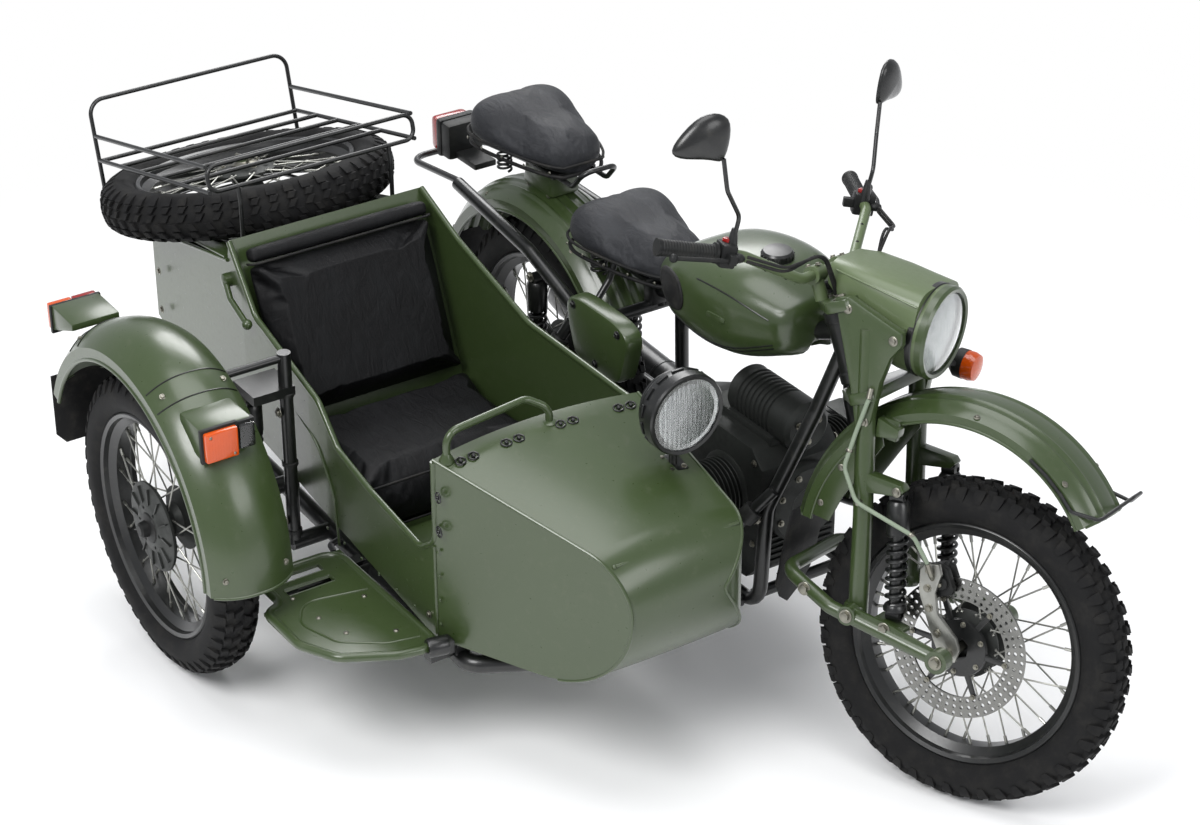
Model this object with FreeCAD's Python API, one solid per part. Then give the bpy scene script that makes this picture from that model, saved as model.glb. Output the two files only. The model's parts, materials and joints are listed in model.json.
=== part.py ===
import FreeCAD, Part
import math
import os

# Sidecar motorcycle, millimetres. X points forward, Y to the left, Z up. The sidecar is on the right (-Y).
# Everything is laid out from the ground point under the rear axle, and moved at the end so that the origin
# is the middle of the whole vehicle's footprint on the floor. The front end is turned as it is parked.

# ---- wheels
TYRE_RADIUS = 342.0
TYRE_HALF_WIDTH = 54.0
RIM_SEAT_RADIUS = 247.0
RIM_INNER_RADIUS = 224.0
RIM_HALF_WIDTH = 38.0
RIM_WELL_HALF_WIDTH = 22.0
HUB_RADIUS = 42.0
HUB_HALF_WIDTH = 44.0
HUB_FLANGE_RADIUS = 74.0
HUB_FLANGE_OFFSET = 30.0
HUB_FLANGE_THICKNESS = 6.0
SPOKES_PER_SIDE = 18
SPOKE_RADIUS = 2.0
SPOKE_LEAN_DEG = 24.0
AXLE_RADIUS = 10.0
RUNNING_CLEARANCE = 0.05
REST_GAP = 0.3

# ---- overall layout
WHEELBASE = 1500.0
SIDECAR_TRACK = 1109.0
SIDECAR_LEAD = 179.0
RAKE_DEG = 28.0
TRAIL = 60.0
STEER_REST_DEG = 26.0

# ---- front brake
DISC_RADIUS = 147.5
DISC_INNER_RADIUS = 104.0
DISC_THICKNESS = 5.0
DISC_OFFSET = 64.0
DISC_CARRIER_RADIUS = 62.0

# ---- front end, straight ahead
HEAD_BOTTOM = 892.0
HEAD_TOP = 1046.0
HEAD_TUBE_RADIUS = 30.0
STEM_RADIUS = 14.0
YOKE_THICKNESS = 24.0
YOKE_GAP = 5.5
FORK_HALF_TRACK = 116.0
FORK_LEG_RADIUS = 20.0
FORK_TOP = (WHEELBASE - 304.0, 948.0)
FORK_FOOT = (WHEELBASE - 210.0, 366.0)
LINK_RADIUS = 15.0
LINK_BACK_X = WHEELBASE - 382.0
LINK_BACK_Z = 396.0
LINK_ARM_Y = FORK_HALF_TRACK + 39.0
FRONT_SHOCK_RADIUS = 24.0
FRONT_SHOCK_TOP = (WHEELBASE - 170.0, 628.0)
FRONT_SHOCK_FOOT = (WHEELBASE - 128.0, 392.0)
FENDER_THICKNESS = 3.0
FRONT_FENDER_CENTRE = (WHEELBASE - 56.0, 492.0)
FRONT_FENDER_RADIUS = 358.0
FRONT_FENDER_HALF_WIDTH = 84.0
FRONT_FENDER_DROP = 46.0
FRONT_FENDER_ANGLES = (36.0, 178.0)
HEADLIGHT_CENTRE = (WHEELBASE - 304.0, 946.0)
HEADLIGHT_DEPTH = 108.0
HEADLIGHT_RADIUS = 96.0
LENS_THICKNESS = 16.0
BAR_RADIUS = 11.0
BAR_CLAMP_HEIGHT = 1130.0
BAR_HALF_WIDTH = 400.0
GRIP_RADIUS = 17.0
HOSE_RADIUS = 4.5
YOKE_HALF_WIDTH = FORK_HALF_TRACK + FORK_LEG_RADIUS + 2.0
GRIP_LENGTH = 125.0
MIRROR_HEAD = (WHEELBASE - 595.0, 392.0, 1310.0)
MIRROR_HEAD_RADIUS = 52.0
MIRROR_HEAD_DEPTH = 26.0
MIRROR_STEM_RADIUS = 5.0
STEM_FOOT_DROP = 30.0
STEM_TOP_RISE = 36.0
YOKE_BACK = 24.0
YOKE_SHOULDER = 58.0
YOKE_FRONT = 100.0
LINK_PIVOT_RADIUS = 9.0
LINK_BOSS_RADIUS = 22.0
CLAMP_SPREAD = 52.0
CLAMP_RADIUS = 20.0
CLAMP_POST_RADIUS = 15.0
SWITCH_RADIUS = 25.0
SWITCH_LENGTH = 34.0
LEVER_RADIUS = 6.0
LEVER_BALL_RADIUS = 9.0
LEVER_LENGTH = 150.0
INSTRUMENT_RADIUS = 38.0
INSTRUMENT_HEIGHT = 52.0
INSTRUMENT_FORWARD = 58.0
KNOB_RADIUS = 16.0
KNOB_HEIGHT = 26.0
SIGNAL_FOOT = (WHEELBASE - 268.0, 836.0)
SIGNAL_RADIUS = 32.0
SIGNAL_STALK_RADIUS = 7.0
CALIPER_ANGLE_DEG = 118.0
DISC_SLOT_GAP = 5.0
DISC_ARMS = 6
DISC_ARM_WIDTH = 14.0

# ---- motorcycle frame and engine
FRAME_TUBE_RADIUS = 16.0
CRADLE_HALF_WIDTH = 132.0
CRADLE_Z = 215.0
REAR_LOOP_X = -250.0
REAR_LOOP_Z = 714.0
REAR_LOOP_Y = 100.0
FRAME_KNEE = (332.0, 600.0)
SPINE_RADIUS = 20.0
SPINE_BEND = (900.0, 800.0)
SPINE_END = (430.0, 700.0)
SEAT_TUBE = (430.0, 660.0)
SEAT_TUBE_RADIUS = 14.0
CROSS_TUBE_RADIUS = 13.0
ENGINE_X = (690.0, 965.0)
ENGINE_HALF_WIDTH = 105.0
ENGINE_Z = (CRADLE_Z + CROSS_TUBE_RADIUS + REST_GAP, 560.0)
CYLINDER_AXIS = (842.0, 425.0)
BARREL_RADIUS = 66.0
BARREL_END = 212.0
HEAD_END = 292.0
GEARBOX_X = (470.0, 690.0)
SWING_PIVOT = (392.0, 342.0)
SWING_ARM_Y = 88.0
SWING_PIVOT_RADIUS = 10.0
SWING_ARM_RADIUS = 17.0
FINAL_DRIVE_RADIUS = 78.0
FRONT_COVER_RADIUS = 92.0
FRONT_COVER_Z = 420.0
GENERATOR_X = (770.0, 985.0)
GENERATOR_Z = 602.0
GENERATOR_RADIUS = 58.0
HEAD_HALF_SIZE = (78.0, 70.0)
CRADLE_BACK_X = 340.0
CRADLE_CROSS_XS = (420.0, 960.0)
SHOCK_RADIUS = 24.0
REAR_SHOCK_X = 132.0
REAR_SHOCK_TOP = 655.0
HEADER_RADIUS = 19.0
EXHAUST_Y = 212.0
EXHAUST_Z = 268.0
MUFFLER_RADIUS = 42.0

# ---- tank, seats and rear fender
TANK_X = (560.0, 1010.0)
TANK_HALF_WIDTH = 148.0
TANK_Z = (738.0, 956.0)
DRIVER_SEAT = (378.0, 753.0)
PASSENGER_SEAT = (-42.0, 853.0)
SEAT_LENGTH = 340.0
SEAT_WIDTH = 270.0
SEAT_HEIGHT = 118.0
REAR_FENDER_CENTRE_Z = 362.0
REAR_FENDER_RADIUS = 412.0
REAR_FENDER_HALF_WIDTH = 86.0
REAR_FENDER_DROP = 60.0
REAR_FENDER_ANGLES = (34.0, 160.0)
TAIL_LIGHT_X = (-478.0, -388.0)
TAIL_LIGHT_HALF_WIDTH = 48.0
TAIL_LIGHT_Z = (702.0, 792.0)
SIDE_BOX_X = (331.0, 600.0)
SIDE_BOX_DEPTH = 46.0
SIDE_BOX_Z = (560.0, 712.0)
GRAB_LOOP_RADIUS = 6.0
TAIL_LOOP_RADIUS = 8.0
TAIL_LOOP_X = -490.0

# ---- sidecar
TUB_OUTER_Y = -820.0
TUB_INNER_Y = -320.0
TUB_WALL = 6.0
TUB_TAIL_X = -545.0
TUB_NOSE_X = 1245.0
COWL_X = 820.0
COWL_Z = 712.0
FLOOR_Z = 286.0
TAIL_FLOOR_Z = 440.0
SEATBACK_TOP = (-52.0, 840.0)
BULKHEAD_THICKNESS = 12.0
MOUTH_CUT = 8.0
LID_HINGE = (-530.0, 683.0)
LID_TILT_DEG = 14.0
LID_LENGTH = 478.0
LID_THICKNESS = 10.0
LID_GAP = 1.0
SIDECAR_RAIL_RADIUS = 20.0
SIDECAR_RAIL_Z = 240.0
SIDECAR_RAIL_YS = (-780.0, -362.0)
SIDECAR_FENDER_CENTRE = (185.0, 385.0)
SIDECAR_FENDER_RADIUS = 418.0
SIDECAR_FENDER_HALF_WIDTH = 96.0
SIDECAR_FENDER_DROP = 66.0
SIDECAR_FENDER_ANGLES = (0.0, 158.0)
SIDECAR_ARM_Y = -SIDECAR_TRACK + 124.0
SIDECAR_ARM_PIVOT_X = 480.0
SIDECAR_ARM_PIVOT_RADIUS = 14.0
SIDECAR_SHOCK = (250.0, -SIDECAR_TRACK + 177.0)
SIDECAR_SHOCK_TOP = 640.0
OUTRIGGER_X = 300.0
OUTRIGGER_Y = -SIDECAR_TRACK + 237.0
OUTRIGGER_RADIUS = 15.0
FENDER_STAY_Z = 728.0
REAR_RISE = 60.0
RAIL_BACK_X = -330.0
RAIL_FRONT_X = 1000.0
PAD_HALF_WIDTH = 16.0
BRACE_RADIUS = 13.0
FOOTBOARD_Z = 296.0
FOOTBOARD_THICKNESS = 8.0
FOOTBOARD_INNER_Y = TUB_OUTER_Y - 12.0
FOOTBOARD_ARM_XS = (450.0, 830.0)
SPOT_LAMP = (1020.0, -372.0, 792.0)
SPOT_LAMP_RADIUS = 86.0
SPOT_LAMP_DEPTH = 46.0
SPOT_BOWL_RADIUS = 44.0
SPOT_BOWL_DEPTH = 50.0
SPARE_STUD_FOOT_RADIUS = 30.0
SPARE_NUT_RADIUS = 20.0
RACK_RAIL_RISE = 58.0
RACK_FLOOR_RODS = 5
RACK_ROD_RADIUS = 5.0
RACK_BACK_X = -110.0
SKID_OFFSET = 190.0
SPARE_X = 148.0
SPARE_Y = -582.0
GRAB_BAR_RADIUS = 8.0
NOSE_ARC_RADIUS = 130.0
FOOT_ARC_RADIUS = 200.0
NOSE_FLAT = 3.0
NOSE_CORNER_RADIUS = 80.0
NOSE_TAPER = 194.0
SMOOTH_ARC_STEPS = 14
FLOOR_RISE = 90.0
FLOOR_LEVEL_X = 800.0
FLOOR_KNEE_X = 200.0
RACK_HALF_WIDTH = 258.0
RACK_FLOOR_W = 146.0
RACK_HOOP_W = 286.0
TUB_MIDDLE_Y = (TUB_OUTER_Y + TUB_INNER_Y) / 2.0
SEATBACK_LEAN = 206.0
NOSE_ARC_X = TUB_NOSE_X - NOSE_ARC_RADIUS
NOSE_ARC_Z = FLOOR_Z + FOOT_ARC_RADIUS + NOSE_FLAT
# the deck runs from the cowl and meets the nose arc at a tangent
NOSE_ARC_START_DEG = 90.0 - math.degrees(
    math.atan2(COWL_Z - NOSE_ARC_Z, NOSE_ARC_X - COWL_X)
    - math.asin(NOSE_ARC_RADIUS / math.hypot(NOSE_ARC_X - COWL_X, COWL_Z - NOSE_ARC_Z)))
DECK_END = (NOSE_ARC_X + NOSE_ARC_RADIUS * math.cos(math.radians(NOSE_ARC_START_DEG)),
            NOSE_ARC_Z + NOSE_ARC_RADIUS * math.sin(math.radians(NOSE_ARC_START_DEG)))
DECK_SLOPE = (COWL_Z - DECK_END[1]) / (DECK_END[0] - COWL_X)
SPARE_LIFT = 2.0 * RACK_ROD_RADIUS + 2.0 * REST_GAP + TYRE_HALF_WIDTH


def vec(x, y, z):
    """A point or direction."""
    return FreeCAD.Vector(x, y, z)


STEER_BASE = vec(WHEELBASE + TRAIL, 0.0, 0.0)
STEER_AXIS = vec(-math.sin(math.radians(RAKE_DEG)), 0.0, math.cos(math.radians(RAKE_DEG)))
STEER_SQUARE = vec(STEER_AXIS.z, 0.0, -STEER_AXIS.x)


def front_axle_height():
    """Height of the front axle straight ahead that puts the turned wheel's lowest point on the floor."""
    turn = FreeCAD.Rotation(STEER_AXIS, STEER_REST_DEG)
    spin_axis = turn.multVec(vec(0, 1, 0))
    ring = TYRE_RADIUS - TYRE_HALF_WIDTH
    drop = ring * math.sqrt(1.0 - spin_axis.z**2) + TYRE_HALF_WIDTH
    level = turn.multVec(vec(WHEELBASE, 0, 0) - STEER_BASE).z
    rise = turn.multVec(vec(0, 0, 1)).z
    return (drop - level) / rise


FRONT_AXLE = vec(WHEELBASE, 0.0, front_axle_height())
REAR_AXLE = vec(0.0, 0.0, TYRE_RADIUS)
SIDECAR_AXLE = vec(SIDECAR_LEAD, -SIDECAR_TRACK, TYRE_RADIUS)


def rod(start, end, radius):
    """Straight round bar between two points."""
    start, end = vec(*start), vec(*end)
    return Part.makeCylinder(radius, (end - start).Length, start, end - start)


def bent_rod(points, radius, bend):
    """Round bar along straight runs joined by tangent arcs of one radius."""
    corners = [vec(*point) for point in points]
    edges = []
    start = corners[0]
    for before, corner, after in zip(corners, corners[1:], corners[2:]):
        inward = (before - corner).normalize()
        outward = (after - corner).normalize()
        half_turn = (math.pi - inward.getAngle(outward)) / 2.0
        reach = bend * math.tan(half_turn)
        arc_start = corner + inward * reach
        arc_end = corner + outward * reach
        middle = corner + (inward + outward).normalize() * (bend / math.cos(half_turn) - bend)
        edges.append(Part.LineSegment(start, arc_start).toShape())
        edges.append(Part.Arc(arc_start, middle, arc_end).toShape())
        start = arc_end
    edges.append(Part.LineSegment(start, corners[-1]).toShape())
    section = Part.Wire(Part.Circle(corners[0], corners[1] - corners[0], radius).toShape())
    return Part.Wire(edges).makePipeShell([section], True, False)


def block(x_range, y_range, z_range):
    """Box between two limits on each axis."""
    size = [high - low for low, high in (x_range, y_range, z_range)]
    return Part.makeBox(*size, vec(x_range[0], y_range[0], z_range[0]))


def side_slab(outline, y_low, y_high):
    """Outline of (x, z) points given thickness along Y."""
    wire = Part.makePolygon([vec(x, y_low, z) for x, z in outline + outline[:1]])
    return Part.Face(wire).extrude(vec(0, y_high - y_low, 0))


def plan_slab(outline, z_low, z_high):
    """Outline of (x, y) points given thickness along Z."""
    wire = Part.makePolygon([vec(x, y, z_low) for x, y in outline + outline[:1]])
    return Part.Face(wire).extrude(vec(0, 0, z_high - z_low))


def ring_about_y(centre, section):
    """Closed (radius, y) section turned about the Y axis through a centre."""
    points = [vec(centre.x + radius, centre.y + y, centre.z) for radius, y in section + section[:1]]
    return Part.Face(Part.makePolygon(points)).revolve(centre, vec(0, 1, 0), 360)


def disc_about_y(centre, radius, y_low, y_high):
    """Round plate or drum on the Y axis through a centre."""
    return Part.makeCylinder(radius, y_high - y_low, vec(centre.x, centre.y + y_low, centre.z), vec(0, 1, 0))


def fused(shapes):
    """Overlapping shapes joined to one clean solid."""
    return shapes[0].multiFuse(shapes[1:]).removeSplitter()


def mirrored(shape):
    """The same piece on the other side of the motorcycle."""
    return shape.mirror(vec(0, 0, 0), vec(0, 1, 0))


def pair(shape):
    """A left piece and its right twin as separate solids."""
    return Part.makeCompound([shape, mirrored(shape)])


def steered(shape):
    """Turn a piece of the front end from straight ahead to where it is parked."""
    turned = shape.copy()
    turned.rotate(STEER_BASE, STEER_AXIS, STEER_REST_DEG)
    return turned


def on_lid(shape):
    """Move a piece from the lid's own frame, x forward of the hinge and z above the lid, to its place."""
    placed = shape.copy()
    placed.rotate(vec(0, 0, 0), vec(0, 1, 0), -LID_TILT_DEG)
    placed.translate(vec(LID_HINGE[0], 0.0, LID_HINGE[1]))
    return placed


# ---- wheels

def tyre(centre):
    """Round-section tyre, flat at the bead where it sits on the rim."""
    ring = Part.makeTorus(TYRE_RADIUS - TYRE_HALF_WIDTH, TYRE_HALF_WIDTH, centre, vec(0, 1, 0))
    return ring.cut(disc_about_y(centre, RIM_SEAT_RADIUS + REST_GAP, -TYRE_HALF_WIDTH, TYRE_HALF_WIDTH))


def rim(centre):
    """Drop-centre rim."""
    return ring_about_y(centre, [
        (RIM_INNER_RADIUS, -RIM_WELL_HALF_WIDTH),
        (RIM_SEAT_RADIUS, -RIM_HALF_WIDTH),
        (RIM_SEAT_RADIUS, RIM_HALF_WIDTH),
        (RIM_INNER_RADIUS, RIM_WELL_HALF_WIDTH),
    ])


def spoke(centre, side, index):
    """One spoke from a hub flange out to the rim's well, all leaning one way on each side."""
    start_angle = math.radians(360.0 * index / SPOKES_PER_SIDE)
    end_angle = start_angle + side * math.radians(SPOKE_LEAN_DEG)
    ends = []
    for radius, angle, y in (
        (HUB_FLANGE_RADIUS, start_angle, side * HUB_FLANGE_OFFSET),
        (RIM_INNER_RADIUS, end_angle, side * RIM_WELL_HALF_WIDTH / 2.0),
    ):
        ends.append(centre + vec(radius * math.cos(angle), y, radius * math.sin(angle)))
    direction = (ends[1] - ends[0]).normalize()
    hub_radial = (ends[0] - vec(centre.x, ends[0].y, centre.z)).normalize()
    rim_radial = (ends[1] - vec(centre.x, ends[1].y, centre.z)).normalize()
    for number, radial in enumerate((hub_radial, rim_radial)):
        tilt = direction.getAngle(radial)
        back_off = SPOKE_RADIUS * math.tan(tilt) + REST_GAP
        ends[number] = ends[number] + direction * (back_off if number == 0 else -back_off)
    return Part.makeCylinder(SPOKE_RADIUS, (ends[1] - ends[0]).Length, ends[0], direction)


def hub(centre):
    """Barrel with two spoke flanges, bored for its axle."""
    parts = [disc_about_y(centre, HUB_RADIUS, -HUB_HALF_WIDTH, HUB_HALF_WIDTH)]
    for side in (-1, 1):
        middle = side * HUB_FLANGE_OFFSET
        half = HUB_FLANGE_THICKNESS / 2.0
        parts.append(disc_about_y(centre, HUB_FLANGE_RADIUS, middle - half, middle + half))
    bore = disc_about_y(centre, AXLE_RADIUS + RUNNING_CLEARANCE, -HUB_HALF_WIDTH, HUB_HALF_WIDTH)
    return fused(parts).cut(bore)


def spoked_hub(centre):
    """Hub and all the spokes of one wheel, each its own solid."""
    wires = [spoke(centre, side, index) for side in (-1, 1) for index in range(SPOKES_PER_SIDE)]
    return Part.makeCompound([hub(centre)] + wires)


def brake_disc(centre):
    """Disc and its spider, on the hub's right end."""
    low = -DISC_OFFSET - DISC_THICKNESS / 2.0
    high = low + DISC_THICKNESS
    outer = disc_about_y(centre, DISC_RADIUS, low, high)
    rotor = outer.cut(disc_about_y(centre, DISC_INNER_RADIUS, low, high))
    carrier = disc_about_y(centre, DISC_CARRIER_RADIUS, low, -HUB_HALF_WIDTH)
    arms = []
    for index in range(DISC_ARMS):
        half = DISC_ARM_WIDTH / 2.0
        arm = block((0.0, DISC_INNER_RADIUS + 6.0), (low, high), (-half, half))
        arm.rotate(vec(0, 0, 0), vec(0, 1, 0), 360.0 * index / DISC_ARMS)
        arm.translate(vec(centre.x, centre.y, centre.z))
        arms.append(arm)
    bore = disc_about_y(centre, AXLE_RADIUS + RUNNING_CLEARANCE, low, -HUB_HALF_WIDTH)
    return fused([rotor, carrier] + arms).cut(bore)


# ---- front end, modelled straight ahead

def on_stem(distance, forward=0.0, side=0.0):
    """Point at a distance up the steering axis, and forward of it square to the axis."""
    point = STEER_BASE + STEER_AXIS * distance + STEER_SQUARE * forward
    return (point.x, side, point.z)


def fork():
    """Stem, both yokes and both fork legs."""
    parts = [rod(on_stem(HEAD_BOTTOM - STEM_FOOT_DROP), on_stem(HEAD_TOP + STEM_TOP_RISE), STEM_RADIUS)]
    for low in (HEAD_BOTTOM - YOKE_GAP - YOKE_THICKNESS, HEAD_TOP + YOKE_GAP):
        plate = plan_slab([
            (-YOKE_BACK, -YOKE_BACK), (YOKE_SHOULDER, -YOKE_HALF_WIDTH), (YOKE_FRONT, -YOKE_HALF_WIDTH),
            (YOKE_FRONT, YOKE_HALF_WIDTH), (YOKE_SHOULDER, YOKE_HALF_WIDTH), (-YOKE_BACK, YOKE_BACK),
        ], 0.0, YOKE_THICKNESS)
        plate.rotate(vec(0, 0, 0), vec(0, 1, 0), -RAKE_DEG)
        plate.translate(vec(*on_stem(low)))
        parts.append(plate)
    for side in (-1, 1):
        y = side * FORK_HALF_TRACK
        parts.append(rod((FORK_TOP[0], y, FORK_TOP[1]), (FORK_FOOT[0], y, FORK_FOOT[1]), FORK_LEG_RADIUS))
        ear = side_slab([
            (FRONT_SHOCK_TOP[0] - 96.0, FRONT_SHOCK_TOP[1] - 18.0),
            (FRONT_SHOCK_TOP[0] + 18.0, FRONT_SHOCK_TOP[1] + 4.0),
            (FRONT_SHOCK_TOP[0] + 10.0, FRONT_SHOCK_TOP[1] + 26.0),
            (FRONT_SHOCK_TOP[0] - 96.0, FRONT_SHOCK_TOP[1] + 30.0),
        ], y - 14.0, y + 14.0)
        parts.append(ear)
        lamp_ear = sorted((side * (HEADLIGHT_RADIUS + REST_GAP), side * (FORK_HALF_TRACK - 12.0)))
        parts.append(block((FORK_TOP[0], HEADLIGHT_CENTRE[0] + 72.0), lamp_ear,
                           (HEADLIGHT_CENTRE[1] - 18.0, HEADLIGHT_CENTRE[1] + 18.0)))
    body = fused(parts)
    for side in (-1, 1):
        y = side * FORK_HALF_TRACK
        body = body.cut(front_shock(side))
        body = body.cut(link_pivot(y, REST_GAP))
    return body


def link_pivot(y, gap):
    """Space of the link's pivot boss across the foot of a fork leg."""
    reach = 2.0 * FORK_LEG_RADIUS
    return rod((FORK_FOOT[0], y - reach, FORK_FOOT[1]), (FORK_FOOT[0], y + reach, FORK_FOOT[1]),
               LINK_PIVOT_RADIUS + gap)


def front_shock(side):
    """One coil-over unit between its ear on the fork and the link arm."""
    y = side * FORK_HALF_TRACK
    top = (FRONT_SHOCK_TOP[0], y, FRONT_SHOCK_TOP[1])
    foot = (FRONT_SHOCK_FOOT[0], y, FRONT_SHOCK_FOOT[1])
    return rod(foot, top, FRONT_SHOCK_RADIUS)


def front_shocks():
    """Both front suspension units."""
    return Part.makeCompound([front_shock(side) for side in (-1, 1)])


def link_arm():
    """Leading link: closed behind the wheel, pivoted at the fork's feet and carrying the axle."""
    axle = FRONT_AXLE
    half_back = FORK_HALF_TRACK + 4.0
    points = [
        (axle.x, -LINK_ARM_Y, axle.z),
        (FORK_FOOT[0] - 44.0, -LINK_ARM_Y, FORK_FOOT[1]),
        (LINK_BACK_X, -half_back, LINK_BACK_Z),
        (LINK_BACK_X, half_back, LINK_BACK_Z),
        (FORK_FOOT[0] - 44.0, LINK_ARM_Y, FORK_FOOT[1]),
        (axle.x, LINK_ARM_Y, axle.z),
    ]
    parts = [bent_rod(points, LINK_RADIUS, 40.0)]
    parts.append(rod((axle.x, -LINK_ARM_Y - 22.0, axle.z), (axle.x, LINK_ARM_Y + 22.0, axle.z), AXLE_RADIUS))
    for side in (-1, 1):
        y = side * LINK_ARM_Y
        parts.append(rod((axle.x, y - 14.0, axle.z), (axle.x, y + 14.0, axle.z), LINK_BOSS_RADIUS))
        inner = side * (FORK_HALF_TRACK - 26.0)
        parts.append(rod((FORK_FOOT[0], inner, FORK_FOOT[1]), (FORK_FOOT[0], y, FORK_FOOT[1]),
                         LINK_PIVOT_RADIUS))
        shelf_y = sorted((side * (FORK_HALF_TRACK - 14.0), y))
        parts.append(block(
            (FRONT_SHOCK_FOOT[0] - 20.0, FRONT_SHOCK_FOOT[0] + 20.0), shelf_y,
            (FORK_FOOT[1] - 14.0, FRONT_SHOCK_FOOT[1] - 12.0)))
    body = fused(parts)
    for side in (-1, 1):
        body = body.cut(front_shock(side))
    return body


def mudguard(centre, radius, half_width, drop, angles):
    """Curved guard of even sheet: crowned on top with its edges turned down."""
    def section(grow):
        edge = half_width - FENDER_THICKNESS + grow
        crown = radius - FENDER_THICKNESS + grow
        low = radius - drop
        brow = low + drop * 0.4
        wire = Part.Wire([
            Part.LineSegment(vec(low, -edge, 0), vec(brow, -edge, 0)).toShape(),
            Part.Arc(vec(brow, -edge, 0), vec(crown, 0, 0), vec(brow, edge, 0)).toShape(),
            Part.LineSegment(vec(brow, edge, 0), vec(low, edge, 0)).toShape(),
            Part.LineSegment(vec(low, edge, 0), vec(low, -edge, 0)).toShape(),
        ])
        return Part.Face(wire)
    sweep = angles[1] - angles[0]
    outer = section(FENDER_THICKNESS).revolve(vec(0, 0, 0), vec(0, -1, 0), sweep)
    inner = section(0.0).revolve(vec(0, 0, 0), vec(0, -1, 0), sweep)
    guard = outer.cut(inner)
    guard.rotate(vec(0, 0, 0), vec(0, -1, 0), angles[0])
    guard.translate(vec(centre[0], centre[1], centre[2]))
    return guard


def front_fender():
    """Long front guard with two stays, held by the fork, and a wire guard at its tip."""
    centre = (FRONT_FENDER_CENTRE[0], 0.0, FRONT_FENDER_CENTRE[1])
    guard = mudguard(centre, FRONT_FENDER_RADIUS, FRONT_FENDER_HALF_WIDTH, FRONT_FENDER_DROP,
                     FRONT_FENDER_ANGLES)
    along = (FORK_TOP[1] - 780.0) / (FORK_TOP[1] - FORK_FOOT[1])
    leg_x = FORK_TOP[0] + along * (FORK_FOOT[0] - FORK_TOP[0])
    brackets = []
    for side in (-1, 1):
        ys = sorted((side * (FRONT_FENDER_HALF_WIDTH - 1.0),
                     side * (FORK_HALF_TRACK - FORK_LEG_RADIUS - REST_GAP)))
        brackets.append(block((leg_x - 4.0, leg_x + 34.0), ys, (734.0, 766.0)))
    tip = math.radians(FRONT_FENDER_ANGLES[0] + 3.0)
    tip_x = centre[0] + (FRONT_FENDER_RADIUS + 6.0) * math.cos(tip)
    tip_z = centre[2] + (FRONT_FENDER_RADIUS + 6.0) * math.sin(tip)
    y = FRONT_FENDER_HALF_WIDTH - 18.0
    wire = bent_rod([
        (tip_x - 24.0, -y, tip_z - 8.0), (tip_x + 34.0, -y, tip_z + 42.0),
        (tip_x + 34.0, y, tip_z + 42.0), (tip_x - 24.0, y, tip_z - 8.0),
    ], 4.0, 18.0)
    return fused([guard] + brackets + [wire])


def front_mud_flap():
    """Rubber flap that carries on the guard's line behind the front wheel."""
    edge = FRONT_FENDER_CENTRE[0] - FRONT_FENDER_RADIUS
    fender_end = FRONT_FENDER_RADIUS * math.sin(math.radians(FRONT_FENDER_ANGLES[1]))
    top = FRONT_FENDER_CENTRE[1] + fender_end - REST_GAP
    outline = [(edge - 1.0, top), (edge + 3.0, top), (edge - 10.0, 268.0), (edge - 14.0, 268.0)]
    return side_slab(outline, -FRONT_FENDER_HALF_WIDTH + 6.0, FRONT_FENDER_HALF_WIDTH - 6.0)


def headlight_shell():
    """Bowl and drum of the headlight, between the ears of the fork legs."""
    x, z = HEADLIGHT_CENTRE
    back = x - 20.0
    bowl_depth = HEADLIGHT_DEPTH * 0.45
    bowl = Part.makeCone(HEADLIGHT_RADIUS * 0.62, HEADLIGHT_RADIUS, bowl_depth, vec(back, 0, z),
                         vec(1, 0, 0))
    drum = Part.makeCylinder(HEADLIGHT_RADIUS, x + HEADLIGHT_DEPTH - back - bowl_depth,
                             vec(back + bowl_depth, 0, z), vec(1, 0, 0))
    return fused([bowl, drum])


def headlight_lens():
    """Domed glass in the front of the shell."""
    x = HEADLIGHT_CENTRE[0] + HEADLIGHT_DEPTH
    radius = HEADLIGHT_RADIUS - 9.0
    ball_radius = (radius**2 + LENS_THICKNESS**2) / (2.0 * LENS_THICKNESS)
    ball = Part.makeSphere(ball_radius, vec(x + LENS_THICKNESS - ball_radius, 0, HEADLIGHT_CENTRE[1]))
    keep = Part.makeCylinder(radius, LENS_THICKNESS, vec(x, 0, HEADLIGHT_CENTRE[1]), vec(1, 0, 0))
    return ball.common(keep)


def bar_points(side):
    """Centre line of one half of the handlebar, from the bend beside its clamp to the end of the grip."""
    x, _, z = on_stem(BAR_CLAMP_HEIGHT)
    return [
        (x, side * 110.0, z),
        (x - 62.0, side * 262.0, z + 62.0),
        (x - 178.0, side * BAR_HALF_WIDTH, z + 72.0),
    ]


def handlebar():
    """One bent tube with its two clamps on the upper yoke."""
    points = list(reversed(bar_points(-1))) + bar_points(1)
    parts = [bent_rod(points, BAR_RADIUS, 40.0)]
    yoke_top = HEAD_TOP + YOKE_GAP + YOKE_THICKNESS + REST_GAP
    for side in (-1, 1):
        y = side * CLAMP_SPREAD
        parts.append(rod(on_stem(yoke_top, 0.0, y), on_stem(BAR_CLAMP_HEIGHT, 0.0, y), CLAMP_POST_RADIUS))
        parts.append(rod(on_stem(BAR_CLAMP_HEIGHT, 0.0, y - 18.0), on_stem(BAR_CLAMP_HEIGHT, 0.0, y + 18.0),
                         CLAMP_RADIUS))
    return fused(parts)


def grip_line(side):
    """Inner and outer end of one grip."""
    bend, end = (vec(*point) for point in bar_points(side)[1:])
    direction = (end - bend).normalize()
    return end - direction * GRIP_LENGTH, end


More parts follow.
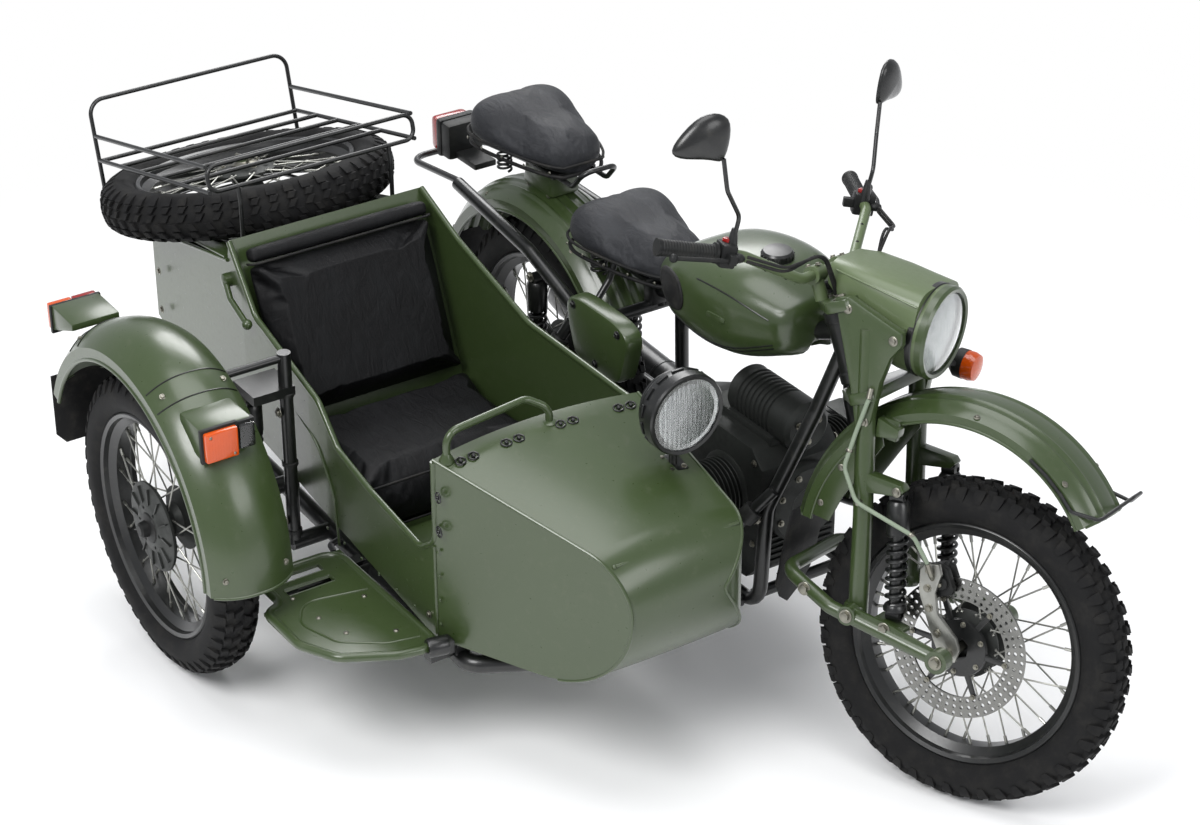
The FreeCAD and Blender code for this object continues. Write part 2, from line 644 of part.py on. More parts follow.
def hand_controls():
    """Each side's grip, switch housing and lever, round the bar."""
    units = []
    for side in (-1, 1):
        inner, outer = grip_line(side)
        direction = (outer - inner).normalize()
        grip = Part.makeCylinder(GRIP_RADIUS, GRIP_LENGTH + 2.0, inner, direction)
        start = inner - direction * SWITCH_LENGTH
        housing = Part.makeCylinder(SWITCH_RADIUS, SWITCH_LENGTH, start, direction)
        middle = inner - direction * 18.0
        lever_root = middle + vec(34.0, 0, -6.0)
        lever_tip = lever_root + direction * LEVER_LENGTH + vec(14.0, 0, -4.0)
        lever = bent_rod([tuple(middle + vec(12.0, 0, -4.0)), tuple(lever_root), tuple(lever_tip)],
                         LEVER_RADIUS, 8.0)
        ball = Part.makeSphere(LEVER_BALL_RADIUS, lever_tip)
        body = fused([grip, housing, lever, ball])
        bore = Part.makeCylinder(BAR_RADIUS + REST_GAP, GRIP_LENGTH + SWITCH_LENGTH + 2.0,
                                 start - direction, direction)
        units.append(body.cut(bore))
    return Part.makeCompound(units)


def mirrors():
    """Round mirror heads on bent stems, one from each side of the bar."""
    units = []
    for side in (-1, 1):
        inner, outer = grip_line(side)
        foot = inner - (outer - inner).normalize() * (SWITCH_LENGTH + 14.0)
        head = vec(MIRROR_HEAD[0], side * MIRROR_HEAD[1], MIRROR_HEAD[2])
        stem = bent_rod([
            tuple(foot + vec(0, 0, BAR_RADIUS + REST_GAP)), (foot.x + 6.0, foot.y, foot.z + 80.0),
            (head.x + 14.0, head.y - side * 30.0, head.z - 50.0), tuple(head),
        ], MIRROR_STEM_RADIUS, 20.0)
        half = MIRROR_HEAD_DEPTH / 2.0
        glass = head - vec(MIRROR_STEM_RADIUS, 0, 0)
        shell = Part.makeCylinder(MIRROR_HEAD_RADIUS, half, glass, vec(1, 0, 0))
        back = Part.makeCone(MIRROR_HEAD_RADIUS, MIRROR_HEAD_RADIUS * 0.55, half, glass + vec(half, 0, 0),
                             vec(1, 0, 0))
        units.append(fused([stem, shell, back]))
    return Part.makeCompound(units)


def instrument():
    """Instrument drum and steering damper knob over the upper yoke."""
    base = vec(*on_stem(HEAD_TOP + YOKE_GAP + YOKE_THICKNESS + REST_GAP, INSTRUMENT_FORWARD))
    drum = Part.makeCylinder(INSTRUMENT_RADIUS, INSTRUMENT_HEIGHT, base, STEER_AXIS)
    stem_end = vec(*on_stem(HEAD_TOP + STEM_TOP_RISE + REST_GAP))
    knob = Part.makeCylinder(KNOB_RADIUS, KNOB_HEIGHT, stem_end, STEER_AXIS)
    return Part.makeCompound([drum, knob])


def turn_signal():
    """Left front turn signal on its stalk from the fork leg."""
    y = FORK_HALF_TRACK + FORK_LEG_RADIUS
    x, z = SIGNAL_FOOT
    stalk = rod((x - 8.0, y + REST_GAP, z), (x + 38.0, y + 70.0, z - 16.0), SIGNAL_STALK_RADIUS)
    lamp = rod((x + 14.0, y + 84.0, z - 18.0), (x + 72.0, y + 84.0, z - 18.0), SIGNAL_RADIUS)
    unit = fused([stalk, lamp])
    return unit.cut(rod((FORK_TOP[0], FORK_HALF_TRACK, FORK_TOP[1]),
                        (FORK_FOOT[0], FORK_HALF_TRACK, FORK_FOOT[1]), FORK_LEG_RADIUS + REST_GAP))


def brake_caliper():
    """Caliper astride the disc on the right, with its torque arm along to the axle."""
    y_mid = -DISC_OFFSET
    reach = DISC_RADIUS - 12.0
    angle = math.radians(CALIPER_ANGLE_DEG)
    x = FRONT_AXLE.x + reach * math.cos(angle)
    z = FRONT_AXLE.z + reach * math.sin(angle)
    body = block((-34.0, 34.0), (y_mid - 24.0, y_mid + 20.0), (-22.0, 44.0))
    body.rotate(vec(0, 0, 0), vec(0, 1, 0), -28.0)
    body.translate(vec(x, 0, z))
    arm_y = y_mid - 38.0
    plate = side_slab([
        (x - 30.0, z + 40.0), (x + 14.0, z + 48.0), (FRONT_AXLE.x + 18.0, FRONT_AXLE.z + 22.0),
        (FRONT_AXLE.x + 16.0, FRONT_AXLE.z - 18.0), (FRONT_AXLE.x - 18.0, FRONT_AXLE.z - 12.0),
    ], arm_y - 8.0, arm_y + 16.0)
    half_slot = DISC_THICKNESS / 2.0 + DISC_SLOT_GAP
    slot = disc_about_y(FRONT_AXLE, DISC_RADIUS + 6.0, y_mid - half_slot, y_mid + half_slot)
    bore = disc_about_y(FRONT_AXLE, AXLE_RADIUS + REST_GAP, arm_y - 30.0, arm_y + 40.0)
    return fused([body, plate]).cut(slot).cut(bore).cut(link_arm())


def brake_hose():
    """Hose from under the headlight down the right fork leg to the caliper, in arcs."""
    x = FORK_TOP[0]
    y = -YOKE_HALF_WIDTH - HOSE_RADIUS - REST_GAP
    points = [
        (x + 42.0, y, 816.0), (x + 28.0, y, 740.0), (x + 20.0, y - 8.0, 664.0), (x + 62.0, y - 14.0, 604.0),
        (x + 134.0, y - 14.0, 590.0), (x + 196.0, y - 6.0, 574.0), (x + 228.0, y + 14.0, 520.0),
    ]
    return bent_rod(points, HOSE_RADIUS, 30.0)


# ---- motorcycle frame, engine and rear end

def spine_tube(radius):
    """Backbone tube from the head tube down to the seat."""
    bend_x, bend_z = SPINE_BEND
    end_x, end_z = SPINE_END
    return bent_rod([on_stem(HEAD_TOP - 44.0), (bend_x, 0.0, bend_z), (end_x, 0.0, end_z)], radius, 160.0)


def knee_tube(gap):
    """Cross tube of the frame ahead of the rear wheel."""
    x, z = FRAME_KNEE
    return rod((x, -CRADLE_HALF_WIDTH, z), (x, CRADLE_HALF_WIDTH, z), CROSS_TUBE_RADIUS + gap)


def main_frame():
    """Head tube, backbone, double cradle, seat rails and rear loop."""
    head_low = on_stem(HEAD_BOTTOM)
    head_high = on_stem(HEAD_TOP)
    parts = [rod(head_low, head_high, HEAD_TUBE_RADIUS)]
    parts.append(spine_tube(SPINE_RADIUS))
    for side in (-1, 1):
        y = side * CRADLE_HALF_WIDTH
        down = on_stem(HEAD_BOTTOM + 62.0, -12.0)
        parts.append(bent_rod([
            (down[0], side * 14.0, down[2]), (1066.0, side * 44.0, 700.0), (1022.0, y, 470.0),
            (1004.0, y, CRADLE_Z), (CRADLE_BACK_X, y, CRADLE_Z), (330.0, y, 610.0), (100.0, y, 690.0),
            (REAR_LOOP_X, side * (REAR_LOOP_Y + 8.0), REAR_LOOP_Z),
        ], FRAME_TUBE_RADIUS, 60.0))
    seat_x, seat_z = SEAT_TUBE
    parts.append(rod((seat_x, -CRADLE_HALF_WIDTH, seat_z), (seat_x, CRADLE_HALF_WIDTH, seat_z),
                     SEAT_TUBE_RADIUS))
    parts.append(rod((seat_x, 0.0, SPINE_END[1]), (seat_x, 0.0, seat_z), SEAT_TUBE_RADIUS))
    parts.append(knee_tube(0.0))
    for x in CRADLE_CROSS_XS:
        parts.append(rod((x, -CRADLE_HALF_WIDTH, CRADLE_Z), (x, CRADLE_HALF_WIDTH, CRADLE_Z),
                         CROSS_TUBE_RADIUS))
    for side in (-1, 1):
        parts.append(rod((seat_x, side * CRADLE_HALF_WIDTH, seat_z),
                         (FRAME_KNEE[0], side * CRADLE_HALF_WIDTH, FRAME_KNEE[1]), CROSS_TUBE_RADIUS))
    parts.append(rod((REAR_LOOP_X, -REAR_LOOP_Y - 8.0, REAR_LOOP_Z),
                     (REAR_LOOP_X, REAR_LOOP_Y + 8.0, REAR_LOOP_Z), CROSS_TUBE_RADIUS))
    parts.append(rod((SWING_PIVOT[0], -CRADLE_HALF_WIDTH, SWING_PIVOT[1]),
                     (SWING_PIVOT[0], CRADLE_HALF_WIDTH, SWING_PIVOT[1]), SWING_PIVOT_RADIUS))
    for side in (-1, 1):
        ys = sorted((side * (CRADLE_HALF_WIDTH - 6.0), side * (CRADLE_HALF_WIDTH + 6.0)))
        parts.append(block((SWING_PIVOT[0] - 66.0, SWING_PIVOT[0] + 24.0), ys,
                           (SWING_PIVOT[1] - 24.0, SWING_PIVOT[1] + 24.0)))
    stem_room = rod(on_stem(HEAD_BOTTOM - 2.0), on_stem(HEAD_TOP + 2.0), STEM_RADIUS + RUNNING_CLEARANCE)
    return fused(parts).cut(stem_room)


def engine_crankcase():
    """Crankcase with its front cover, sump and the generator on top."""
    y = ENGINE_HALF_WIDTH
    case = block(ENGINE_X, (-y, y), ENGINE_Z)
    cover = rod((ENGINE_X[1] - 4.0, 0.0, FRONT_COVER_Z), (ENGINE_X[1] + 26.0, 0.0, FRONT_COVER_Z),
                FRONT_COVER_RADIUS)
    generator = rod((GENERATOR_X[0], 0.0, GENERATOR_Z), (GENERATOR_X[1], 0.0, GENERATOR_Z), GENERATOR_RADIUS)
    return fused([case, cover, generator]).cut(main_frame())


def engine_cylinder():
    """Left barrel and head, pointing straight out to the side."""
    x, z = CYLINDER_AXIS
    barrel = rod((x, ENGINE_HALF_WIDTH, z), (x, BARREL_END, z), BARREL_RADIUS)
    half_x, half_z = HEAD_HALF_SIZE
    head = block((x - half_x, x + half_x), (BARREL_END - 2.0, HEAD_END), (z - half_z, z + half_z))
    return fused([barrel, head])


def gearbox():
    """Gearbox behind the crankcase."""
    y = ENGINE_HALF_WIDTH - 12.0
    outline = [(GEARBOX_X[0], 290.0), (GEARBOX_X[1], 250.0), (GEARBOX_X[1], 530.0), (GEARBOX_X[0], 455.0)]
    return side_slab(outline, -y, y)


def exhaust():
    """Left header from the head, down and back to the muffler."""
    x, z = CYLINDER_AXIS
    port_x, port_y = x + 40.0, HEAD_END - 46.0
    pipe = bent_rod([(port_x, port_y, z - HEAD_HALF_SIZE[1]), (port_x, port_y, EXHAUST_Z + 20.0),
                     (x - 120.0, EXHAUST_Y, EXHAUST_Z), (300.0, EXHAUST_Y, EXHAUST_Z)], HEADER_RADIUS, 52.0)
    muffler = rod((300.0, EXHAUST_Y, EXHAUST_Z), (-330.0, EXHAUST_Y, EXHAUST_Z + 34.0), MUFFLER_RADIUS)
    hanger = block((-8.0, 18.0), (EXHAUST_Y - 56.0, EXHAUST_Y - 20.0),
                   (EXHAUST_Z + 4.0, EXHAUST_Z + 34.0))
    return fused([pipe, muffler, hanger])


def rear_swing_arm():
    """Two arms and their cross tube, the final drive on the right and the rear axle."""
    axle = REAR_AXLE
    px, pz = SWING_PIVOT
    parts = [rod((axle.x, -SWING_ARM_Y - 26.0, axle.z), (axle.x, SWING_ARM_Y + 26.0, axle.z), AXLE_RADIUS)]
    for side in (-1, 1):
        y = side * (SWING_ARM_Y + 8.0)
        parts.append(rod((px, y, pz), (axle.x, y, axle.z), SWING_ARM_RADIUS))
        parts.append(rod((px, y - 14.0, pz), (px, y + 14.0, pz), 26.0))
        parts.append(rod((axle.x, y - 16.0, axle.z), (axle.x, y + 16.0, axle.z), 30.0))
        shelf = sorted((side * (SWING_ARM_Y + 6.0), side * (SWING_ARM_Y + 62.0)))
        parts.append(block((REAR_SHOCK_X - 20.0, REAR_SHOCK_X + 20.0), shelf,
                           (axle.z - 12.0, axle.z + 12.0)))
    parts.append(rod((px, -SWING_ARM_Y - 8.0, pz), (px, SWING_ARM_Y + 8.0, pz), 20.0))
    drive_y = -SWING_ARM_Y - 8.0
    parts.append(rod((axle.x, drive_y - 30.0, axle.z), (axle.x, drive_y + 26.0, axle.z),
                     FINAL_DRIVE_RADIUS))
    room = rod((px, -CRADLE_HALF_WIDTH, pz), (px, CRADLE_HALF_WIDTH, pz), SWING_PIVOT_RADIUS + REST_GAP)
    return fused(parts).cut(room)


def shock_absorbers():
    """Both rear coil-over units and the sidecar's, each between its lower and upper seat."""
    x, y = REAR_SHOCK_X, SWING_ARM_Y + 44.0
    rear = rod((x, y, TYRE_RADIUS + 12.0 + REST_GAP), (x, y, REAR_SHOCK_TOP), SHOCK_RADIUS)
    room = rod((100.0, CRADLE_HALF_WIDTH, 690.0), (CRADLE_BACK_X, CRADLE_HALF_WIDTH, 606.5),
               FRAME_TUBE_RADIUS + REST_GAP)
    rear = rear.cut(room).Solids[0]
    x, y = SIDECAR_SHOCK
    sidecar = rod((x, y, TYRE_RADIUS + 20.0 + REST_GAP), (x, y, SIDECAR_SHOCK_TOP), SHOCK_RADIUS)
    return Part.makeCompound([rear, mirrored(rear), sidecar])


# ---- tank, seats and rear bodywork

def fuel_tank():
    """Tapered tank over the backbone, with its filler cap."""
    sections = []
    for x, half, low, high in (
        (TANK_X[0], TANK_HALF_WIDTH * 0.62, TANK_Z[0] + 34.0, TANK_Z[1] - 92.0),
        (TANK_X[0] + 120.0, TANK_HALF_WIDTH * 0.96, TANK_Z[0], TANK_Z[1] - 24.0),
        (TANK_X[0] + 300.0, TANK_HALF_WIDTH, TANK_Z[0] + 4.0, TANK_Z[1]),
        (TANK_X[1], TANK_HALF_WIDTH * 0.62, TANK_Z[0] + 62.0, TANK_Z[1] - 34.0),
    ):
        round_off = min(half, (high - low) / 2.0) * 0.62
        sections.append(rounded_section(x, half, low, high, round_off))
    body = Part.makeLoft(sections, True, True)
    cap = rod((TANK_X[0] + 300.0, 0.0, TANK_Z[1] - 6.0), (TANK_X[0] + 300.0, 0.0, TANK_Z[1] + 16.0), 34.0)
    channel = SPINE_RADIUS + REST_GAP
    tunnel = fused([spine_tube(channel),
                    block((TANK_X[0] - 20.0, SPINE_BEND[0]), (-channel, channel), (690.0, TANK_Z[0] + 4.0))])
    return fused([body, cap]).cut(tunnel)


def rounded_section(x, half, low, high, corner):
    """Upright rounded rectangle at a station along the vehicle."""
    top, bottom, inner = high - corner, low + corner, half - corner
    diagonal = corner * math.sqrt(0.5)
    points = {
        "a": (inner, high), "b": (half, top), "c": (half, bottom), "d": (inner, low),
        "e": (-inner, low), "f": (-half, bottom), "g": (-half, top), "h": (-inner, high),
    }
    spot = {name: vec(x, y, z) for name, (y, z) in points.items()}
    edges = []
    for line, arc, centre, sign in (
        (("h", "a"), ("a", "b"), (inner, top), (1, 1)),
        (("b", "c"), ("c", "d"), (inner, bottom), (1, -1)),
        (("d", "e"), ("e", "f"), (-inner, bottom), (-1, -1)),
        (("f", "g"), ("g", "h"), (-inner, top), (-1, 1)),
    ):
        edges.append(Part.LineSegment(spot[line[0]], spot[line[1]]).toShape())
        middle = vec(x, centre[0] + sign[0] * diagonal, centre[1] + sign[1] * diagonal)
        edges.append(Part.Arc(spot[arc[0]], middle, spot[arc[1]]).toShape())
    return Part.Wire(edges)


def saddle(middle):
    """Soft saddle over the middle of its underside: wide at the back, with rounded edges."""
    x, low = middle
    sections = []
    for along, half_share, height_share in (
        (-0.5, 0.66, 0.62), (-0.3, 1.0, 1.0), (0.1, 0.86, 0.94), (0.5, 0.4, 0.7),
    ):
        half = SEAT_WIDTH / 2.0 * half_share
        height = SEAT_HEIGHT * height_share
        corner = min(half, height / 2.0) * 0.7
        sections.append(rounded_section(x + along * SEAT_LENGTH, half, low, low + height, corner))
    return Part.makeLoft(sections, True, True)


def seat_carriers():
    """Pedestal under each saddle, the grab loop between them and the loop behind the tail."""
    driver_low = DRIVER_SEAT[1] - REST_GAP
    passenger_low = PASSENGER_SEAT[1] - REST_GAP
    post_x = (SEAT_TUBE[0] - 18.0, SEAT_TUBE[0] + 18.0)
    post_foot = SEAT_TUBE[1] + SEAT_TUBE_RADIUS + REST_GAP
    driver = fused([
        block((300.0, 470.0), (-62.0, 62.0), (driver_low - 12.0, driver_low)),
        block(post_x, (-62.0, -30.0), (post_foot, driver_low - 10.0)),
        block(post_x, (30.0, 62.0), (post_foot, driver_low - 10.0)),
    ])
    fender_top = REAR_FENDER_CENTRE_Z + REAR_FENDER_RADIUS
    passenger = fused([
        block((-150.0, 90.0), (-58.0, 58.0), (passenger_low - 12.0, passenger_low)),
        block((-70.0, 50.0), (-40.0, 40.0), (fender_top + REST_GAP, passenger_low - 10.0)),
        bent_rod([(84.0, -46.0, passenger_low - 6.0), (152.0, -46.0, passenger_low - 6.0),
                  (196.0, -46.0, passenger_low + 44.0), (196.0, 46.0, passenger_low + 44.0),
                  (152.0, 46.0, passenger_low - 6.0), (84.0, 46.0, passenger_low - 6.0)],
                 GRAB_LOOP_RADIUS, 22.0),
    ])
    start_x = REAR_LOOP_X - CROSS_TUBE_RADIUS - REST_GAP
    tail_z = REAR_LOOP_Z - 30.0
    loop = bent_rod([
        (start_x, -REAR_LOOP_Y, REAR_LOOP_Z), (TAIL_LOOP_X, -REAR_LOOP_Y, tail_z),
        (TAIL_LOOP_X, REAR_LOOP_Y, tail_z), (start_x, REAR_LOOP_Y, REAR_LOOP_Z),
    ], TAIL_LOOP_RADIUS, 60.0)
    return Part.makeCompound([driver, passenger, loop])


def rear_fender():
    """Rear guard, from behind the gearbox to the tail light."""
    guard = mudguard((0.0, 0.0, REAR_FENDER_CENTRE_Z), REAR_FENDER_RADIUS, REAR_FENDER_HALF_WIDTH,
                     REAR_FENDER_DROP, REAR_FENDER_ANGLES)
    return guard.cut(knee_tube(REST_GAP))


def mud_flaps():
    """Rubber flaps behind the rear wheel and behind the sidecar wheel."""
    flaps = []
    for centre_x, centre_z, radius, angle, y_mid, half, reach in (
        (0.0, REAR_FENDER_CENTRE_Z, REAR_FENDER_RADIUS, REAR_FENDER_ANGLES[1], 0.0,
         REAR_FENDER_HALF_WIDTH - 10.0, 120.0),
        (*SIDECAR_FENDER_CENTRE, SIDECAR_FENDER_RADIUS, SIDECAR_FENDER_ANGLES[1], -SIDECAR_TRACK,
         SIDECAR_FENDER_HALF_WIDTH - 10.0, 160.0),
    ):
        turn = math.radians(angle)
        reach_in = radius - 16.0
        top = (centre_x + reach_in * math.cos(turn), centre_z + reach_in * math.sin(turn) - 1.5)
        outline = [(top[0] - 2.5, top[1]), (top[0] + 2.5, top[1]),
                   (top[0] - 24.0, top[1] - reach), (top[0] - 29.0, top[1] - reach)]
        flaps.append(side_slab(outline, y_mid - half, y_mid + half))
    return Part.makeCompound(flaps)


def tail_light():
    """Red tail light box on its bracket behind the passenger saddle."""
    low = TAIL_LIGHT_Z[0]
    box = block(TAIL_LIGHT_X, (-TAIL_LIGHT_HALF_WIDTH, TAIL_LIGHT_HALF_WIDTH), TAIL_LIGHT_Z)
    bracket = block((TAIL_LIGHT_X[1] - 4.0, -300.0), (-14.0, 14.0), (low + 4.0, low + 20.0))
    post = block((-330.0, -300.0), (-14.0, 14.0), (low - 62.0, low + 6.0))
    centre = vec(0, 0, REAR_FENDER_CENTRE_Z)
    fender = mudguard(centre, REAR_FENDER_RADIUS + REST_GAP, REAR_FENDER_HALF_WIDTH, REAR_FENDER_DROP,
                      REAR_FENDER_ANGLES)
    inner = disc_about_y(centre, REAR_FENDER_RADIUS, -60.0, 60.0)
    return fused([box, bracket, post]).cut(fender).cut(inner)


def side_box():
    """Left tool box beside the frame, under the driver's saddle."""
    low = CRADLE_HALF_WIDTH + FRAME_TUBE_RADIUS + REST_GAP
    return block(SIDE_BOX_X, (low, low + SIDE_BOX_DEPTH), SIDE_BOX_Z)


def foot_peg():
    """Left rider's foot peg, seated on the cradle tube."""
    low = CRADLE_HALF_WIDTH + FRAME_TUBE_RADIUS + REST_GAP
    peg = rod((560.0, low - 4.0, CRADLE_Z + 4.0), (560.0, low + 92.0, CRADLE_Z + 4.0), 12.0)
    rail = rod((CRADLE_BACK_X, CRADLE_HALF_WIDTH, CRADLE_Z), (900.0, CRADLE_HALF_WIDTH, CRADLE_Z),
               FRAME_TUBE_RADIUS + REST_GAP)
    return peg.cut(rail).Solids[0]


# ---- sidecar

def lid_underside(x):
    """Height of the lid's underside at a place along the sidecar."""
    slope = math.tan(math.radians(LID_TILT_DEG))
    level = LID_HINGE[1] + (x - LID_HINGE[0]) * slope
    return level - LID_THICKNESS / math.cos(math.radians(LID_TILT_DEG)) - LID_GAP


def tub_side(inset):
    """Side outline of the sidecar body, drawn in by an inset all round."""
    tail = TUB_TAIL_X + inset
    floor, tail_floor = FLOOR_Z + inset, TAIL_FLOOR_Z + inset
    mouth = MOUTH_CUT if inset else 0.0
    tail_lip, seat_lip = LID_HINGE[0] + 8.0, SEATBACK_TOP[0] - BULKHEAD_THICKNESS
    top = [
        (tail_lip + inset, lid_underside(tail_lip) + mouth),
        (seat_lip, lid_underside(seat_lip) + mouth),
        (SEATBACK_TOP[0], SEATBACK_TOP[1] + mouth),
        (COWL_X, COWL_Z - inset),
    ]
    nose_arc = arc_points((NOSE_ARC_X, NOSE_ARC_Z), NOSE_ARC_RADIUS - inset,
                          NOSE_ARC_START_DEG, 0.0, SMOOTH_ARC_STEPS)
    foot_arc = arc_points((TUB_NOSE_X - FOOT_ARC_RADIUS, FLOOR_Z + FOOT_ARC_RADIUS), FOOT_ARC_RADIUS - inset,
                          0.0, -90.0, SMOOTH_ARC_STEPS)
    tail_arc = arc_points((tail + 90.0, tail_floor + 100.0), 90.0, -100.0, -180.0)
    underside = [(FLOOR_LEVEL_X, floor), (FLOOR_KNEE_X, floor + FLOOR_RISE)]
    return top + nose_arc + foot_arc + underside + tail_arc


def arc_points(centre, radius, start_deg, end_deg, steps=5):
    """A few points round an arc."""
    angles = [math.radians(start_deg + (end_deg - start_deg) * i / steps) for i in range(steps + 1)]
    return [(centre[0] + radius * math.cos(a), centre[1] + radius * math.sin(a)) for a in angles]


def deck_height(x):
    """Height of the nose deck's top at a place along it."""
    return COWL_Z - (x - COWL_X) * DECK_SLOPE


def floor_height(x):
    """Height of the cockpit floor's top at a place ahead of its knee."""
    return FLOOR_Z + TUB_WALL + FLOOR_RISE * (FLOOR_LEVEL_X - x) / (FLOOR_LEVEL_X - FLOOR_KNEE_X)


def tub_plan(inset):
    """Plan outline of the sidecar body: straight by the motorcycle, tapered to the nose outside."""
    outer, inner = TUB_OUTER_Y + inset, TUB_INNER_Y - inset
    tail, nose = TUB_TAIL_X + inset, TUB_NOSE_X - inset
    corner = arc_points((TUB_NOSE_X - NOSE_CORNER_RADIUS, TUB_INNER_Y - NOSE_CORNER_RADIUS),
                        NOSE_CORNER_RADIUS - inset, 0.0, 90.0, SMOOTH_ARC_STEPS)
    flank = [(tail, outer + 70.0), (tail + 50.0, outer + 30.0), (0.0, outer + 6.0), (300.0, outer),
             (COWL_X, outer), (nose, outer + NOSE_TAPER)]
    return flank + corner + [(0.0, inner), (tail + 50.0, inner - 24.0), (tail, inner - 64.0)]


def tub_solid(inset):
    """The sidecar body as a full block, drawn in by an inset."""
    side = side_slab(tub_side(inset), TUB_OUTER_Y - 5.0, TUB_INNER_Y + 5.0)
    return side.common(plan_slab(tub_plan(inset), 0.0, 1000.0))


def bulkhead():
    """Sloping panel behind the seat, between cockpit and trunk."""
    top_x, top_z = SEATBACK_TOP
    foot_x, foot_z = top_x + SEATBACK_LEAN, TAIL_FLOOR_Z - 90.0
    back_x, back_foot_x = top_x - BULKHEAD_THICKNESS, foot_x - BULKHEAD_THICKNESS
    outline = [(back_x, top_z), (top_x, top_z), (foot_x, foot_z), (back_foot_x, foot_z)]
    return side_slab(outline, TUB_OUTER_Y, TUB_INNER_Y)


def cockpit_room():
    """What is cut away over the cockpit: down to a low door outside, less far beside the motorcycle."""
    x, top, high = SEATBACK_TOP[0] + 1.0, SEATBACK_TOP[1] - 1.0, 1000.0
    door = [
        (x, top), (60.0, 700.0), (340.0, 622.0), (420.0, 540.0), (560.0, 506.0), (760.0, 476.0),
        (COWL_X + 1.0, 520.0), (COWL_X + 1.0, high), (x, high),
    ]
    inner_rim = [
        (x, top), (110.0, 770.0), (400.0, 690.0), (COWL_X + 1.0, COWL_Z - 26.0), (COWL_X + 1.0, high),
        (x, high),
    ]
    outer_half = side_slab(door, TUB_OUTER_Y - 10.0, TUB_MIDDLE_Y)
    inner_half = side_slab(inner_rim, TUB_MIDDLE_Y - 1.0, TUB_INNER_Y + 10.0)
    return outer_half, inner_half


def tub_whole():
    """Hollow body with its cockpit cut, before the nose is parted from it."""
    outer = tub_solid(0.0)
    for room in cockpit_room():
        outer = outer.cut(room)
    shell = outer.cut(tub_solid(TUB_WALL))
    return fused([shell, bulkhead().common(outer)])


def tub_shell():
    """Cockpit walls, floor, seat bulkhead and trunk."""
    keep = block((TUB_TAIL_X - 10.0, COWL_X), (TUB_OUTER_Y - 10.0, TUB_INNER_Y + 10.0), (0.0, 1000.0))
    return tub_whole().common(keep)


def tub_nose():
    """Deck, rounded front, sides and floor ahead of the cockpit."""
    keep = block((COWL_X, TUB_NOSE_X + 10.0), (TUB_OUTER_Y - 10.0, TUB_INNER_Y + 10.0), (0.0, 1000.0))
    return tub_solid(0.0).cut(tub_solid(TUB_WALL)).common(keep)


def seat_back():
    """Padded back in front of the bulkhead."""
    top_x, top_z = SEATBACK_TOP
    slope = SEATBACK_LEAN / (top_z - TAIL_FLOOR_Z + 90.0)
    high, low = top_z - 14.0, 482.0
    thick = 56.0
    def at(z):
        return top_x + (top_z - z) * slope + 1.0
    outline = [
        (at(high), high), (at(high) + thick, high - 12.0), (at(low) + thick + 20.0, low), (at(low), low),
    ]
    return side_slab(outline, TUB_OUTER_Y + 40.0, TUB_INNER_Y - 36.0)


def seat_cushion():
    """Padded cushion on the sloping floor."""
    back, front = 140.0, 490.0
    knee = floor_height(FLOOR_KNEE_X)
    outline = [
        (back, 480.0), (front, 470.0), (front, floor_height(front) + REST_GAP),
        (FLOOR_KNEE_X, knee + REST_GAP), (back, knee + 12.0),
    ]
    return side_slab(outline, TUB_OUTER_Y + 36.0, TUB_INNER_Y - 30.0)


def cowl_grab_bar():
    """Tubular rail at the front of the cockpit."""
    y_out = TUB_OUTER_Y + 26.0
    foot = COWL_X + 14.0
    rest = deck_height(foot) + GRAB_BAR_RADIUS * DECK_SLOPE + REST_GAP
    return bent_rod([
        (foot, y_out, rest), (foot, y_out, COWL_Z + 62.0), (foot - 24.0, TUB_MIDDLE_Y - 20.0, COWL_Z + 66.0),
        (foot, TUB_MIDDLE_Y + 20.0, COWL_Z + 44.0), (foot, TUB_MIDDLE_Y + 20.0, rest),
    ], GRAB_BAR_RADIUS, 24.0)


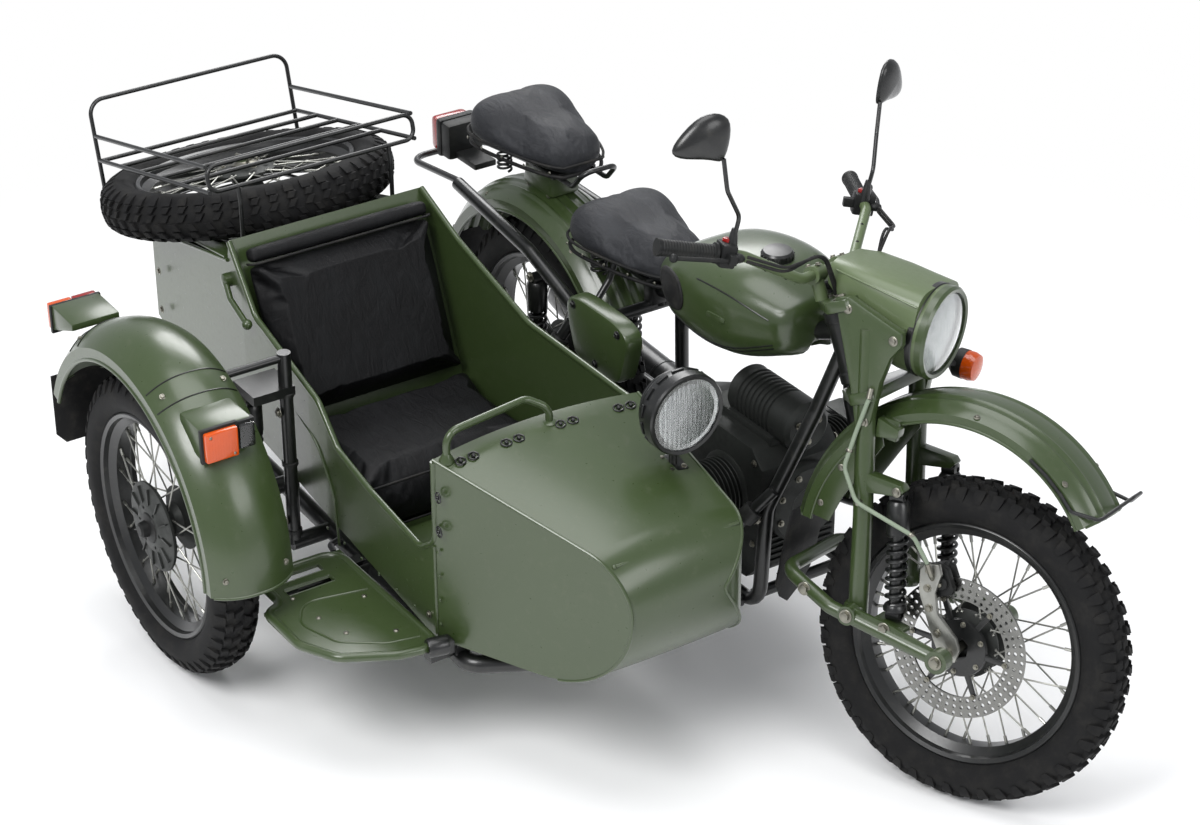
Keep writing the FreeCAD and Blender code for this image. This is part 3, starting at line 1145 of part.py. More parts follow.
def sidecar_frame():
    """Perimeter tubes under the body, its uprights, and the arms that join it to the motorcycle."""
    z = SIDECAR_RAIL_Z
    outer_y, inner_y = SIDECAR_RAIL_YS
    radius = SIDECAR_RAIL_RADIUS
    back_z = z + REAR_RISE
    parts = [bent_rod([
        (RAIL_FRONT_X, inner_y, z), (RAIL_FRONT_X - 10.0, outer_y + 200.0, z),
        (RAIL_FRONT_X - 120.0, outer_y, z), (RAIL_BACK_X, outer_y, back_z),
    ], radius, 40.0)]
    parts.append(rod((RAIL_FRONT_X, inner_y, z), (RAIL_BACK_X, inner_y, back_z), radius))
    for x, rise in ((RAIL_BACK_X, REAR_RISE), (500.0, 22.0)):
        parts.append(rod((x, outer_y, z + rise), (x, inner_y, z + rise), radius))
    for y in (outer_y, inner_y):
        pad = (y - PAD_HALF_WIDTH, y + PAD_HALF_WIDTH)
        parts.append(block((FLOOR_LEVEL_X + 16.0, FLOOR_LEVEL_X + 56.0), pad, (z, FLOOR_Z - REST_GAP)))
        parts.append(block((RAIL_BACK_X - 20.0, RAIL_BACK_X + 20.0), pad, (back_z, TAIL_FLOOR_Z)))
    cradle = -CRADLE_HALF_WIDTH - FRAME_TUBE_RADIUS - REST_GAP
    for x in CRADLE_CROSS_XS:
        parts.append(rod((x, inner_y, z), (x, cradle, CRADLE_Z), OUTRIGGER_RADIUS))
    for start, end in (
        ((900.0, inner_y + 30.0, z), (1040.0, cradle + 20.0, 520.0)),
        ((230.0, inner_y, z + 30.0), (300.0, cradle, FRAME_KNEE[1])),
    ):
        parts.append(rod(start, end, BRACE_RADIUS))
    x, y = OUTRIGGER_X, OUTRIGGER_Y
    parts.append(rod((x, outer_y, z + 30.0), (x, y - 8.0, z + 30.0), 18.0))
    parts.append(rod((x, y, z + 30.0), (x, y, FENDER_STAY_Z + 12.0), OUTRIGGER_RADIUS))
    shock_x, shock_y = SIDECAR_SHOCK
    parts.append(block(
        (shock_x - 28.0, x + OUTRIGGER_RADIUS), (shock_y - SHOCK_RADIUS, y + OUTRIGGER_RADIUS),
        (SIDECAR_SHOCK_TOP + REST_GAP, SIDECAR_SHOCK_TOP + 22.0)))
    skirt = -SIDECAR_TRACK + SIDECAR_FENDER_HALF_WIDTH + REST_GAP
    parts.append(rod((x, y, FENDER_STAY_Z), (x, skirt, FENDER_STAY_Z), 9.0))
    reach = FOOTBOARD_INNER_Y - 20.0
    for x in FOOTBOARD_ARM_XS:
        arm = (x - 15.0, x + 15.0)
        parts.append(block(arm, (reach, outer_y + 5.0), (z + 10.0, FOOTBOARD_Z - 16.0)))
        parts.append(block(arm, (reach, TUB_OUTER_Y - 6.0), (FOOTBOARD_Z - 26.0, FOOTBOARD_Z - REST_GAP)))
    x = SIDECAR_ARM_PIVOT_X
    parts.append(rod((x, outer_y, z + 24.0), (x, SIDECAR_ARM_Y - 27.0, z + 24.0), SIDECAR_ARM_PIVOT_RADIUS))
    tub_room = tub_solid(0.0)
    tub_room.translate(vec(0.0, 0.0, -REST_GAP))
    return fused(parts).cut(main_frame()).cut(tub_room)


def sidecar_swing_arm():
    """Trailing arm from its pivot on the frame to the sidecar wheel's axle."""
    axle = SIDECAR_AXLE
    x, z = SIDECAR_ARM_PIVOT_X, SIDECAR_RAIL_Z + 24.0
    inner = SIDECAR_ARM_Y
    shock_x, shock_y = SIDECAR_SHOCK
    parts = [
        rod((x, inner, z), (axle.x, inner, axle.z), SWING_ARM_RADIUS),
        rod((x, inner - 16.0, z), (x, inner + 16.0, z), 26.0),
        rod((axle.x, inner, axle.z), (axle.x, axle.y - HUB_HALF_WIDTH - 8.0, axle.z), AXLE_RADIUS),
        rod((axle.x, inner - 24.0, axle.z), (axle.x, shock_y + 132.0, axle.z), 19.0),
        block((shock_x - 22.0, shock_x + 20.0), (inner - 5.0, shock_y + 22.0),
              (axle.z - 26.0, axle.z + 20.0)),
    ]
    room = rod((x, inner + 85.0, z), (x, inner - 115.0, z), SIDECAR_ARM_PIVOT_RADIUS + REST_GAP)
    return fused(parts).cut(room)


def sidecar_fender():
    """Wide crowned guard over the sidecar wheel."""
    centre = (SIDECAR_FENDER_CENTRE[0], -SIDECAR_TRACK, SIDECAR_FENDER_CENTRE[1])
    return mudguard(centre, SIDECAR_FENDER_RADIUS, SIDECAR_FENDER_HALF_WIDTH, SIDECAR_FENDER_DROP,
                    SIDECAR_FENDER_ANGLES)


def sidecar_lamps():
    """Front and rear lamp boxes seated on the sidecar guard."""
    y = -SIDECAR_TRACK
    boxes = [
        block((400.0, 520.0), (y - 66.0, y + 59.0), (664.0, 742.0)),
        block((-252.0, -120.0), (y - 61.0, y + 61.0), (640.0, 708.0)),
    ]
    centre = vec(SIDECAR_FENDER_CENTRE[0], -SIDECAR_TRACK, SIDECAR_FENDER_CENTRE[1])
    room = disc_about_y(centre, SIDECAR_FENDER_RADIUS + REST_GAP, -200.0, 200.0)
    return Part.makeCompound([box.cut(room).Solids[0] for box in boxes])


def footboard():
    """D-shaped step between body and wheel."""
    inner, step, outer = FOOTBOARD_INNER_Y, -SIDECAR_TRACK + 69.0, -SIDECAR_TRACK + 23.0
    outline = [
        (430.0, inner), (430.0, step), (548.0, step), (560.0, outer), (700.0, outer), (790.0, step),
        (850.0, -930.0), (870.0, inner),
    ]
    top = FOOTBOARD_Z + FOOTBOARD_THICKNESS
    plate = plan_slab(outline, FOOTBOARD_Z, top)
    for x in (455.0, 505.0):
        plate = plate.cut(block((x, x + 26.0), (step + 30.0, inner - 68.0), (FOOTBOARD_Z - 6.0, top + 6.0)))
    return plate


def spot_lamp():
    """Round lamp on the body's inner top edge."""
    x, y, z = SPOT_LAMP
    bowl_end = vec(x + 2.0 - SPOT_BOWL_DEPTH, y, z)
    bowl = Part.makeCone(SPOT_BOWL_RADIUS, SPOT_LAMP_RADIUS, SPOT_BOWL_DEPTH, bowl_end, vec(1, 0, 0))
    ring = Part.makeCylinder(SPOT_LAMP_RADIUS, SPOT_LAMP_DEPTH, vec(x + 2.0, y, z), vec(1, 0, 0))
    post = rod((x, y, z - 60.0), (x, y, 640.0), 9.0)
    return fused([bowl, ring, post]).cut(tub_solid(-REST_GAP))


# ---- lid, rack and spare wheel, in the lid's own frame

def trunk_lid():
    """Pressed lid over the trunk, hinged at the tail."""
    outline = [
        (14.0, TUB_OUTER_Y + 60.0), (LID_LENGTH - 6.0, TUB_OUTER_Y + 10.0),
        (LID_LENGTH - 6.0, TUB_INNER_Y - 4.0), (14.0, TUB_INNER_Y - 54.0),
    ]
    return plan_slab(outline, -LID_THICKNESS, 0.0)


def luggage_hoop():
    """Tall closed hoop behind the spare wheel, and the two skids under it that are bolted to the lid."""
    low_y, high_y = TUB_MIDDLE_Y - RACK_HALF_WIDTH, TUB_MIDDLE_Y + RACK_HALF_WIDTH
    x = RACK_BACK_X
    r = RACK_ROD_RADIUS
    base = r + REST_GAP
    parts = [bent_rod([
        (x, TUB_MIDDLE_Y, base), (x, low_y, base), (x, low_y, RACK_HOOP_W), (x, high_y, RACK_HOOP_W),
        (x, high_y, base), (x, TUB_MIDDLE_Y - 1.0, base),
    ], r, 36.0)]
    for y in (TUB_MIDDLE_Y - SKID_OFFSET, TUB_MIDDLE_Y + SKID_OFFSET):
        parts.append(rod((x, y, base), (LID_LENGTH - 6.0, y, base), r))
    return fused(parts)


def luggage_basket():
    """Floor rods, side rails and the low front loop of the rack above the spare wheel."""
    low_y, high_y = TUB_MIDDLE_Y - RACK_HALF_WIDTH, TUB_MIDDLE_Y + RACK_HALF_WIDTH
    back = RACK_BACK_X + RACK_ROD_RADIUS + REST_GAP
    front = LID_LENGTH + 10.0
    r = RACK_ROD_RADIUS
    w = RACK_FLOOR_W
    top = w + RACK_RAIL_RISE
    parts = []
    for y in (low_y, high_y):
        parts.append(rod((back, y, w), (front, y, w), r))
        parts.append(rod((back, y, top), (front, y, top), r))
    parts.append(bent_rod([
        (front, TUB_MIDDLE_Y, w), (front, low_y, w), (front, low_y, top), (front, high_y, top),
        (front, high_y, w), (front, TUB_MIDDLE_Y - 1.0, w),
    ], r, 24.0))
    for index in range(RACK_FLOOR_RODS):
        x = back + 8.0 + (front - back - 60.0) * index / RACK_FLOOR_RODS
        parts.append(rod((x, low_y, w), (x, high_y, w), r))
    for y in (TUB_MIDDLE_Y - SKID_OFFSET, TUB_MIDDLE_Y + SKID_OFFSET):
        parts.append(bent_rod([(front, y, w), (front - 2.0, y, w - 40.0), (LID_LENGTH - 14.0, y, 3.0 * r),
                               (LID_LENGTH - 14.0, y, 2.0 * r + 2.0 * REST_GAP)], r, 4.0))
    return fused(parts)


def laid_on_lid(shape):
    """Lay a wheel piece made about the Y axis flat above the lid's skids."""
    laid = shape.copy()
    laid.rotate(vec(0, 0, 0), vec(1, 0, 0), 90.0)
    laid.translate(vec(SPARE_X, SPARE_Y, SPARE_LIFT))
    return on_lid(laid)


def spare_post():
    """Stud and nut on the lid that clamp the spare wheel's hub."""
    x, y = SPARE_X, SPARE_Y
    hub_low, hub_high = SPARE_LIFT - HUB_HALF_WIDTH, SPARE_LIFT + HUB_HALF_WIDTH
    stud = rod((x, y, 0.0), (x, y, hub_high + 16.0), AXLE_RADIUS - 1.0)
    foot = rod((x, y, 0.0), (x, y, hub_low - REST_GAP), SPARE_STUD_FOOT_RADIUS)
    nut = rod((x, y, hub_high + REST_GAP), (x, y, hub_high + 14.0), SPARE_NUT_RADIUS)
    return fused([stud, foot, nut])


def assembly():
    """Every node's name and its shape, in the layout frame."""
    spare = vec(0.0, 0.0, 0.0)
    nodes = {
        "main_frame": main_frame(),
        "engine_crankcase": engine_crankcase(),
        "engine_cylinders": pair(engine_cylinder()),
        "gearbox": gearbox(),
        "rear_swing_arm": rear_swing_arm(),
        "exhaust": pair(exhaust()),
        "shock_absorbers": shock_absorbers(),
        "fuel_tank": fuel_tank(),
        "driver_seat": saddle(DRIVER_SEAT),
        "passenger_seat": saddle(PASSENGER_SEAT),
        "seat_carriers": seat_carriers(),
        "rear_fender": rear_fender(),
        "mud_flaps": mud_flaps(),
        "tail_light": tail_light(),
        "side_boxes": pair(side_box()),
        "foot_pegs": pair(foot_peg()),
        "sidecar_frame": sidecar_frame(),
        "sidecar_swing_arm": sidecar_swing_arm(),
        "tub_shell": tub_shell(),
        "tub_nose": tub_nose(),
        "seat_back": seat_back(),
        "seat_cushion": seat_cushion(),
        "cowl_grab_bar": cowl_grab_bar(),
        "sidecar_fender": sidecar_fender(),
        "sidecar_lamps": sidecar_lamps(),
        "footboard": footboard(),
        "spot_lamp": spot_lamp(),
        "trunk_lid": on_lid(fused([trunk_lid(), spare_post()])),
        "luggage_hoop": on_lid(luggage_hoop()),
        "luggage_basket": on_lid(luggage_basket()),
        "spare_tyre": laid_on_lid(tyre(spare)),
        "spare_rim": laid_on_lid(rim(spare)),
        "spare_spoked_hub": laid_on_lid(spoked_hub(spare)),
        "fork": steered(fork()),
        "link_arm": steered(link_arm()),
        "front_shocks": steered(front_shocks()),
        "front_fender": steered(front_fender()),
        "front_mud_flap": steered(front_mud_flap()),
        "headlight_shell": steered(headlight_shell()),
        "headlight_lens": steered(headlight_lens()),
        "handlebar": steered(handlebar()),
        "hand_controls": steered(hand_controls()),
        "mirrors": steered(mirrors()),
        "instrument": steered(instrument()),
        "turn_signal": steered(turn_signal()),
        "brake_caliper": steered(brake_caliper()),
        "brake_hose": steered(brake_hose()),
        "front_brake_disc": steered(brake_disc(FRONT_AXLE)),
    }
    for name, centre, place in (
        ("front", FRONT_AXLE, steered),
        ("rear", REAR_AXLE, lambda shape: shape),
        ("sidecar", SIDECAR_AXLE, lambda shape: shape),
    ):
        for piece, make in (("tyre", tyre), ("rim", rim), ("spoked_hub", spoked_hub)):
            nodes[f"{name}_{piece}"] = place(make(centre))
    return nodes


def main():
    """Write one file per node, moved so that the origin is the middle of the footprint."""
    nodes = assembly()
    os.makedirs("parts", exist_ok=True)
    box = Part.makeCompound(list(nodes.values())).optimalBoundingBox(False, False)
    shift = vec(-box.Center.x, -box.Center.y, -box.ZMin)
    for name, shape in nodes.items():
        placed = shape.copy()
        placed.translate(shift)
        placed.exportStep(f"parts/{name}.step")
    turn = FreeCAD.Rotation(STEER_AXIS, STEER_REST_DEG)
    front = STEER_BASE + turn.multVec(FRONT_AXLE - STEER_BASE)
    for name, point, axis in (
        ("steering", STEER_BASE, STEER_AXIS),
        ("front_wheel", front, turn.multVec(vec(0, 1, 0))),
        ("rear_wheel", REAR_AXLE, vec(0, 1, 0)),
        ("sidecar_wheel", SIDECAR_AXLE, vec(0, 1, 0)),
        ("trunk_lid", vec(LID_HINGE[0], TUB_MIDDLE_Y, LID_HINGE[1]), vec(0, -1, 0)),
    ):
        place = (point + shift) * 0.001
        at, along = ([round(value, 6) for value in triple] for triple in (place, axis))
        print(f"{name} axis at {at} along {along}")
    size = f"{box.XLength:.0f} x {box.YLength:.0f} x {box.ZLength:.0f}"
    print(f"size {size}, moved by {[round(value, 3) for value in shift]}")


main()
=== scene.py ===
"""Looks of the sidecar motorcycle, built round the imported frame.

Every sub-assembly is modelled in millimetres of its own berth: a body of the frame, and the matrix that
takes its millimetres to the frame's metres. X points forward, Y to the rider's left and Z up. Pieces of the
front end are modelled straight ahead, and its berth turns them as the vehicle is parked.
"""

import json
import logging
from collections.abc import Callable, Sequence
from dataclasses import dataclass, field
from enum import Enum
from math import copysign, cos, hypot, pi, radians, sin, sqrt, tan

import bmesh
import bpy
from mathutils import Matrix, Vector


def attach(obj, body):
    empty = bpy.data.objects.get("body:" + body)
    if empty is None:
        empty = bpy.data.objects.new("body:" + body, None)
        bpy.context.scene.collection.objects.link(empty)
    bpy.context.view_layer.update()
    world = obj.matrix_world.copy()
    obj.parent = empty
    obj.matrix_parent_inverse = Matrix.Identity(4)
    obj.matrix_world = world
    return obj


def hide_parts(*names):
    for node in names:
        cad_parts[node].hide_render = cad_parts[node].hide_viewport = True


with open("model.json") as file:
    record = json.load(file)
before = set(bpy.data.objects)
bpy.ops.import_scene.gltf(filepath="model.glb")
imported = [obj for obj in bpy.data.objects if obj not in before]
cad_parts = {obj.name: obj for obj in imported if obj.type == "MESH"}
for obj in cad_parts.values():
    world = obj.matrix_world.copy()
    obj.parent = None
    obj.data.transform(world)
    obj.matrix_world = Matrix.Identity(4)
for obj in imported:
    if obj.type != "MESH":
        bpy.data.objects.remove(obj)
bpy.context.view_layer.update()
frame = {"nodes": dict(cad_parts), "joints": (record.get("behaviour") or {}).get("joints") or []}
LOG = logging.getLogger("sidecar")

Point = Sequence[float]
SIDES = (-1.0, 1.0)
AHEAD, BACK = (1, 0, 0), (-1, 0, 0)
LEFT, RIGHT = (0, 1, 0), (0, -1, 0)
UP = (0, 0, 1)
MM = 0.001
STEERED_DEG = 26.0
RAKE_DEG = 28.0
AXLE_Z = 342.0
SIDECAR_Y = -1109.0
LID_TILT_DEG = 14.0


def joint(name: str) -> dict:
    """Record of one joint, by its name."""
    return next(entry for entry in frame["joints"] if entry["name"] == name)


def spot(x: float, z: float, turn: float, radius: float, y: float = 0.0) -> Vector:
    """Point on a circle about Y: its centre, the angle up from +X in degrees, the radius and Y."""
    angle = radians(turn)
    return Vector((x + radius * cos(angle), y, z + radius * sin(angle)))


def blend(low: float, high: float, share: float) -> float:
    """Value at a share of the way from low to high."""
    return low + (high - low) * share


def across(points: Sequence[Point]) -> list[Point]:
    """Run over the middle plane: the mirror images of the points, then the points from last to first."""
    return [(x, -y, z) for x, y, z in points] + list(points)[::-1]


def ease(share: float) -> float:
    """Smooth start and stop between 0 and 1."""
    held = min(max(share, 0.0), 1.0)
    return held * held * (3.0 - 2.0 * held)


def linked(name: str, data: bpy.types.ID) -> bpy.types.Object:
    """Object of a mesh, lamp or camera, in the scene.

    Args:
        name: the object's name.
        data: what it shows.

    Returns:
        The object.
    """
    holder = bpy.data.objects.new(name, data)
    bpy.context.scene.collection.objects.link(holder)
    return holder


# ---------------------------------------------------------------- berths

@dataclass(frozen=True)
class Berth:
    """Where pieces are built: the body they ride on and the matrix from millimetres to the frame."""

    body: str
    matrix: Matrix

    def moved(self, offset: Point, turn: Matrix | None = None, body: str | None = None) -> "Berth":
        """Berth of a part that is built about its own middle.

        Args:
            offset: the middle, in this berth's millimetres.
            turn: extra turn about that middle.
            body: body it rides on, if another.

        Returns:
            The new berth.
        """
        matrix = self.matrix @ Matrix.Translation(Vector(offset))
        if turn is not None:
            matrix = matrix @ turn
        return Berth(body or self.body, matrix)


@dataclass(frozen=True)
class Layout:
    """The main centres of the vehicle, from the ground point under the rear axle."""

    tyre_radius: float = AXLE_Z
    sidecar_axle: tuple[float, float, float] = (179.0, SIDECAR_Y, AXLE_Z)
    stem_foot: float = 1560.0
    hinge: tuple[float, float, float] = (-530.0, 0.0, 683.0)
    spare: tuple[float, float, float] = (148.0, -582.0, 64.6)

    def chassis(self) -> Berth:
        """Berth of all that is fixed to the main frame."""
        rear = joint("rear_wheel_spin")["pos_m"]
        return Berth("chassis", Matrix.Translation((rear[0], rear[1], 0.0)) @ Matrix.Scale(MM, 4))

    def steering(self) -> Berth:
        """Berth of the front end, modelled straight ahead.

        Returns:
            The berth.
        """
        rake = radians(RAKE_DEG)
        axis = Vector((-sin(rake), 0.0, cos(rake)))
        foot = Matrix.Translation((self.stem_foot, 0.0, 0.0))
        turn = foot @ Matrix.Rotation(radians(STEERED_DEG), 4, axis) @ foot.inverted()
        return Berth("steering", self.chassis().matrix @ turn)

    def front_axle(self) -> Vector:
        """Middle of the front wheel straight ahead, in the steering's millimetres."""
        return self.steering().matrix.inverted() @ Vector(joint("front_wheel_spin")["pos_m"])

    def lid(self) -> Berth:
        """Berth of the trunk lid: X up the lid from its hinge, Z square to it."""
        tilt = Matrix.Rotation(radians(-LID_TILT_DEG), 4, "Y")
        return self.chassis().moved(self.hinge, tilt, "trunk_lid")

    def wheels(self) -> dict[str, Berth]:
        """Berths of the four wheels, each about its own axle along Y.

        Returns:
            The berths by the wheels' names.
        """
        laid = Matrix.Rotation(radians(90.0), 4, "X")
        return {
            "front": self.steering().moved(self.front_axle(), None, "front_wheel"),
            "rear": self.chassis().moved((0.0, 0.0, self.tyre_radius), None, "rear_wheel"),
            "sidecar": self.chassis().moved(self.sidecar_axle, None, "sidecar_wheel"),
            "spare": self.lid().moved(self.spare, laid),
        }


LAYOUT = Layout()


# ---------------------------------------------------------------- mesh building

class Form:
    """A mesh under construction, in the millimetres of its berth."""

    def __init__(self) -> None:
        """Start with nothing."""
        self.mesh = bmesh.new()

    def ring(self, points: Sequence[Point]) -> list[bmesh.types.BMVert]:
        """Add loose vertices and return them in order."""
        return [self.mesh.verts.new(Vector(point)) for point in points]

    def skin(self, rings: Sequence[Sequence[Point]], around: bool = True, caps: bool = True,
             loop: bool = False) -> "Form":
        """Skin a row of rings with quads.

        Args:
            rings: the rings, all of one length.
            around: whether each ring closes on itself.
            caps: whether the first and last ring are filled.
            loop: whether the last ring joins the first.

        Returns:
            This form.
        """
        rows = [self.ring(points) for points in rings]
        count = len(rows[0])
        pairs = list(zip(rows, rows[1:])) + ([(rows[-1], rows[0])] if loop else [])
        for low, high in pairs:
            for index in range(count if around else count - 1):
                after = (index + 1) % count
                self.mesh.faces.new((low[index], low[after], high[after], high[index]))
        if caps and not loop and around:
            self.mesh.faces.new(rows[0])
            self.mesh.faces.new(rows[-1])
        return self

    def lathe(self, profile: Sequence[tuple[float, float]], sides: int = 64, centre: Point = (0.0, 0.0, 0.0),
              axis: Point = (0.0, 1.0, 0.0), closed: bool = False) -> "Form":
        """Turn a profile of (radius, place along the axis) about an axis.

        Args:
            profile: the points; a radius of 0 closes the form there.
            sides: facets round the axis.
            centre: a point on the axis.
            axis: its direction.
            closed: whether the profile's last point joins its first.

        Returns:
            This form.
        """
        along = Vector(axis).normalized()
        across = along.orthogonal().normalized()
        third = along.cross(across)
        rows = []
        for radius, place in profile:
            middle = Vector(centre) + along * place
            if radius < 1e-6:
                rows.append([self.mesh.verts.new(middle)])
                continue
            turns = [2.0 * pi * index / sides for index in range(sides)]
            rows.append(self.ring([middle + (across * cos(t) + third * sin(t)) * radius for t in turns]))
        pairs = list(zip(rows, rows[1:])) + ([(rows[-1], rows[0])] if closed else [])
        for low, high in pairs:
            for index in range(sides):
                after = (index + 1) % sides
                corners = [low[index % len(low)], low[after % len(low)], high[after % len(high)],
                           high[index % len(high)]]
                unique = list(dict.fromkeys(corners))
                if len(unique) > 2:
                    self.mesh.faces.new(unique)
        if not closed:
            for row in (rows[0], rows[-1]):
                if len(row) > 1:
                    self.mesh.faces.new(row)
        return self

    def tube(self, points: Sequence[Point], radius: float, bend: float = 0.0, sides: int = 14,
             flat: float = 1.0, loop: bool = False) -> "Form":
        """Sweep a round bar along points, with its corners rounded.

        Args:
            points: the corners of the run.
            radius: of the bar.
            bend: radius of the corners.
            sides: facets round the bar.
            flat: share of the radius kept on the second axis, for a flattened bar.
            loop: whether the run closes on itself.

        Returns:
            This form.
        """
        path = rounded_path([Vector(point) for point in points], bend, loop)
        count = len(path)
        tangents = []
        for index in range(count):
            ahead = path[(index + 1) % count] if loop else path[min(index + 1, count - 1)]
            behind = path[index - 1] if loop or index else path[0]
            tangents.append((ahead - behind).normalized())
        across = tangents[0].orthogonal().normalized()
        rings = []
        for place, tangent in zip(path, tangents):
            across = (across - tangent * across.dot(tangent)).normalized()
            third = tangent.cross(across)
            turns = [2.0 * pi * index / sides for index in range(sides)]
            rings.append([place + across * (radius * cos(t)) + third * (radius * flat * sin(t))
                          for t in turns])
        return self.skin(rings, loop=loop)

    def block(self, x: Point, y: Point, z: Point, bevel: float = 0.0, turn: Matrix | None = None) -> "Form":
        """Add a box between the low and high values of each axis, with its edges eased.

        Args:
            x: low and high along X.
            y: low and high along Y.
            z: low and high along Z.
            bevel: width of the eased edges.
            turn: matrix applied about the origin.

        Returns:
            This form.
        """
        part = bmesh.new()
        rows = [[part.verts.new((a, b, c))
                 for a, b in ((x[0], y[0]), (x[1], y[0]), (x[1], y[1]), (x[0], y[1]))] for c in z]
        part.faces.new(rows[0][::-1])
        part.faces.new(rows[1])
        for index in range(4):
            after = (index + 1) % 4
            part.faces.new((rows[0][index], rows[0][after], rows[1][after], rows[1][index]))
        return self.join(part, bevel, turn)

    def slab(self, outline: Sequence[tuple[float, float]], low: float, high: float, axis: str = "Y",
             bevel: float = 0.0, turn: Matrix | None = None) -> "Form":
        """Extrude a flat outline along an axis.

        Args:
            outline: points of the outline, on the other two axes in order.
            low: where the slab starts.
            high: where it ends.
            axis: X, Y or Z.
            bevel: width of the eased edges.
            turn: matrix applied about the origin.

        Returns:
            This form.
        """
        place: dict[str, Callable[[float, float, float], Point]] = {
            "X": lambda a, b, c: (c, a, b), "Y": lambda a, b, c: (a, c, b), "Z": lambda a, b, c: (a, b, c)}
        part = bmesh.new()
        rows = [[part.verts.new(place[axis](a, b, level)) for a, b in outline] for level in (low, high)]
        part.faces.new(rows[0])
        part.faces.new(rows[1][::-1])
        for index in range(len(outline)):
            after = (index + 1) % len(outline)
            part.faces.new((rows[0][index], rows[1][index], rows[1][after], rows[0][after]))
        return self.join(part, bevel, turn)

    def ball(self, centre: Point, radius: float, scale: Point = (1.0, 1.0, 1.0), detail: int = 3) -> "Form":
        """Add a round or stretched ball.

        Args:
            centre: its middle.
            radius: before it is stretched.
            scale: stretch along X, Y and Z.
            detail: subdivisions of the icosahedron.

        Returns:
            This form.
        """
        part = bmesh.new()
        size = Matrix.Diagonal(Vector(scale).to_4d()) @ Matrix.Scale(radius, 4)
        bmesh.ops.create_icosphere(part, subdivisions=detail, radius=1.0,
                                   matrix=Matrix.Translation(centre) @ size)
        return self.join(part)

    def join(self, part: bmesh.types.BMesh, bevel: float = 0.0, turn: Matrix | None = None) -> "Form":
        """Take in another mesh, with its sharp edges eased and turned into place.

        Args:
            part: the mesh, which is used up.
            bevel: width of the bevel.
            turn: matrix for it.

        Returns:
            This form.
        """
        bmesh.ops.recalc_face_normals(part, faces=part.faces)
        if bevel > 0.0:
            sharp = [edge for edge in part.edges if len(edge.link_faces) == 2
                     and edge.calc_face_angle() > 0.5]
            bmesh.ops.bevel(part, geom=sharp, offset=bevel, segments=2, profile=0.6, affect="EDGES",
                            clamp_overlap=True)
        if turn is not None:
            part.transform(turn)
        spare = bpy.data.meshes.new("part")
        part.to_mesh(spare)
        part.free()
        self.mesh.from_mesh(spare)
        bpy.data.meshes.remove(spare)
        return self

    def turned(self, matrix: Matrix) -> "Form":
        """Move everything so far by a matrix."""
        self.mesh.transform(matrix)
        return self

    def swollen(self, height: Callable[[Vector, Vector], float]) -> "Form":
        """Move each vertex along its normal by what a function of its place and normal gives.

        Args:
            height: distance to move a point, from its place.

        Returns:
            This form.
        """
        self.mesh.normal_update()
        moves = [(vert, vert.normal * height(vert.co, vert.normal)) for vert in self.mesh.verts]
        for vert, move in moves:
            vert.co += move
        return self

    def smoothed(self, levels: int) -> "Form":
        """Subdivide the mesh with smooth limits.

        Args:
            levels: of subdivision.

        Returns:
            This form.
        """
        mesh = bpy.data.meshes.new("smooth")
        bmesh.ops.remove_doubles(self.mesh, verts=self.mesh.verts, dist=0.01)
        bmesh.ops.recalc_face_normals(self.mesh, faces=self.mesh.faces)
        self.mesh.to_mesh(mesh)
        holder = linked("smooth", mesh)
        modifier = holder.modifiers.new("smooth", "SUBSURF")
        modifier.levels = levels
        modifier.render_levels = levels
        self.mesh = bmesh.new()
        self.mesh.from_mesh(evaluated_mesh(holder))
        bpy.data.objects.remove(holder)
        return self


def rounded_path(points: list[Vector], bend: float, loop: bool = False, steps: int = 6) -> list[Vector]:
    """Replace the corners of a run by arcs.

    Args:
        points: the corners.
        bend: radius of the arcs, held back where a leg is short.
        loop: whether the run closes on itself.
        steps: points along each arc.

    Returns:
        Points of the smoothed run.
    """
    if bend <= 0.0 or len(points) < 3:
        return points
    path: list[Vector] = []
    count = len(points)
    for index, corner in enumerate(points):
        if not loop and index in (0, count - 1):
            path.append(corner)
            continue
        before = points[index - 1] - corner
        after = points[(index + 1) % count] - corner
        angle = before.angle(after)
        if angle > pi - 0.02:
            path.append(corner)
            continue
        reach = min(bend / tan(angle / 2.0), before.length * 0.49, after.length * 0.49)
        radius = reach * tan(angle / 2.0)
        start = corner + before.normalized() * reach
        middle = corner + (before.normalized()
                           + after.normalized()).normalized() * (radius / sin(angle / 2.0))
        turn_axis = (start - middle).cross(corner + after.normalized() * reach - middle).normalized()
        sweep = pi - angle
        for step in range(steps + 1):
            spin = Matrix.Rotation(sweep * step / steps, 4, turn_axis)
            path.append(middle + spin @ (start - middle))
    return path


def evaluated_mesh(holder: bpy.types.Object) -> bpy.types.Mesh:
    """Plain mesh of an object with its modifiers applied.

    Args:
        holder: the object.

    Returns:
        The mesh.
    """
    bpy.context.view_layer.update()
    depsgraph = bpy.context.evaluated_depsgraph_get()
    return bpy.data.meshes.new_from_object(holder.evaluated_get(depsgraph), depsgraph=depsgraph)


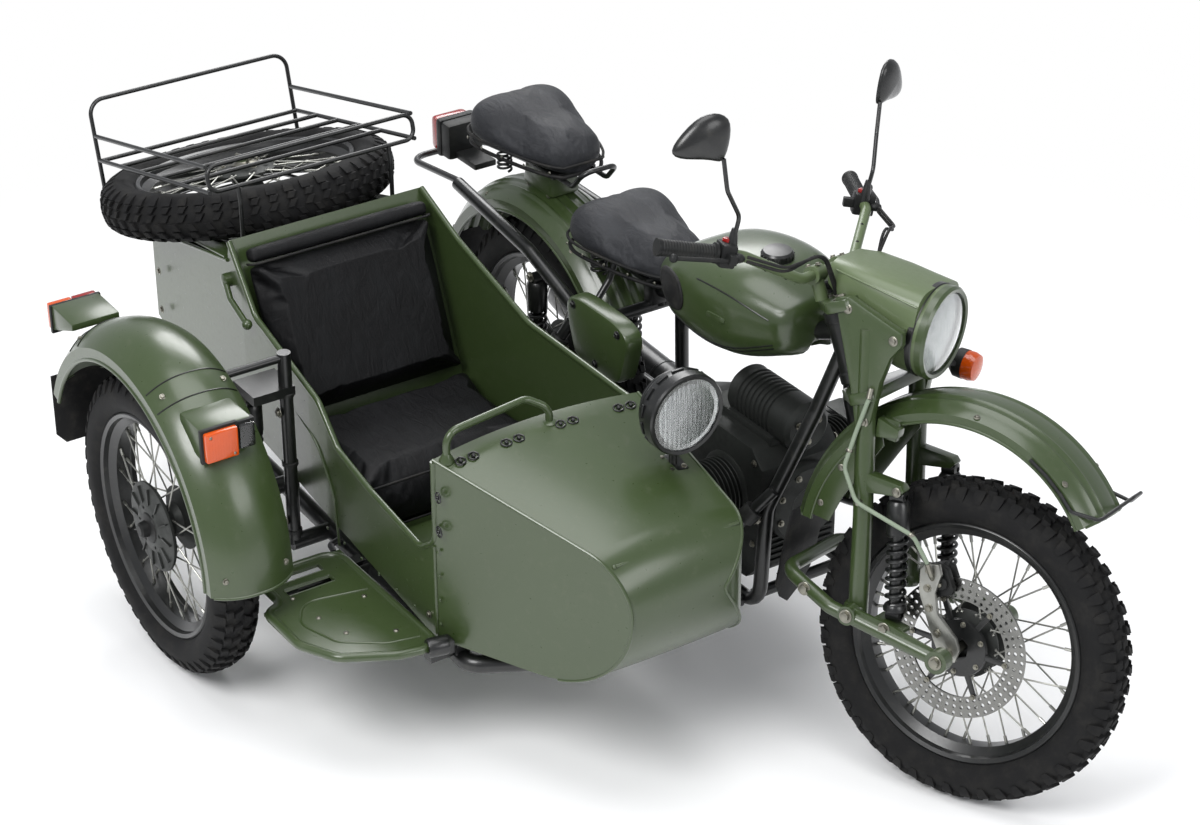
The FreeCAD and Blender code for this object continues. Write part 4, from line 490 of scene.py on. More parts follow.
def settle(form: Form, name: str, finish: "Look", berth: Berth, replaces: Sequence[str] = (),
           sharp_deg: float = 35.0) -> bpy.types.Object:
    """Make a finished piece of a form: placed, shaded, painted and riding on its body.

    Args:
        form: the mesh in its berth's millimetres.
        name: the piece's name.
        finish: what it is made of.
        berth: where it belongs.
        replaces: CAD nodes that it stands for.
        sharp_deg: edges sharper than this stay crisp.

    Returns:
        The piece.
    """
    mesh = form.mesh
    mesh.transform(berth.matrix)
    bmesh.ops.remove_doubles(mesh, verts=mesh.verts, dist=1e-6)
    bmesh.ops.dissolve_degenerate(mesh, dist=1e-7, edges=mesh.edges)
    bmesh.ops.recalc_face_normals(mesh, faces=mesh.faces)
    limit = radians(sharp_deg)
    for face in mesh.faces:
        face.smooth = True
    for edge in mesh.edges:
        edge.smooth = len(edge.link_faces) == 2 and edge.calc_face_angle() < limit
    data = bpy.data.meshes.new(name)
    mesh.to_mesh(data)
    mesh.free()
    data.materials.append(finish.value.material())
    piece = linked(name, data)
    if replaces:
        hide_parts(*replaces)
    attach(piece, berth.body)
    LOG.info("%s: %d faces", name, len(data.polygons))
    return piece


def coat(finish: "Look", *nodes: str) -> None:
    """Give CAD nodes whose shape is right their finish.

    Args:
        finish: what they are made of.
        nodes: names of the nodes.
    """
    for node in nodes:
        for place in frame["nodes"][node].material_slots:
            place.material = finish.value.material()


# ---------------------------------------------------------------- repeats

class Tree:
    """A Geometry Nodes tree under construction."""

    def __init__(self, name: str, sizes: Sequence[tuple[str, str]]) -> None:
        """Make the group with its named inputs.

        Args:
            name: of the tree.
            sizes: name and socket type of each input after the geometry.
        """
        self.group = bpy.data.node_groups.new(name, "GeometryNodeTree")
        ports = self.group.interface
        ports.new_socket("Geometry", in_out="INPUT", socket_type="NodeSocketGeometry")
        for title, kind in sizes:
            ports.new_socket(title, in_out="INPUT", socket_type=kind)
        ports.new_socket("Geometry", in_out="OUTPUT", socket_type="NodeSocketGeometry")
        self.inputs = self.add("NodeGroupInput")

    def add(self, kind: str, settings: dict | None = None, links: dict | None = None) -> bpy.types.Node:
        """Add a node with its settings, and the links or values of its inputs.

        Args:
            kind: type of the node.
            settings: its properties.
            links: value or socket for each input.

        Returns:
            The node.
        """
        node = self.group.nodes.new(kind)
        for key, value in (settings or {}).items():
            setattr(node, key, value)
        for key, value in (links or {}).items():
            socket = node.inputs[key]
            if isinstance(value, bpy.types.NodeSocket):
                self.group.links.new(value, socket)
            else:
                socket.default_value = value
        return node

    def finish(self, geometry: bpy.types.NodeSocket) -> bpy.types.GeometryNodeTree:
        """Close the tree: make the instances real and set their material.

        Args:
            geometry: what the tree has made.

        Returns:
            The tree.
        """
        real = self.add("GeometryNodeRealizeInstances", None, {"Geometry": geometry})
        painted = self.add("GeometryNodeSetMaterial", None, {
            "Geometry": real.outputs["Geometry"], "Material": self.inputs.outputs["Material"]})
        self.add("NodeGroupOutput", None, {"Geometry": painted.outputs["Geometry"]})
        return self.group


def row_tree() -> bpy.types.GeometryNodeTree:
    """Tree that repeats a source along a step and round a turn.

    Returns:
        The tree.
    """
    tree = Tree("repeat_in_a_row", (
        ("Source", "NodeSocketObject"), ("Count", "NodeSocketInt"), ("Step", "NodeSocketVector"),
        ("Turn", "NodeSocketVector"), ("Start", "NodeSocketVector"), ("Material", "NodeSocketMaterial")))
    ports = tree.inputs.outputs
    index = tree.add("GeometryNodeInputIndex").outputs[0]
    points = tree.add("GeometryNodePoints", None, {"Count": ports["Count"]}).outputs[0]
    place = tree.add("ShaderNodeVectorMath", {"operation": "SCALE"}, {0: ports["Step"], "Scale": index})
    placed = tree.add("GeometryNodeSetPosition", None, {"Geometry": points, "Position": place.outputs[0]})
    turn = tree.add("ShaderNodeVectorMath", {"operation": "SCALE"}, {0: ports["Turn"], "Scale": index})
    total = tree.add("ShaderNodeVectorMath", {"operation": "ADD"}, {0: turn.outputs[0], 1: ports["Start"]})
    rotation = tree.add("FunctionNodeEulerToRotation", None, {"Euler": total.outputs[0]})
    source = tree.add("GeometryNodeObjectInfo", None, {"Object": ports["Source"], "As Instance": True})
    spread = tree.add("GeometryNodeInstanceOnPoints", None, {
        "Points": placed.outputs[0], "Instance": source.outputs["Geometry"],
                                                             "Rotation": rotation.outputs[0]})
    return tree.finish(spread.outputs[0])


def stud_tree() -> bpy.types.GeometryNodeTree:
    """Tree that sets a source on each vertex, along the vertex's own direction and spun at random.

    Returns:
        The tree.
    """
    tree = Tree("stud_each_point", (
        ("Source", "NodeSocketObject"), ("Seed", "NodeSocketInt"), ("Spin", "NodeSocketFloat"),
        ("Material", "NodeSocketMaterial")))
    ports = tree.inputs.outputs
    facing = tree.add("GeometryNodeInputNamedAttribute", {"data_type": "FLOAT_VECTOR"}, {"Name": "facing"})
    upright = tree.add("FunctionNodeAlignRotationToVector", {"axis": "Z"}, {"Vector": facing.outputs[0]})
    chance = tree.add("FunctionNodeRandomValue", {"data_type": "FLOAT"},
                      {"Max": ports["Spin"], "Seed": ports["Seed"]})
    amount = next(socket for socket in chance.outputs if socket.enabled)
    spin = tree.add("ShaderNodeCombineXYZ", None, {"Z": amount})
    spin_turn = tree.add("FunctionNodeEulerToRotation", None, {"Euler": spin.outputs[0]})
    rotation = tree.add("FunctionNodeRotateRotation", {"rotation_space": "LOCAL"}, {
        "Rotation": upright.outputs[0], "Rotate By": spin_turn.outputs[0]})
    source = tree.add("GeometryNodeObjectInfo", None, {"Object": ports["Source"], "As Instance": True})
    spread = tree.add("GeometryNodeInstanceOnPoints", None, {
        "Points": ports["Geometry"], "Instance": source.outputs["Geometry"],
                                                             "Rotation": rotation.outputs[0]})
    return tree.finish(spread.outputs[0])


ROW_TREE = row_tree()
STUD_TREE = stud_tree()


def grown(base: bpy.types.Object, tree: bpy.types.GeometryNodeTree, source: Form, values: dict) -> Form:
    """Run a tree on a base object with a source form, and read the result back as a form.

    Args:
        base: object that carries the modifier; it is removed.
        tree: the tree to run.
        source: what is repeated.
        values: the other inputs, by name.

    Returns:
        The realized result.
    """
    mesh = bpy.data.meshes.new("source")
    bmesh.ops.recalc_face_normals(source.mesh, faces=source.mesh.faces)
    source.mesh.to_mesh(mesh)
    source.mesh.free()
    holder = linked("source", mesh)
    bpy.context.scene.collection.objects.link(base)
    modifier = base.modifiers.new("repeat", "NODES")
    modifier.node_group = tree
    identifiers = {item.name: item.identifier
                   for item in tree.interface.items_tree if item.in_out == "INPUT"}
    for title, value in {"Source": holder, **values}.items():
        modifier[identifiers[title]] = value
    form = Form()
    form.mesh.from_mesh(evaluated_mesh(base))
    for spare in (base, holder):
        bpy.data.objects.remove(spare)
    return form


def row(source: Form, count: int, step: Point = (0.0, 0.0, 0.0), turn: Point = (0.0, 0.0, 0.0),
        start: Point = (0.0, 0.0, 0.0)) -> Form:
    """Repeat a source in a row or round an axis.

    Args:
        source: what is repeated.
        count: how many.
        step: move from one to the next.
        turn: turn from one to the next, in degrees about X, Y and Z.
        start: turn of the first, in degrees.

    Returns:
        All of them as one form.
    """
    base = bpy.data.objects.new("row", bpy.data.meshes.new("row"))
    return grown(base, ROW_TREE, source, {
        "Count": count, "Step": Vector(step), "Turn": Vector([radians(v) for v in turn]),
        "Start": Vector([radians(v) for v in start])})


def studs(source: Form, places: Sequence[tuple[Point, Point]], spin: float = 6.28, seed: int = 7) -> Form:
    """Set a source on places, each a point and the direction that its Z takes.

    Args:
        source: what is set, standing up along Z.
        places: point and direction of each.
        spin: how far each may be spun, in radians.
        seed: of the spin.

    Returns:
        All of them as one form.
    """
    mesh = bpy.data.meshes.new("places")
    mesh.from_pydata([tuple(point) for point, _ in places], [], [])
    facing = mesh.attributes.new("facing", "FLOAT_VECTOR", "POINT")
    for index, (_, direction) in enumerate(places):
        facing.data[index].vector = Vector(direction).normalized()
    return grown(bpy.data.objects.new("places", mesh), STUD_TREE, source, {"Seed": seed, "Spin": spin})


def bolt(radius: float, height: float) -> Form:
    """Hexagon head on a round washer, standing up along Z.

    Args:
        radius: of the head, to its corners.
        height: of the top over the seat.

    Returns:
        The bolt.
    """
    form = Form()
    form.lathe([(radius * 1.45, 0.0), (radius * 1.45, height * 0.22), (radius * 1.35, height * 0.3),
                (0.0, height * 0.3)], 20, axis=UP)
    hexagon = [(radius * cos(radians(60 * k)), radius * sin(radians(60 * k))) for k in range(6)]
    return form.slab(hexagon, height * 0.25, height, "Z", radius * 0.12)


def rivet(radius: float, height: float) -> Form:
    """Low round head, standing up along Z.

    Args:
        radius: of the head.
        height: of its top.

    Returns:
        The head.
    """
    return Form().lathe([(radius, 0.0), (radius * 0.9, height * 0.5), (radius * 0.55, height * 0.9),
                         (0.0, height)], 14, axis=UP)


# ---------------------------------------------------------------- shaders

class Socket:
    """Output of a shader node, with arithmetic."""

    def __init__(self, graph: "Graph", socket: bpy.types.NodeSocket) -> None:
        """Wrap one output."""
        self.graph = graph
        self.socket = socket

    def _math(self, operation: str, *others: "Socket | float") -> "Socket":
        """Socket of a maths node on this and others."""
        node = self.graph.node("ShaderNodeMath", {"operation": operation}, dict(enumerate((self, *others))))
        return Socket(self.graph, node.outputs[0])

    def __add__(self, other: "Socket | float") -> "Socket":
        """Sum."""
        return self._math("ADD", other)

    __radd__ = __add__

    def __mul__(self, other: "Socket | float") -> "Socket":
        """Product."""
        return self._math("MULTIPLY", other)

    __rmul__ = __mul__

    def __sub__(self, other: "Socket | float") -> "Socket":
        """Difference."""
        return self._math("SUBTRACT", other)

    def __rsub__(self, other: float) -> "Socket":
        """Difference from a number."""
        node = self.graph.node("ShaderNodeMath", {"operation": "SUBTRACT"}, {0: other, 1: self})
        return Socket(self.graph, node.outputs[0])

    def __truediv__(self, other: "Socket | float") -> "Socket":
        """Quotient."""
        return self._math("DIVIDE", other)

    def __pow__(self, other: "Socket | float") -> "Socket":
        """Power."""
        return self._math("POWER", other)

    def __neg__(self) -> "Socket":
        """This with its sign turned."""
        return self._math("MULTIPLY", -1.0)

    def lower(self, other: "Socket | float") -> "Socket":
        """The lower of the two."""
        return self._math("MINIMUM", other)

    def higher(self, other: "Socket | float") -> "Socket":
        """The higher of the two."""
        return self._math("MAXIMUM", other)

    def size(self) -> "Socket":
        """Size without sign."""
        return self._math("ABSOLUTE")

    def fraction(self) -> "Socket":
        """What is past the last whole number."""
        return self._math("FRACT")

    def held(self) -> "Socket":
        """Held between 0 and 1."""
        return self.higher(0.0).lower(1.0)

    def between(self, start: float, end: float, low: float = 0.0, high: float = 1.0) -> "Socket":
        """Smooth step from low to high as this goes from start to end.

        Args:
            start: where it leaves low.
            end: where it reaches high.
            low: value before.
            high: value after.

        Returns:
            The step.
        """
        node = self.graph.node("ShaderNodeMapRange", {"interpolation_type": "SMOOTHSTEP"}, {
            "Value": self, "From Min": start, "From Max": end, "To Min": low, "To Max": high})
        return Socket(self.graph, node.outputs[0])


class Graph:
    """Node tree of one material."""

    def __init__(self, name: str) -> None:
        """Make the material with an empty tree.

        Args:
            name: of the material.
        """
        self.material = bpy.data.materials.new(name)
        self.material.use_nodes = True
        self.tree = self.material.node_tree
        self.tree.nodes.clear()
        self.place = self.node("ShaderNodeTexCoord").outputs["Object"]

    def node(self, kind: str, settings: dict | None = None, inputs: dict | None = None) -> bpy.types.Node:
        """Add a node.

        Args:
            kind: type of the node.
            settings: its properties.
            inputs: value, wrapped socket or node socket for each input.

        Returns:
            The node.
        """
        node = self.tree.nodes.new(kind)
        for key, value in (settings or {}).items():
            setattr(node, key, value)
        for key, value in (inputs or {}).items():
            source = value.socket if isinstance(value, Socket) else value
            if isinstance(source, bpy.types.NodeSocket):
                self.tree.links.new(source, node.inputs[key])
            else:
                node.inputs[key].default_value = source
        return node

    def axis(self, letter: str) -> Socket:
        """One object coordinate, in metres."""
        return Socket(self, self.node("ShaderNodeSeparateXYZ", None, {0: self.place}).outputs[letter])

    def noise(self, scale: float, detail: float = 3.0, rough: float = 0.5, stretch: Point = (1, 1, 1),
              warp: float = 0.0) -> Socket:
        """Fractal noise between 0 and 1, by scale per metre.

        Args:
            scale: waves per metre.
            detail: octaves.
            rough: weight of each next octave.
            stretch: scale along X, Y and Z.
            warp: distortion.

        Returns:
            The noise.
        """
        spread = self.node("ShaderNodeMapping", None, {"Vector": self.place, "Scale": tuple(stretch)})
        made = self.node("ShaderNodeTexNoise", None, {
            "Vector": spread.outputs[0], "Scale": scale, "Detail": detail, "Roughness": rough,
                                                      "Distortion": warp})
        return Socket(self, made.outputs[0])

    def cells(self, scale: float, feature: str = "F1", randomness: float = 1.0) -> Socket:
        """Distance in a field of cells.

        Args:
            scale: cells per metre.
            feature: which distance.
            randomness: of the cells' places.

        Returns:
            The distance.
        """
        made = self.node("ShaderNodeTexVoronoi", {"feature": feature}, {
            "Vector": self.place, "Scale": scale, "Randomness": randomness})
        return Socket(self, made.outputs["Distance"])

    def mix(self, share: Socket | float, first: object, second: object,
            mode: str = "MIX") -> bpy.types.NodeSocket:
        """Colour between two.

        Args:
            share: share of the second.
            first: colour.
            second: colour.
            mode: how they blend.

        Returns:
            The colour.
        """
        made = self.node("ShaderNodeMix", {"data_type": "RGBA", "blend_type": mode})
        for key, value in ((0, share), (6, first), (7, second)):
            source = value.socket if isinstance(value, Socket) else value
            if isinstance(source, bpy.types.NodeSocket):
                self.tree.links.new(source, made.inputs[key])
            else:
                made.inputs[key].default_value = (*source, 1.0) if isinstance(source, tuple) else source
        return made.outputs[2]

    def bump(self, height: Socket, depth: float, strength: float = 1.0) -> bpy.types.NodeSocket:
        """Normal of a height field.

        Args:
            height: the field, from 0 to 1.
            depth: how deep it is, in metres.
            strength: share of it that shows.

        Returns:
            The normal.
        """
        made = self.node("ShaderNodeBump", None, {"Height": height, "Distance": depth, "Strength": strength})
        return made.outputs[0]

    def close(self, shader: bpy.types.NodeSocket) -> bpy.types.Material:
        """Send a shader to the output."""
        self.node("ShaderNodeOutputMaterial", None, {"Surface": shader})
        return self.material

    def principled(self, **inputs: object) -> bpy.types.NodeSocket:
        """Principled shader, its inputs named with underscores for spaces.

        Args:
            inputs: value, wrapped socket or node socket of each.

        Returns:
            Its output.
        """
        values: dict[str, object] = {}
        for key, value in inputs.items():
            title = key.replace("_", " ")
            values[title] = (*value, 1.0) if isinstance(value, tuple) and len(value) == 3 else value
        return self.node("ShaderNodeBsdfPrincipled", None, values).outputs[0]


def tone(red: int, green: int, blue: int) -> tuple[float, float, float]:
    """Linear colour of a display colour.

    Args:
        red: from 0 to 255.
        green: from 0 to 255.
        blue: from 0 to 255.

    Returns:
        The three linear shares.
    """
    linear = [(v / 255.0 / 12.92) if v <= 10 else ((v / 255.0 + 0.055) / 1.055) ** 2.4
              for v in (red, green, blue)]
    return (linear[0], linear[1], linear[2])


@dataclass(frozen=True)
class Finish:
    """What a piece is made of: the frame's material slot and a procedural shader."""

    name: str
    slot: str

    def build(self, graph: Graph) -> bpy.types.Material:
        """Fill the graph."""
        return graph.close(graph.principled(Base_Color=(0.5, 0.5, 0.5)))

    def material(self) -> bpy.types.Material:
        """The material, made once."""
        return bpy.data.materials.get(self.name) or self.build(Graph(self.name))


@dataclass(frozen=True)
class Paint(Finish):
    """Paint with a fine orange-peel, patches of dust and a slow change of shade."""

    colour: tuple[float, float, float] = (0.1, 0.1, 0.1)
    roughness: float = 0.42
    coat: float = 0.12
    grain: float = 0.1
    dust: tuple[float, float, float] = (0.2, 0.19, 0.15)
    dust_share: float = 0.07
    flake: float = 0.0

    def build(self, graph: Graph) -> bpy.types.Material:
        """Fill the graph.

        Args:
            graph: the material's empty tree.

        Returns:
            The material.
        """
        slow = graph.noise(7.0, 4.0, 0.55)
        fine = graph.noise(900.0, 2.0, 0.5)
        scuff = graph.noise(46.0, 6.0, 0.7).between(0.52, 0.74)
        shade = (slow - 0.5) * self.grain + 1.0 + (fine - 0.5) * (self.grain * 0.5)
        grey = graph.node("ShaderNodeCombineColor", None, {0: shade, 1: shade, 2: shade}).outputs[0]
        base = graph.mix(1.0, self.colour, grey, "MULTIPLY")
        dusty = graph.mix(scuff * self.dust_share, base, self.dust)
        return graph.close(graph.principled(
            Base_Color=dusty, Metallic=self.flake, Coat_Weight=self.coat, Coat_Roughness=0.18,
            Roughness=(graph.noise(120.0, 3.0) - 0.5) * 0.12 + scuff * 0.1 + self.roughness,
            Normal=graph.bump(graph.noise(620.0, 2.0, 0.4), 0.00012, 0.25)))


@dataclass(frozen=True)
class Metal(Finish):
    """Bare metal with drawn or cast grain."""

    colour: tuple[float, float, float] = (0.6, 0.6, 0.6)
    roughness: float = 0.3
    stretch: tuple[float, float, float] = (1.0, 1.0, 1.0)
    grain_scale: float = 300.0
    grain_depth: float = 0.00012
    stain: float = 0.25
    metallic: float = 1.0

    def build(self, graph: Graph) -> bpy.types.Material:
        """Fill the graph.

        Args:
            graph: the material's empty tree.

        Returns:
            The material.
        """
        grain = graph.noise(self.grain_scale, 4.0, 0.6, self.stretch)
        stain = graph.noise(18.0, 6.0, 0.65).between(0.45, 0.7)
        base = graph.mix(stain * self.stain, self.colour, tuple(v * 0.45 for v in self.colour))
        return graph.close(graph.principled(
            Base_Color=base, Metallic=self.metallic,
            Roughness=(grain - 0.5) * 0.2 + stain * 0.12 + self.roughness,
            Normal=graph.bump(grain, self.grain_depth, 0.5)))


@dataclass(frozen=True)
class Rubber(Finish):
    """Rubber or dull plastic with a fine pebble and a bloom of dust."""

    colour: tuple[float, float, float] = (0.02, 0.02, 0.02)
    roughness: float = 0.75
    pebble: float = 1400.0
    depth: float = 0.0002
    dust: tuple[float, float, float] = (0.12, 0.11, 0.09)
    dust_share: float = 0.16

    def build(self, graph: Graph) -> bpy.types.Material:
        """Fill the graph.

        Args:
            graph: the material's empty tree.

        Returns:
            The material.
        """
        pebble = graph.noise(self.pebble, 2.0, 0.5)
        bloom = graph.noise(24.0, 6.0, 0.7).between(0.42, 0.75)
        base = graph.mix(bloom * self.dust_share, self.colour, self.dust)
        return graph.close(graph.principled(
            Base_Color=base, Specular_IOR_Level=0.28, Roughness=(pebble - 0.5) * 0.15 + self.roughness,
            Normal=graph.bump(pebble, self.depth, 0.4)))


@dataclass(frozen=True)
class Vinyl(Finish):
    """Upholstery vinyl: a cell grain, soft creases and patches of wear."""

    colour: tuple[float, float, float] = (0.06, 0.065, 0.065)
    worn: tuple[float, float, float] = (0.12, 0.125, 0.125)
    roughness: float = 0.52
    crease: float = 0.0016

    def build(self, graph: Graph) -> bpy.types.Material:
        """Fill the graph.

        Args:
            graph: the material's empty tree.

        Returns:
            The material.
        """
        cells = graph.cells(760.0, "DISTANCE_TO_EDGE")
        fold = graph.noise(16.0, 4.0, 0.55, (1.0, 2.2, 1.0), 1.2)
        wear = graph.noise(11.0, 5.0, 0.6).between(0.42, 0.7)
        first = graph.node("ShaderNodeBump", None,
                           {"Height": fold, "Distance": self.crease * 4.0, "Strength": 0.35})
        second = graph.node("ShaderNodeBump", None, {
            "Height": cells.between(0.0, 0.12), "Distance": 0.00025, "Strength": 0.5,
                                                     "Normal": first.outputs[0]})
        return graph.close(graph.principled(
            Base_Color=graph.mix(wear * 0.7, self.colour, self.worn), Specular_IOR_Level=0.25,
            Roughness=(fold - 0.5) * 0.2 + wear * 0.08 + self.roughness, Normal=second.outputs[0]))


@dataclass(frozen=True)
class Lens(Finish):
    """Coloured or clear moulded lens with prisms on its inner face."""

    colour: tuple[float, float, float] = (0.9, 0.9, 0.9)
    clear: float = 0.0
    prisms: float = 160.0
    depth: float = 0.0012
    across: str = "Y"

    def build(self, graph: Graph) -> bpy.types.Material:
        """Fill the graph.

        Args:
            graph: the material's empty tree.

        Returns:
            The material.
        """
        ridge = (graph.axis(self.across) * self.prisms).fraction().between(0.0, 1.0)
        dirt = graph.noise(60.0, 5.0, 0.7).between(0.5, 0.8)
        surface = graph.principled(
            Base_Color=graph.mix(dirt * 0.2, self.colour, tuple(v * 0.5 for v in self.colour)),
            Roughness=dirt * 0.15 + 0.08, Transmission_Weight=self.clear, IOR=1.45, Coat_Weight=0.5,
            Normal=graph.bump(ridge + dirt * 0.1, self.depth, 0.5))
        return graph.close(surface)


@dataclass(frozen=True)
class Silver(Finish):
    """Bright reflector behind a lens."""

    def build(self, graph: Graph) -> bpy.types.Material:
        """Fill the graph.

        Args:
            graph: the material's empty tree.

        Returns:
            The material.
        """
        rings = graph.noise(45.0, 2.0)
        return graph.close(graph.principled(
            Base_Color=graph.mix(rings, (0.62, 0.62, 0.61), (0.36, 0.37, 0.37)), Metallic=1.0,
            Roughness=rings * 0.12 + 0.1))


class Look(Enum):
    """Every finish on the vehicle."""

    GREEN = Paint("green paint", "green_paint", colour=tone(52, 66, 36), roughness=0.3, coat=0.4)
    # Paler copy of the green paint: the handlebar's own sage paint, and on the headlight nacelle a painted
    # sheen standing in for the light that it catches.
    SAGE = Paint("sage paint and painted sheen", "sage_paint", colour=tone(82, 96, 64), roughness=0.4, coat=0.2)
    BLACK = Paint("black coat", "black_paint", colour=tone(18, 19, 19), roughness=0.33, coat=0.2, grain=0.2)
    SATIN = Paint("satin black", "black_paint", colour=tone(24, 25, 24), roughness=0.52, coat=0.0,
                  grain=0.25)
    CASTING = Metal("dark casting", "dark_alloy", colour=tone(54, 56, 54), roughness=0.5, grain_scale=420.0,
                    grain_depth=0.0003, metallic=0.55, stain=0.5)
    ALLOY = Metal("bright alloy", "bright_alloy", colour=tone(160, 160, 154), roughness=0.34,
                  grain_scale=260.0)
    STEEL = Metal("bright steel", "bright_steel", colour=tone(122, 122, 119), roughness=0.24,
                  grain_scale=90.0, stretch=(1.0, 6.0, 1.0), grain_depth=0.00008, stain=0.15)
    ZINC = Metal("zinc fastener", "bright_steel", colour=tone(140, 138, 128), roughness=0.38)
    TYRE = Rubber("tyre rubber", "tyre", colour=tone(13, 13, 14), roughness=0.78, pebble=700.0,
                  dust_share=0.08)
    RUBBER = Rubber("black rubber", "black_rubber", colour=tone(19, 19, 20), roughness=0.66)
    PLASTIC = Rubber("black plastic", "black_plastic", colour=tone(23, 24, 24), roughness=0.5,
                     dust_share=0.08)
    HOSE = Rubber("hose cover", "black_rubber", colour=tone(128, 140, 122), roughness=0.6, dust_share=0.2)
    SADDLE = Vinyl("grey vinyl", "grey_vinyl", colour=tone(40, 41, 44), worn=tone(58, 59, 62), crease=0.003)
    SEAT = Vinyl("black vinyl", "black_vinyl", colour=tone(10, 10, 12), worn=tone(18, 19, 21),
                 roughness=0.48)
    GLASS = Lens("clear glass", "clear_glass", colour=(0.9, 0.92, 0.92), clear=1.0, prisms=90.0)
    AMBER = Lens("amber lens", "amber_plastic", colour=tone(206, 78, 6), clear=0.12, depth=0.0008)
    RED = Lens("red lens", "red_plastic", colour=tone(150, 18, 14), clear=0.2, depth=0.0008)
    SILVER = Silver("reflector", "bright_alloy")
    MIRROR = Metal("mirror silver", "bright_alloy", colour=tone(206, 208, 208), roughness=0.06,
                   grain_scale=60.0, grain_depth=0.000004, stain=0.03)


# ---------------------------------------------------------------- shared shapes

def aimed(start: Point, end: Point) -> Matrix:
    """Matrix that takes Z from the origin to the run from start to end."""
    way = (Vector(end) - Vector(start)).normalized()
    return Matrix.Translation(Vector(start)) @ way.to_track_quat("Z", "Y").to_matrix().to_4x4()


def helix(radius: float, wire: float, length: float, turns: float, steps: int = 16) -> Form:
    """Coil spring standing up along Z.

    Args:
        radius: of the wire's middle line.
        wire: radius of the wire.
        length: over its ends.
        turns: how many.
        steps: straight pieces to a turn.

    Returns:
        The coil.
    """
    count = int(turns * steps)
    points = []
    for index in range(count + 1):
        angle = 2.0 * pi * index / steps
        points.append((radius * cos(angle), radius * sin(angle), wire + (length - 2 * wire) * index / count))
    return Form().tube(points, wire, 0.0, 10)


@dataclass
class Guard:
    """Curved wheel guard: a crowned top, turned-down sides, pressed ribs and rolled edges."""

    centre: tuple[float, float]
    radius: float
    half_width: float
    drop: float
    angles: tuple[float, float]
    middle_y: float = 0.0
    ribs: tuple[float, ...] = ()
    rib_half: float = 5.0
    rib_height: float = 3.0
    sheet: float = 2.6
    bead: float = 3.6

    def rise(self, share: float) -> float:
        """Radius of the outer skin at a share of the half width.

        Args:
            share: place across, from -1 to 1.

        Returns:
            The radius.
        """
        shoulder = self.radius - self.drop * 0.6
        bow = 1.0 - abs(share) ** 2.4
        lift = sum(self.rib_height * max(0.0,
                                         1.0 - ((abs(share * self.half_width) - rib) / self.rib_half) ** 2)
                   for rib in self.ribs)
        return shoulder + (self.radius - shoulder) * bow + lift

    def at(self, share: float, turn: float, lift: float = 0.0) -> Vector:
        """Point on the outer skin: share of the half width, angle in degrees and height above it."""
        return spot(*self.centre, turn, self.rise(share) + lift, self.middle_y + share * self.half_width)

    def out(self, turn: float) -> Vector:
        """Direction straight out of the crown at an angle."""
        return spot(0.0, 0.0, turn, 1.0)

    def form(self, steps: int = 64, across: int = 36) -> Form:
        """Skin of the guard with its rolled edges.

        Args:
            steps: pieces along.
            across: pieces across.

        Returns:
            The skin.
        """
        low = self.radius - self.drop
        shares = [-1.0 + 2.0 * index / across for index in range(across + 1)]
        outer = [(share * self.half_width, self.rise(share)) for share in shares]
        outer = [(-self.half_width, low)] + outer + [(self.half_width, low)]
        inner = [(y * (1.0 - self.sheet / self.half_width),
                  r - (self.sheet if abs(y) < self.half_width - 0.01 else 0.0)) for y, r in outer]
        inner[0], inner[-1] = (-self.half_width + self.sheet, low), (self.half_width - self.sheet, low)
        inner[1] = (-self.half_width + self.sheet, outer[1][1] - self.sheet)
        inner[-2] = (self.half_width - self.sheet, outer[-2][1] - self.sheet)
        section = outer + inner[::-1]
        turns = [blend(*self.angles, index / steps) for index in range(steps + 1)]
        form = Form().skin([[spot(*self.centre, t, r, self.middle_y + y) for y, r in section]
                            for t in turns])
        for side in SIDES:
            edge = [spot(*self.centre, t, low, self.middle_y + side * (self.half_width - 1.0))
                    for t in turns]
            form.tube(edge, self.bead, 0.0, 10)
        for turn in self.angles:
            lip = [spot(*self.centre, turn, self.rise(share) - 1.0, self.middle_y + share * self.half_width)
                   for share in shares[1:-1]]
            form.tube(lip, self.bead * 0.8, 0.0, 8)
        return form


SIDECAR_GUARD = Guard((185.0, 385.0), 418.0, 96.0, 66.0, (0.0, 158.0), middle_y=SIDECAR_Y, bead=4.6)


@dataclass
class Damper:
    """Coil-over unit between two eyes."""

    start: tuple[float, float, float]
    end: tuple[float, float, float]
    radius: float = 24.0
    turns: float = 8.0
    cover: float = 0.3

    def form(self) -> Form:
        """Body, spring, cover and eyes, in place.

        Returns:
            All of it in one form.
        """
        length = (Vector(self.end) - Vector(self.start)).length
        split = length * (1.0 - self.cover)
        form = Form().lathe([(0.0, 6.0), (13.0, 6.0), (13.0, split), (9.0, split), (9.0, length - 6.0),
                             (0.0, length - 6.0)], 28, axis=UP)
        form.lathe([(0.0, split - 4.0), (self.radius, split - 4.0), (self.radius, length - 22.0),
                    (self.radius - 5.0, length - 14.0), (0.0, length - 14.0)], 36, axis=UP)
        form.lathe([(0.0, 16.0), (self.radius, 16.0), (self.radius, 24.0), (self.radius - 4.0, 30.0),
                    (0.0, 30.0)], 36, axis=UP)
        spring = helix(self.radius - 5.0, 4.0, split - 28.0, self.turns)
        spring.mesh.transform(Matrix.Translation((0, 0, 26.0)))
        joined(form, spring)
        for place in (6.0, length - 6.0):
            form.lathe([(14.0, -15.0), (14.0, 15.0), (6.0, 17.0), (6.0, -17.0)], 24, (0, 0, place), LEFT,
                       True)
        return form.turned(aimed(self.start, self.end))


def joined(form: Form, *others: Form) -> Form:
    """Take other forms into one.

    Args:
        form: what takes them in.
        others: what is taken in, and used up.

    Returns:
        The first form.
    """
    for other in others:
        form.join(other.mesh)
    return form


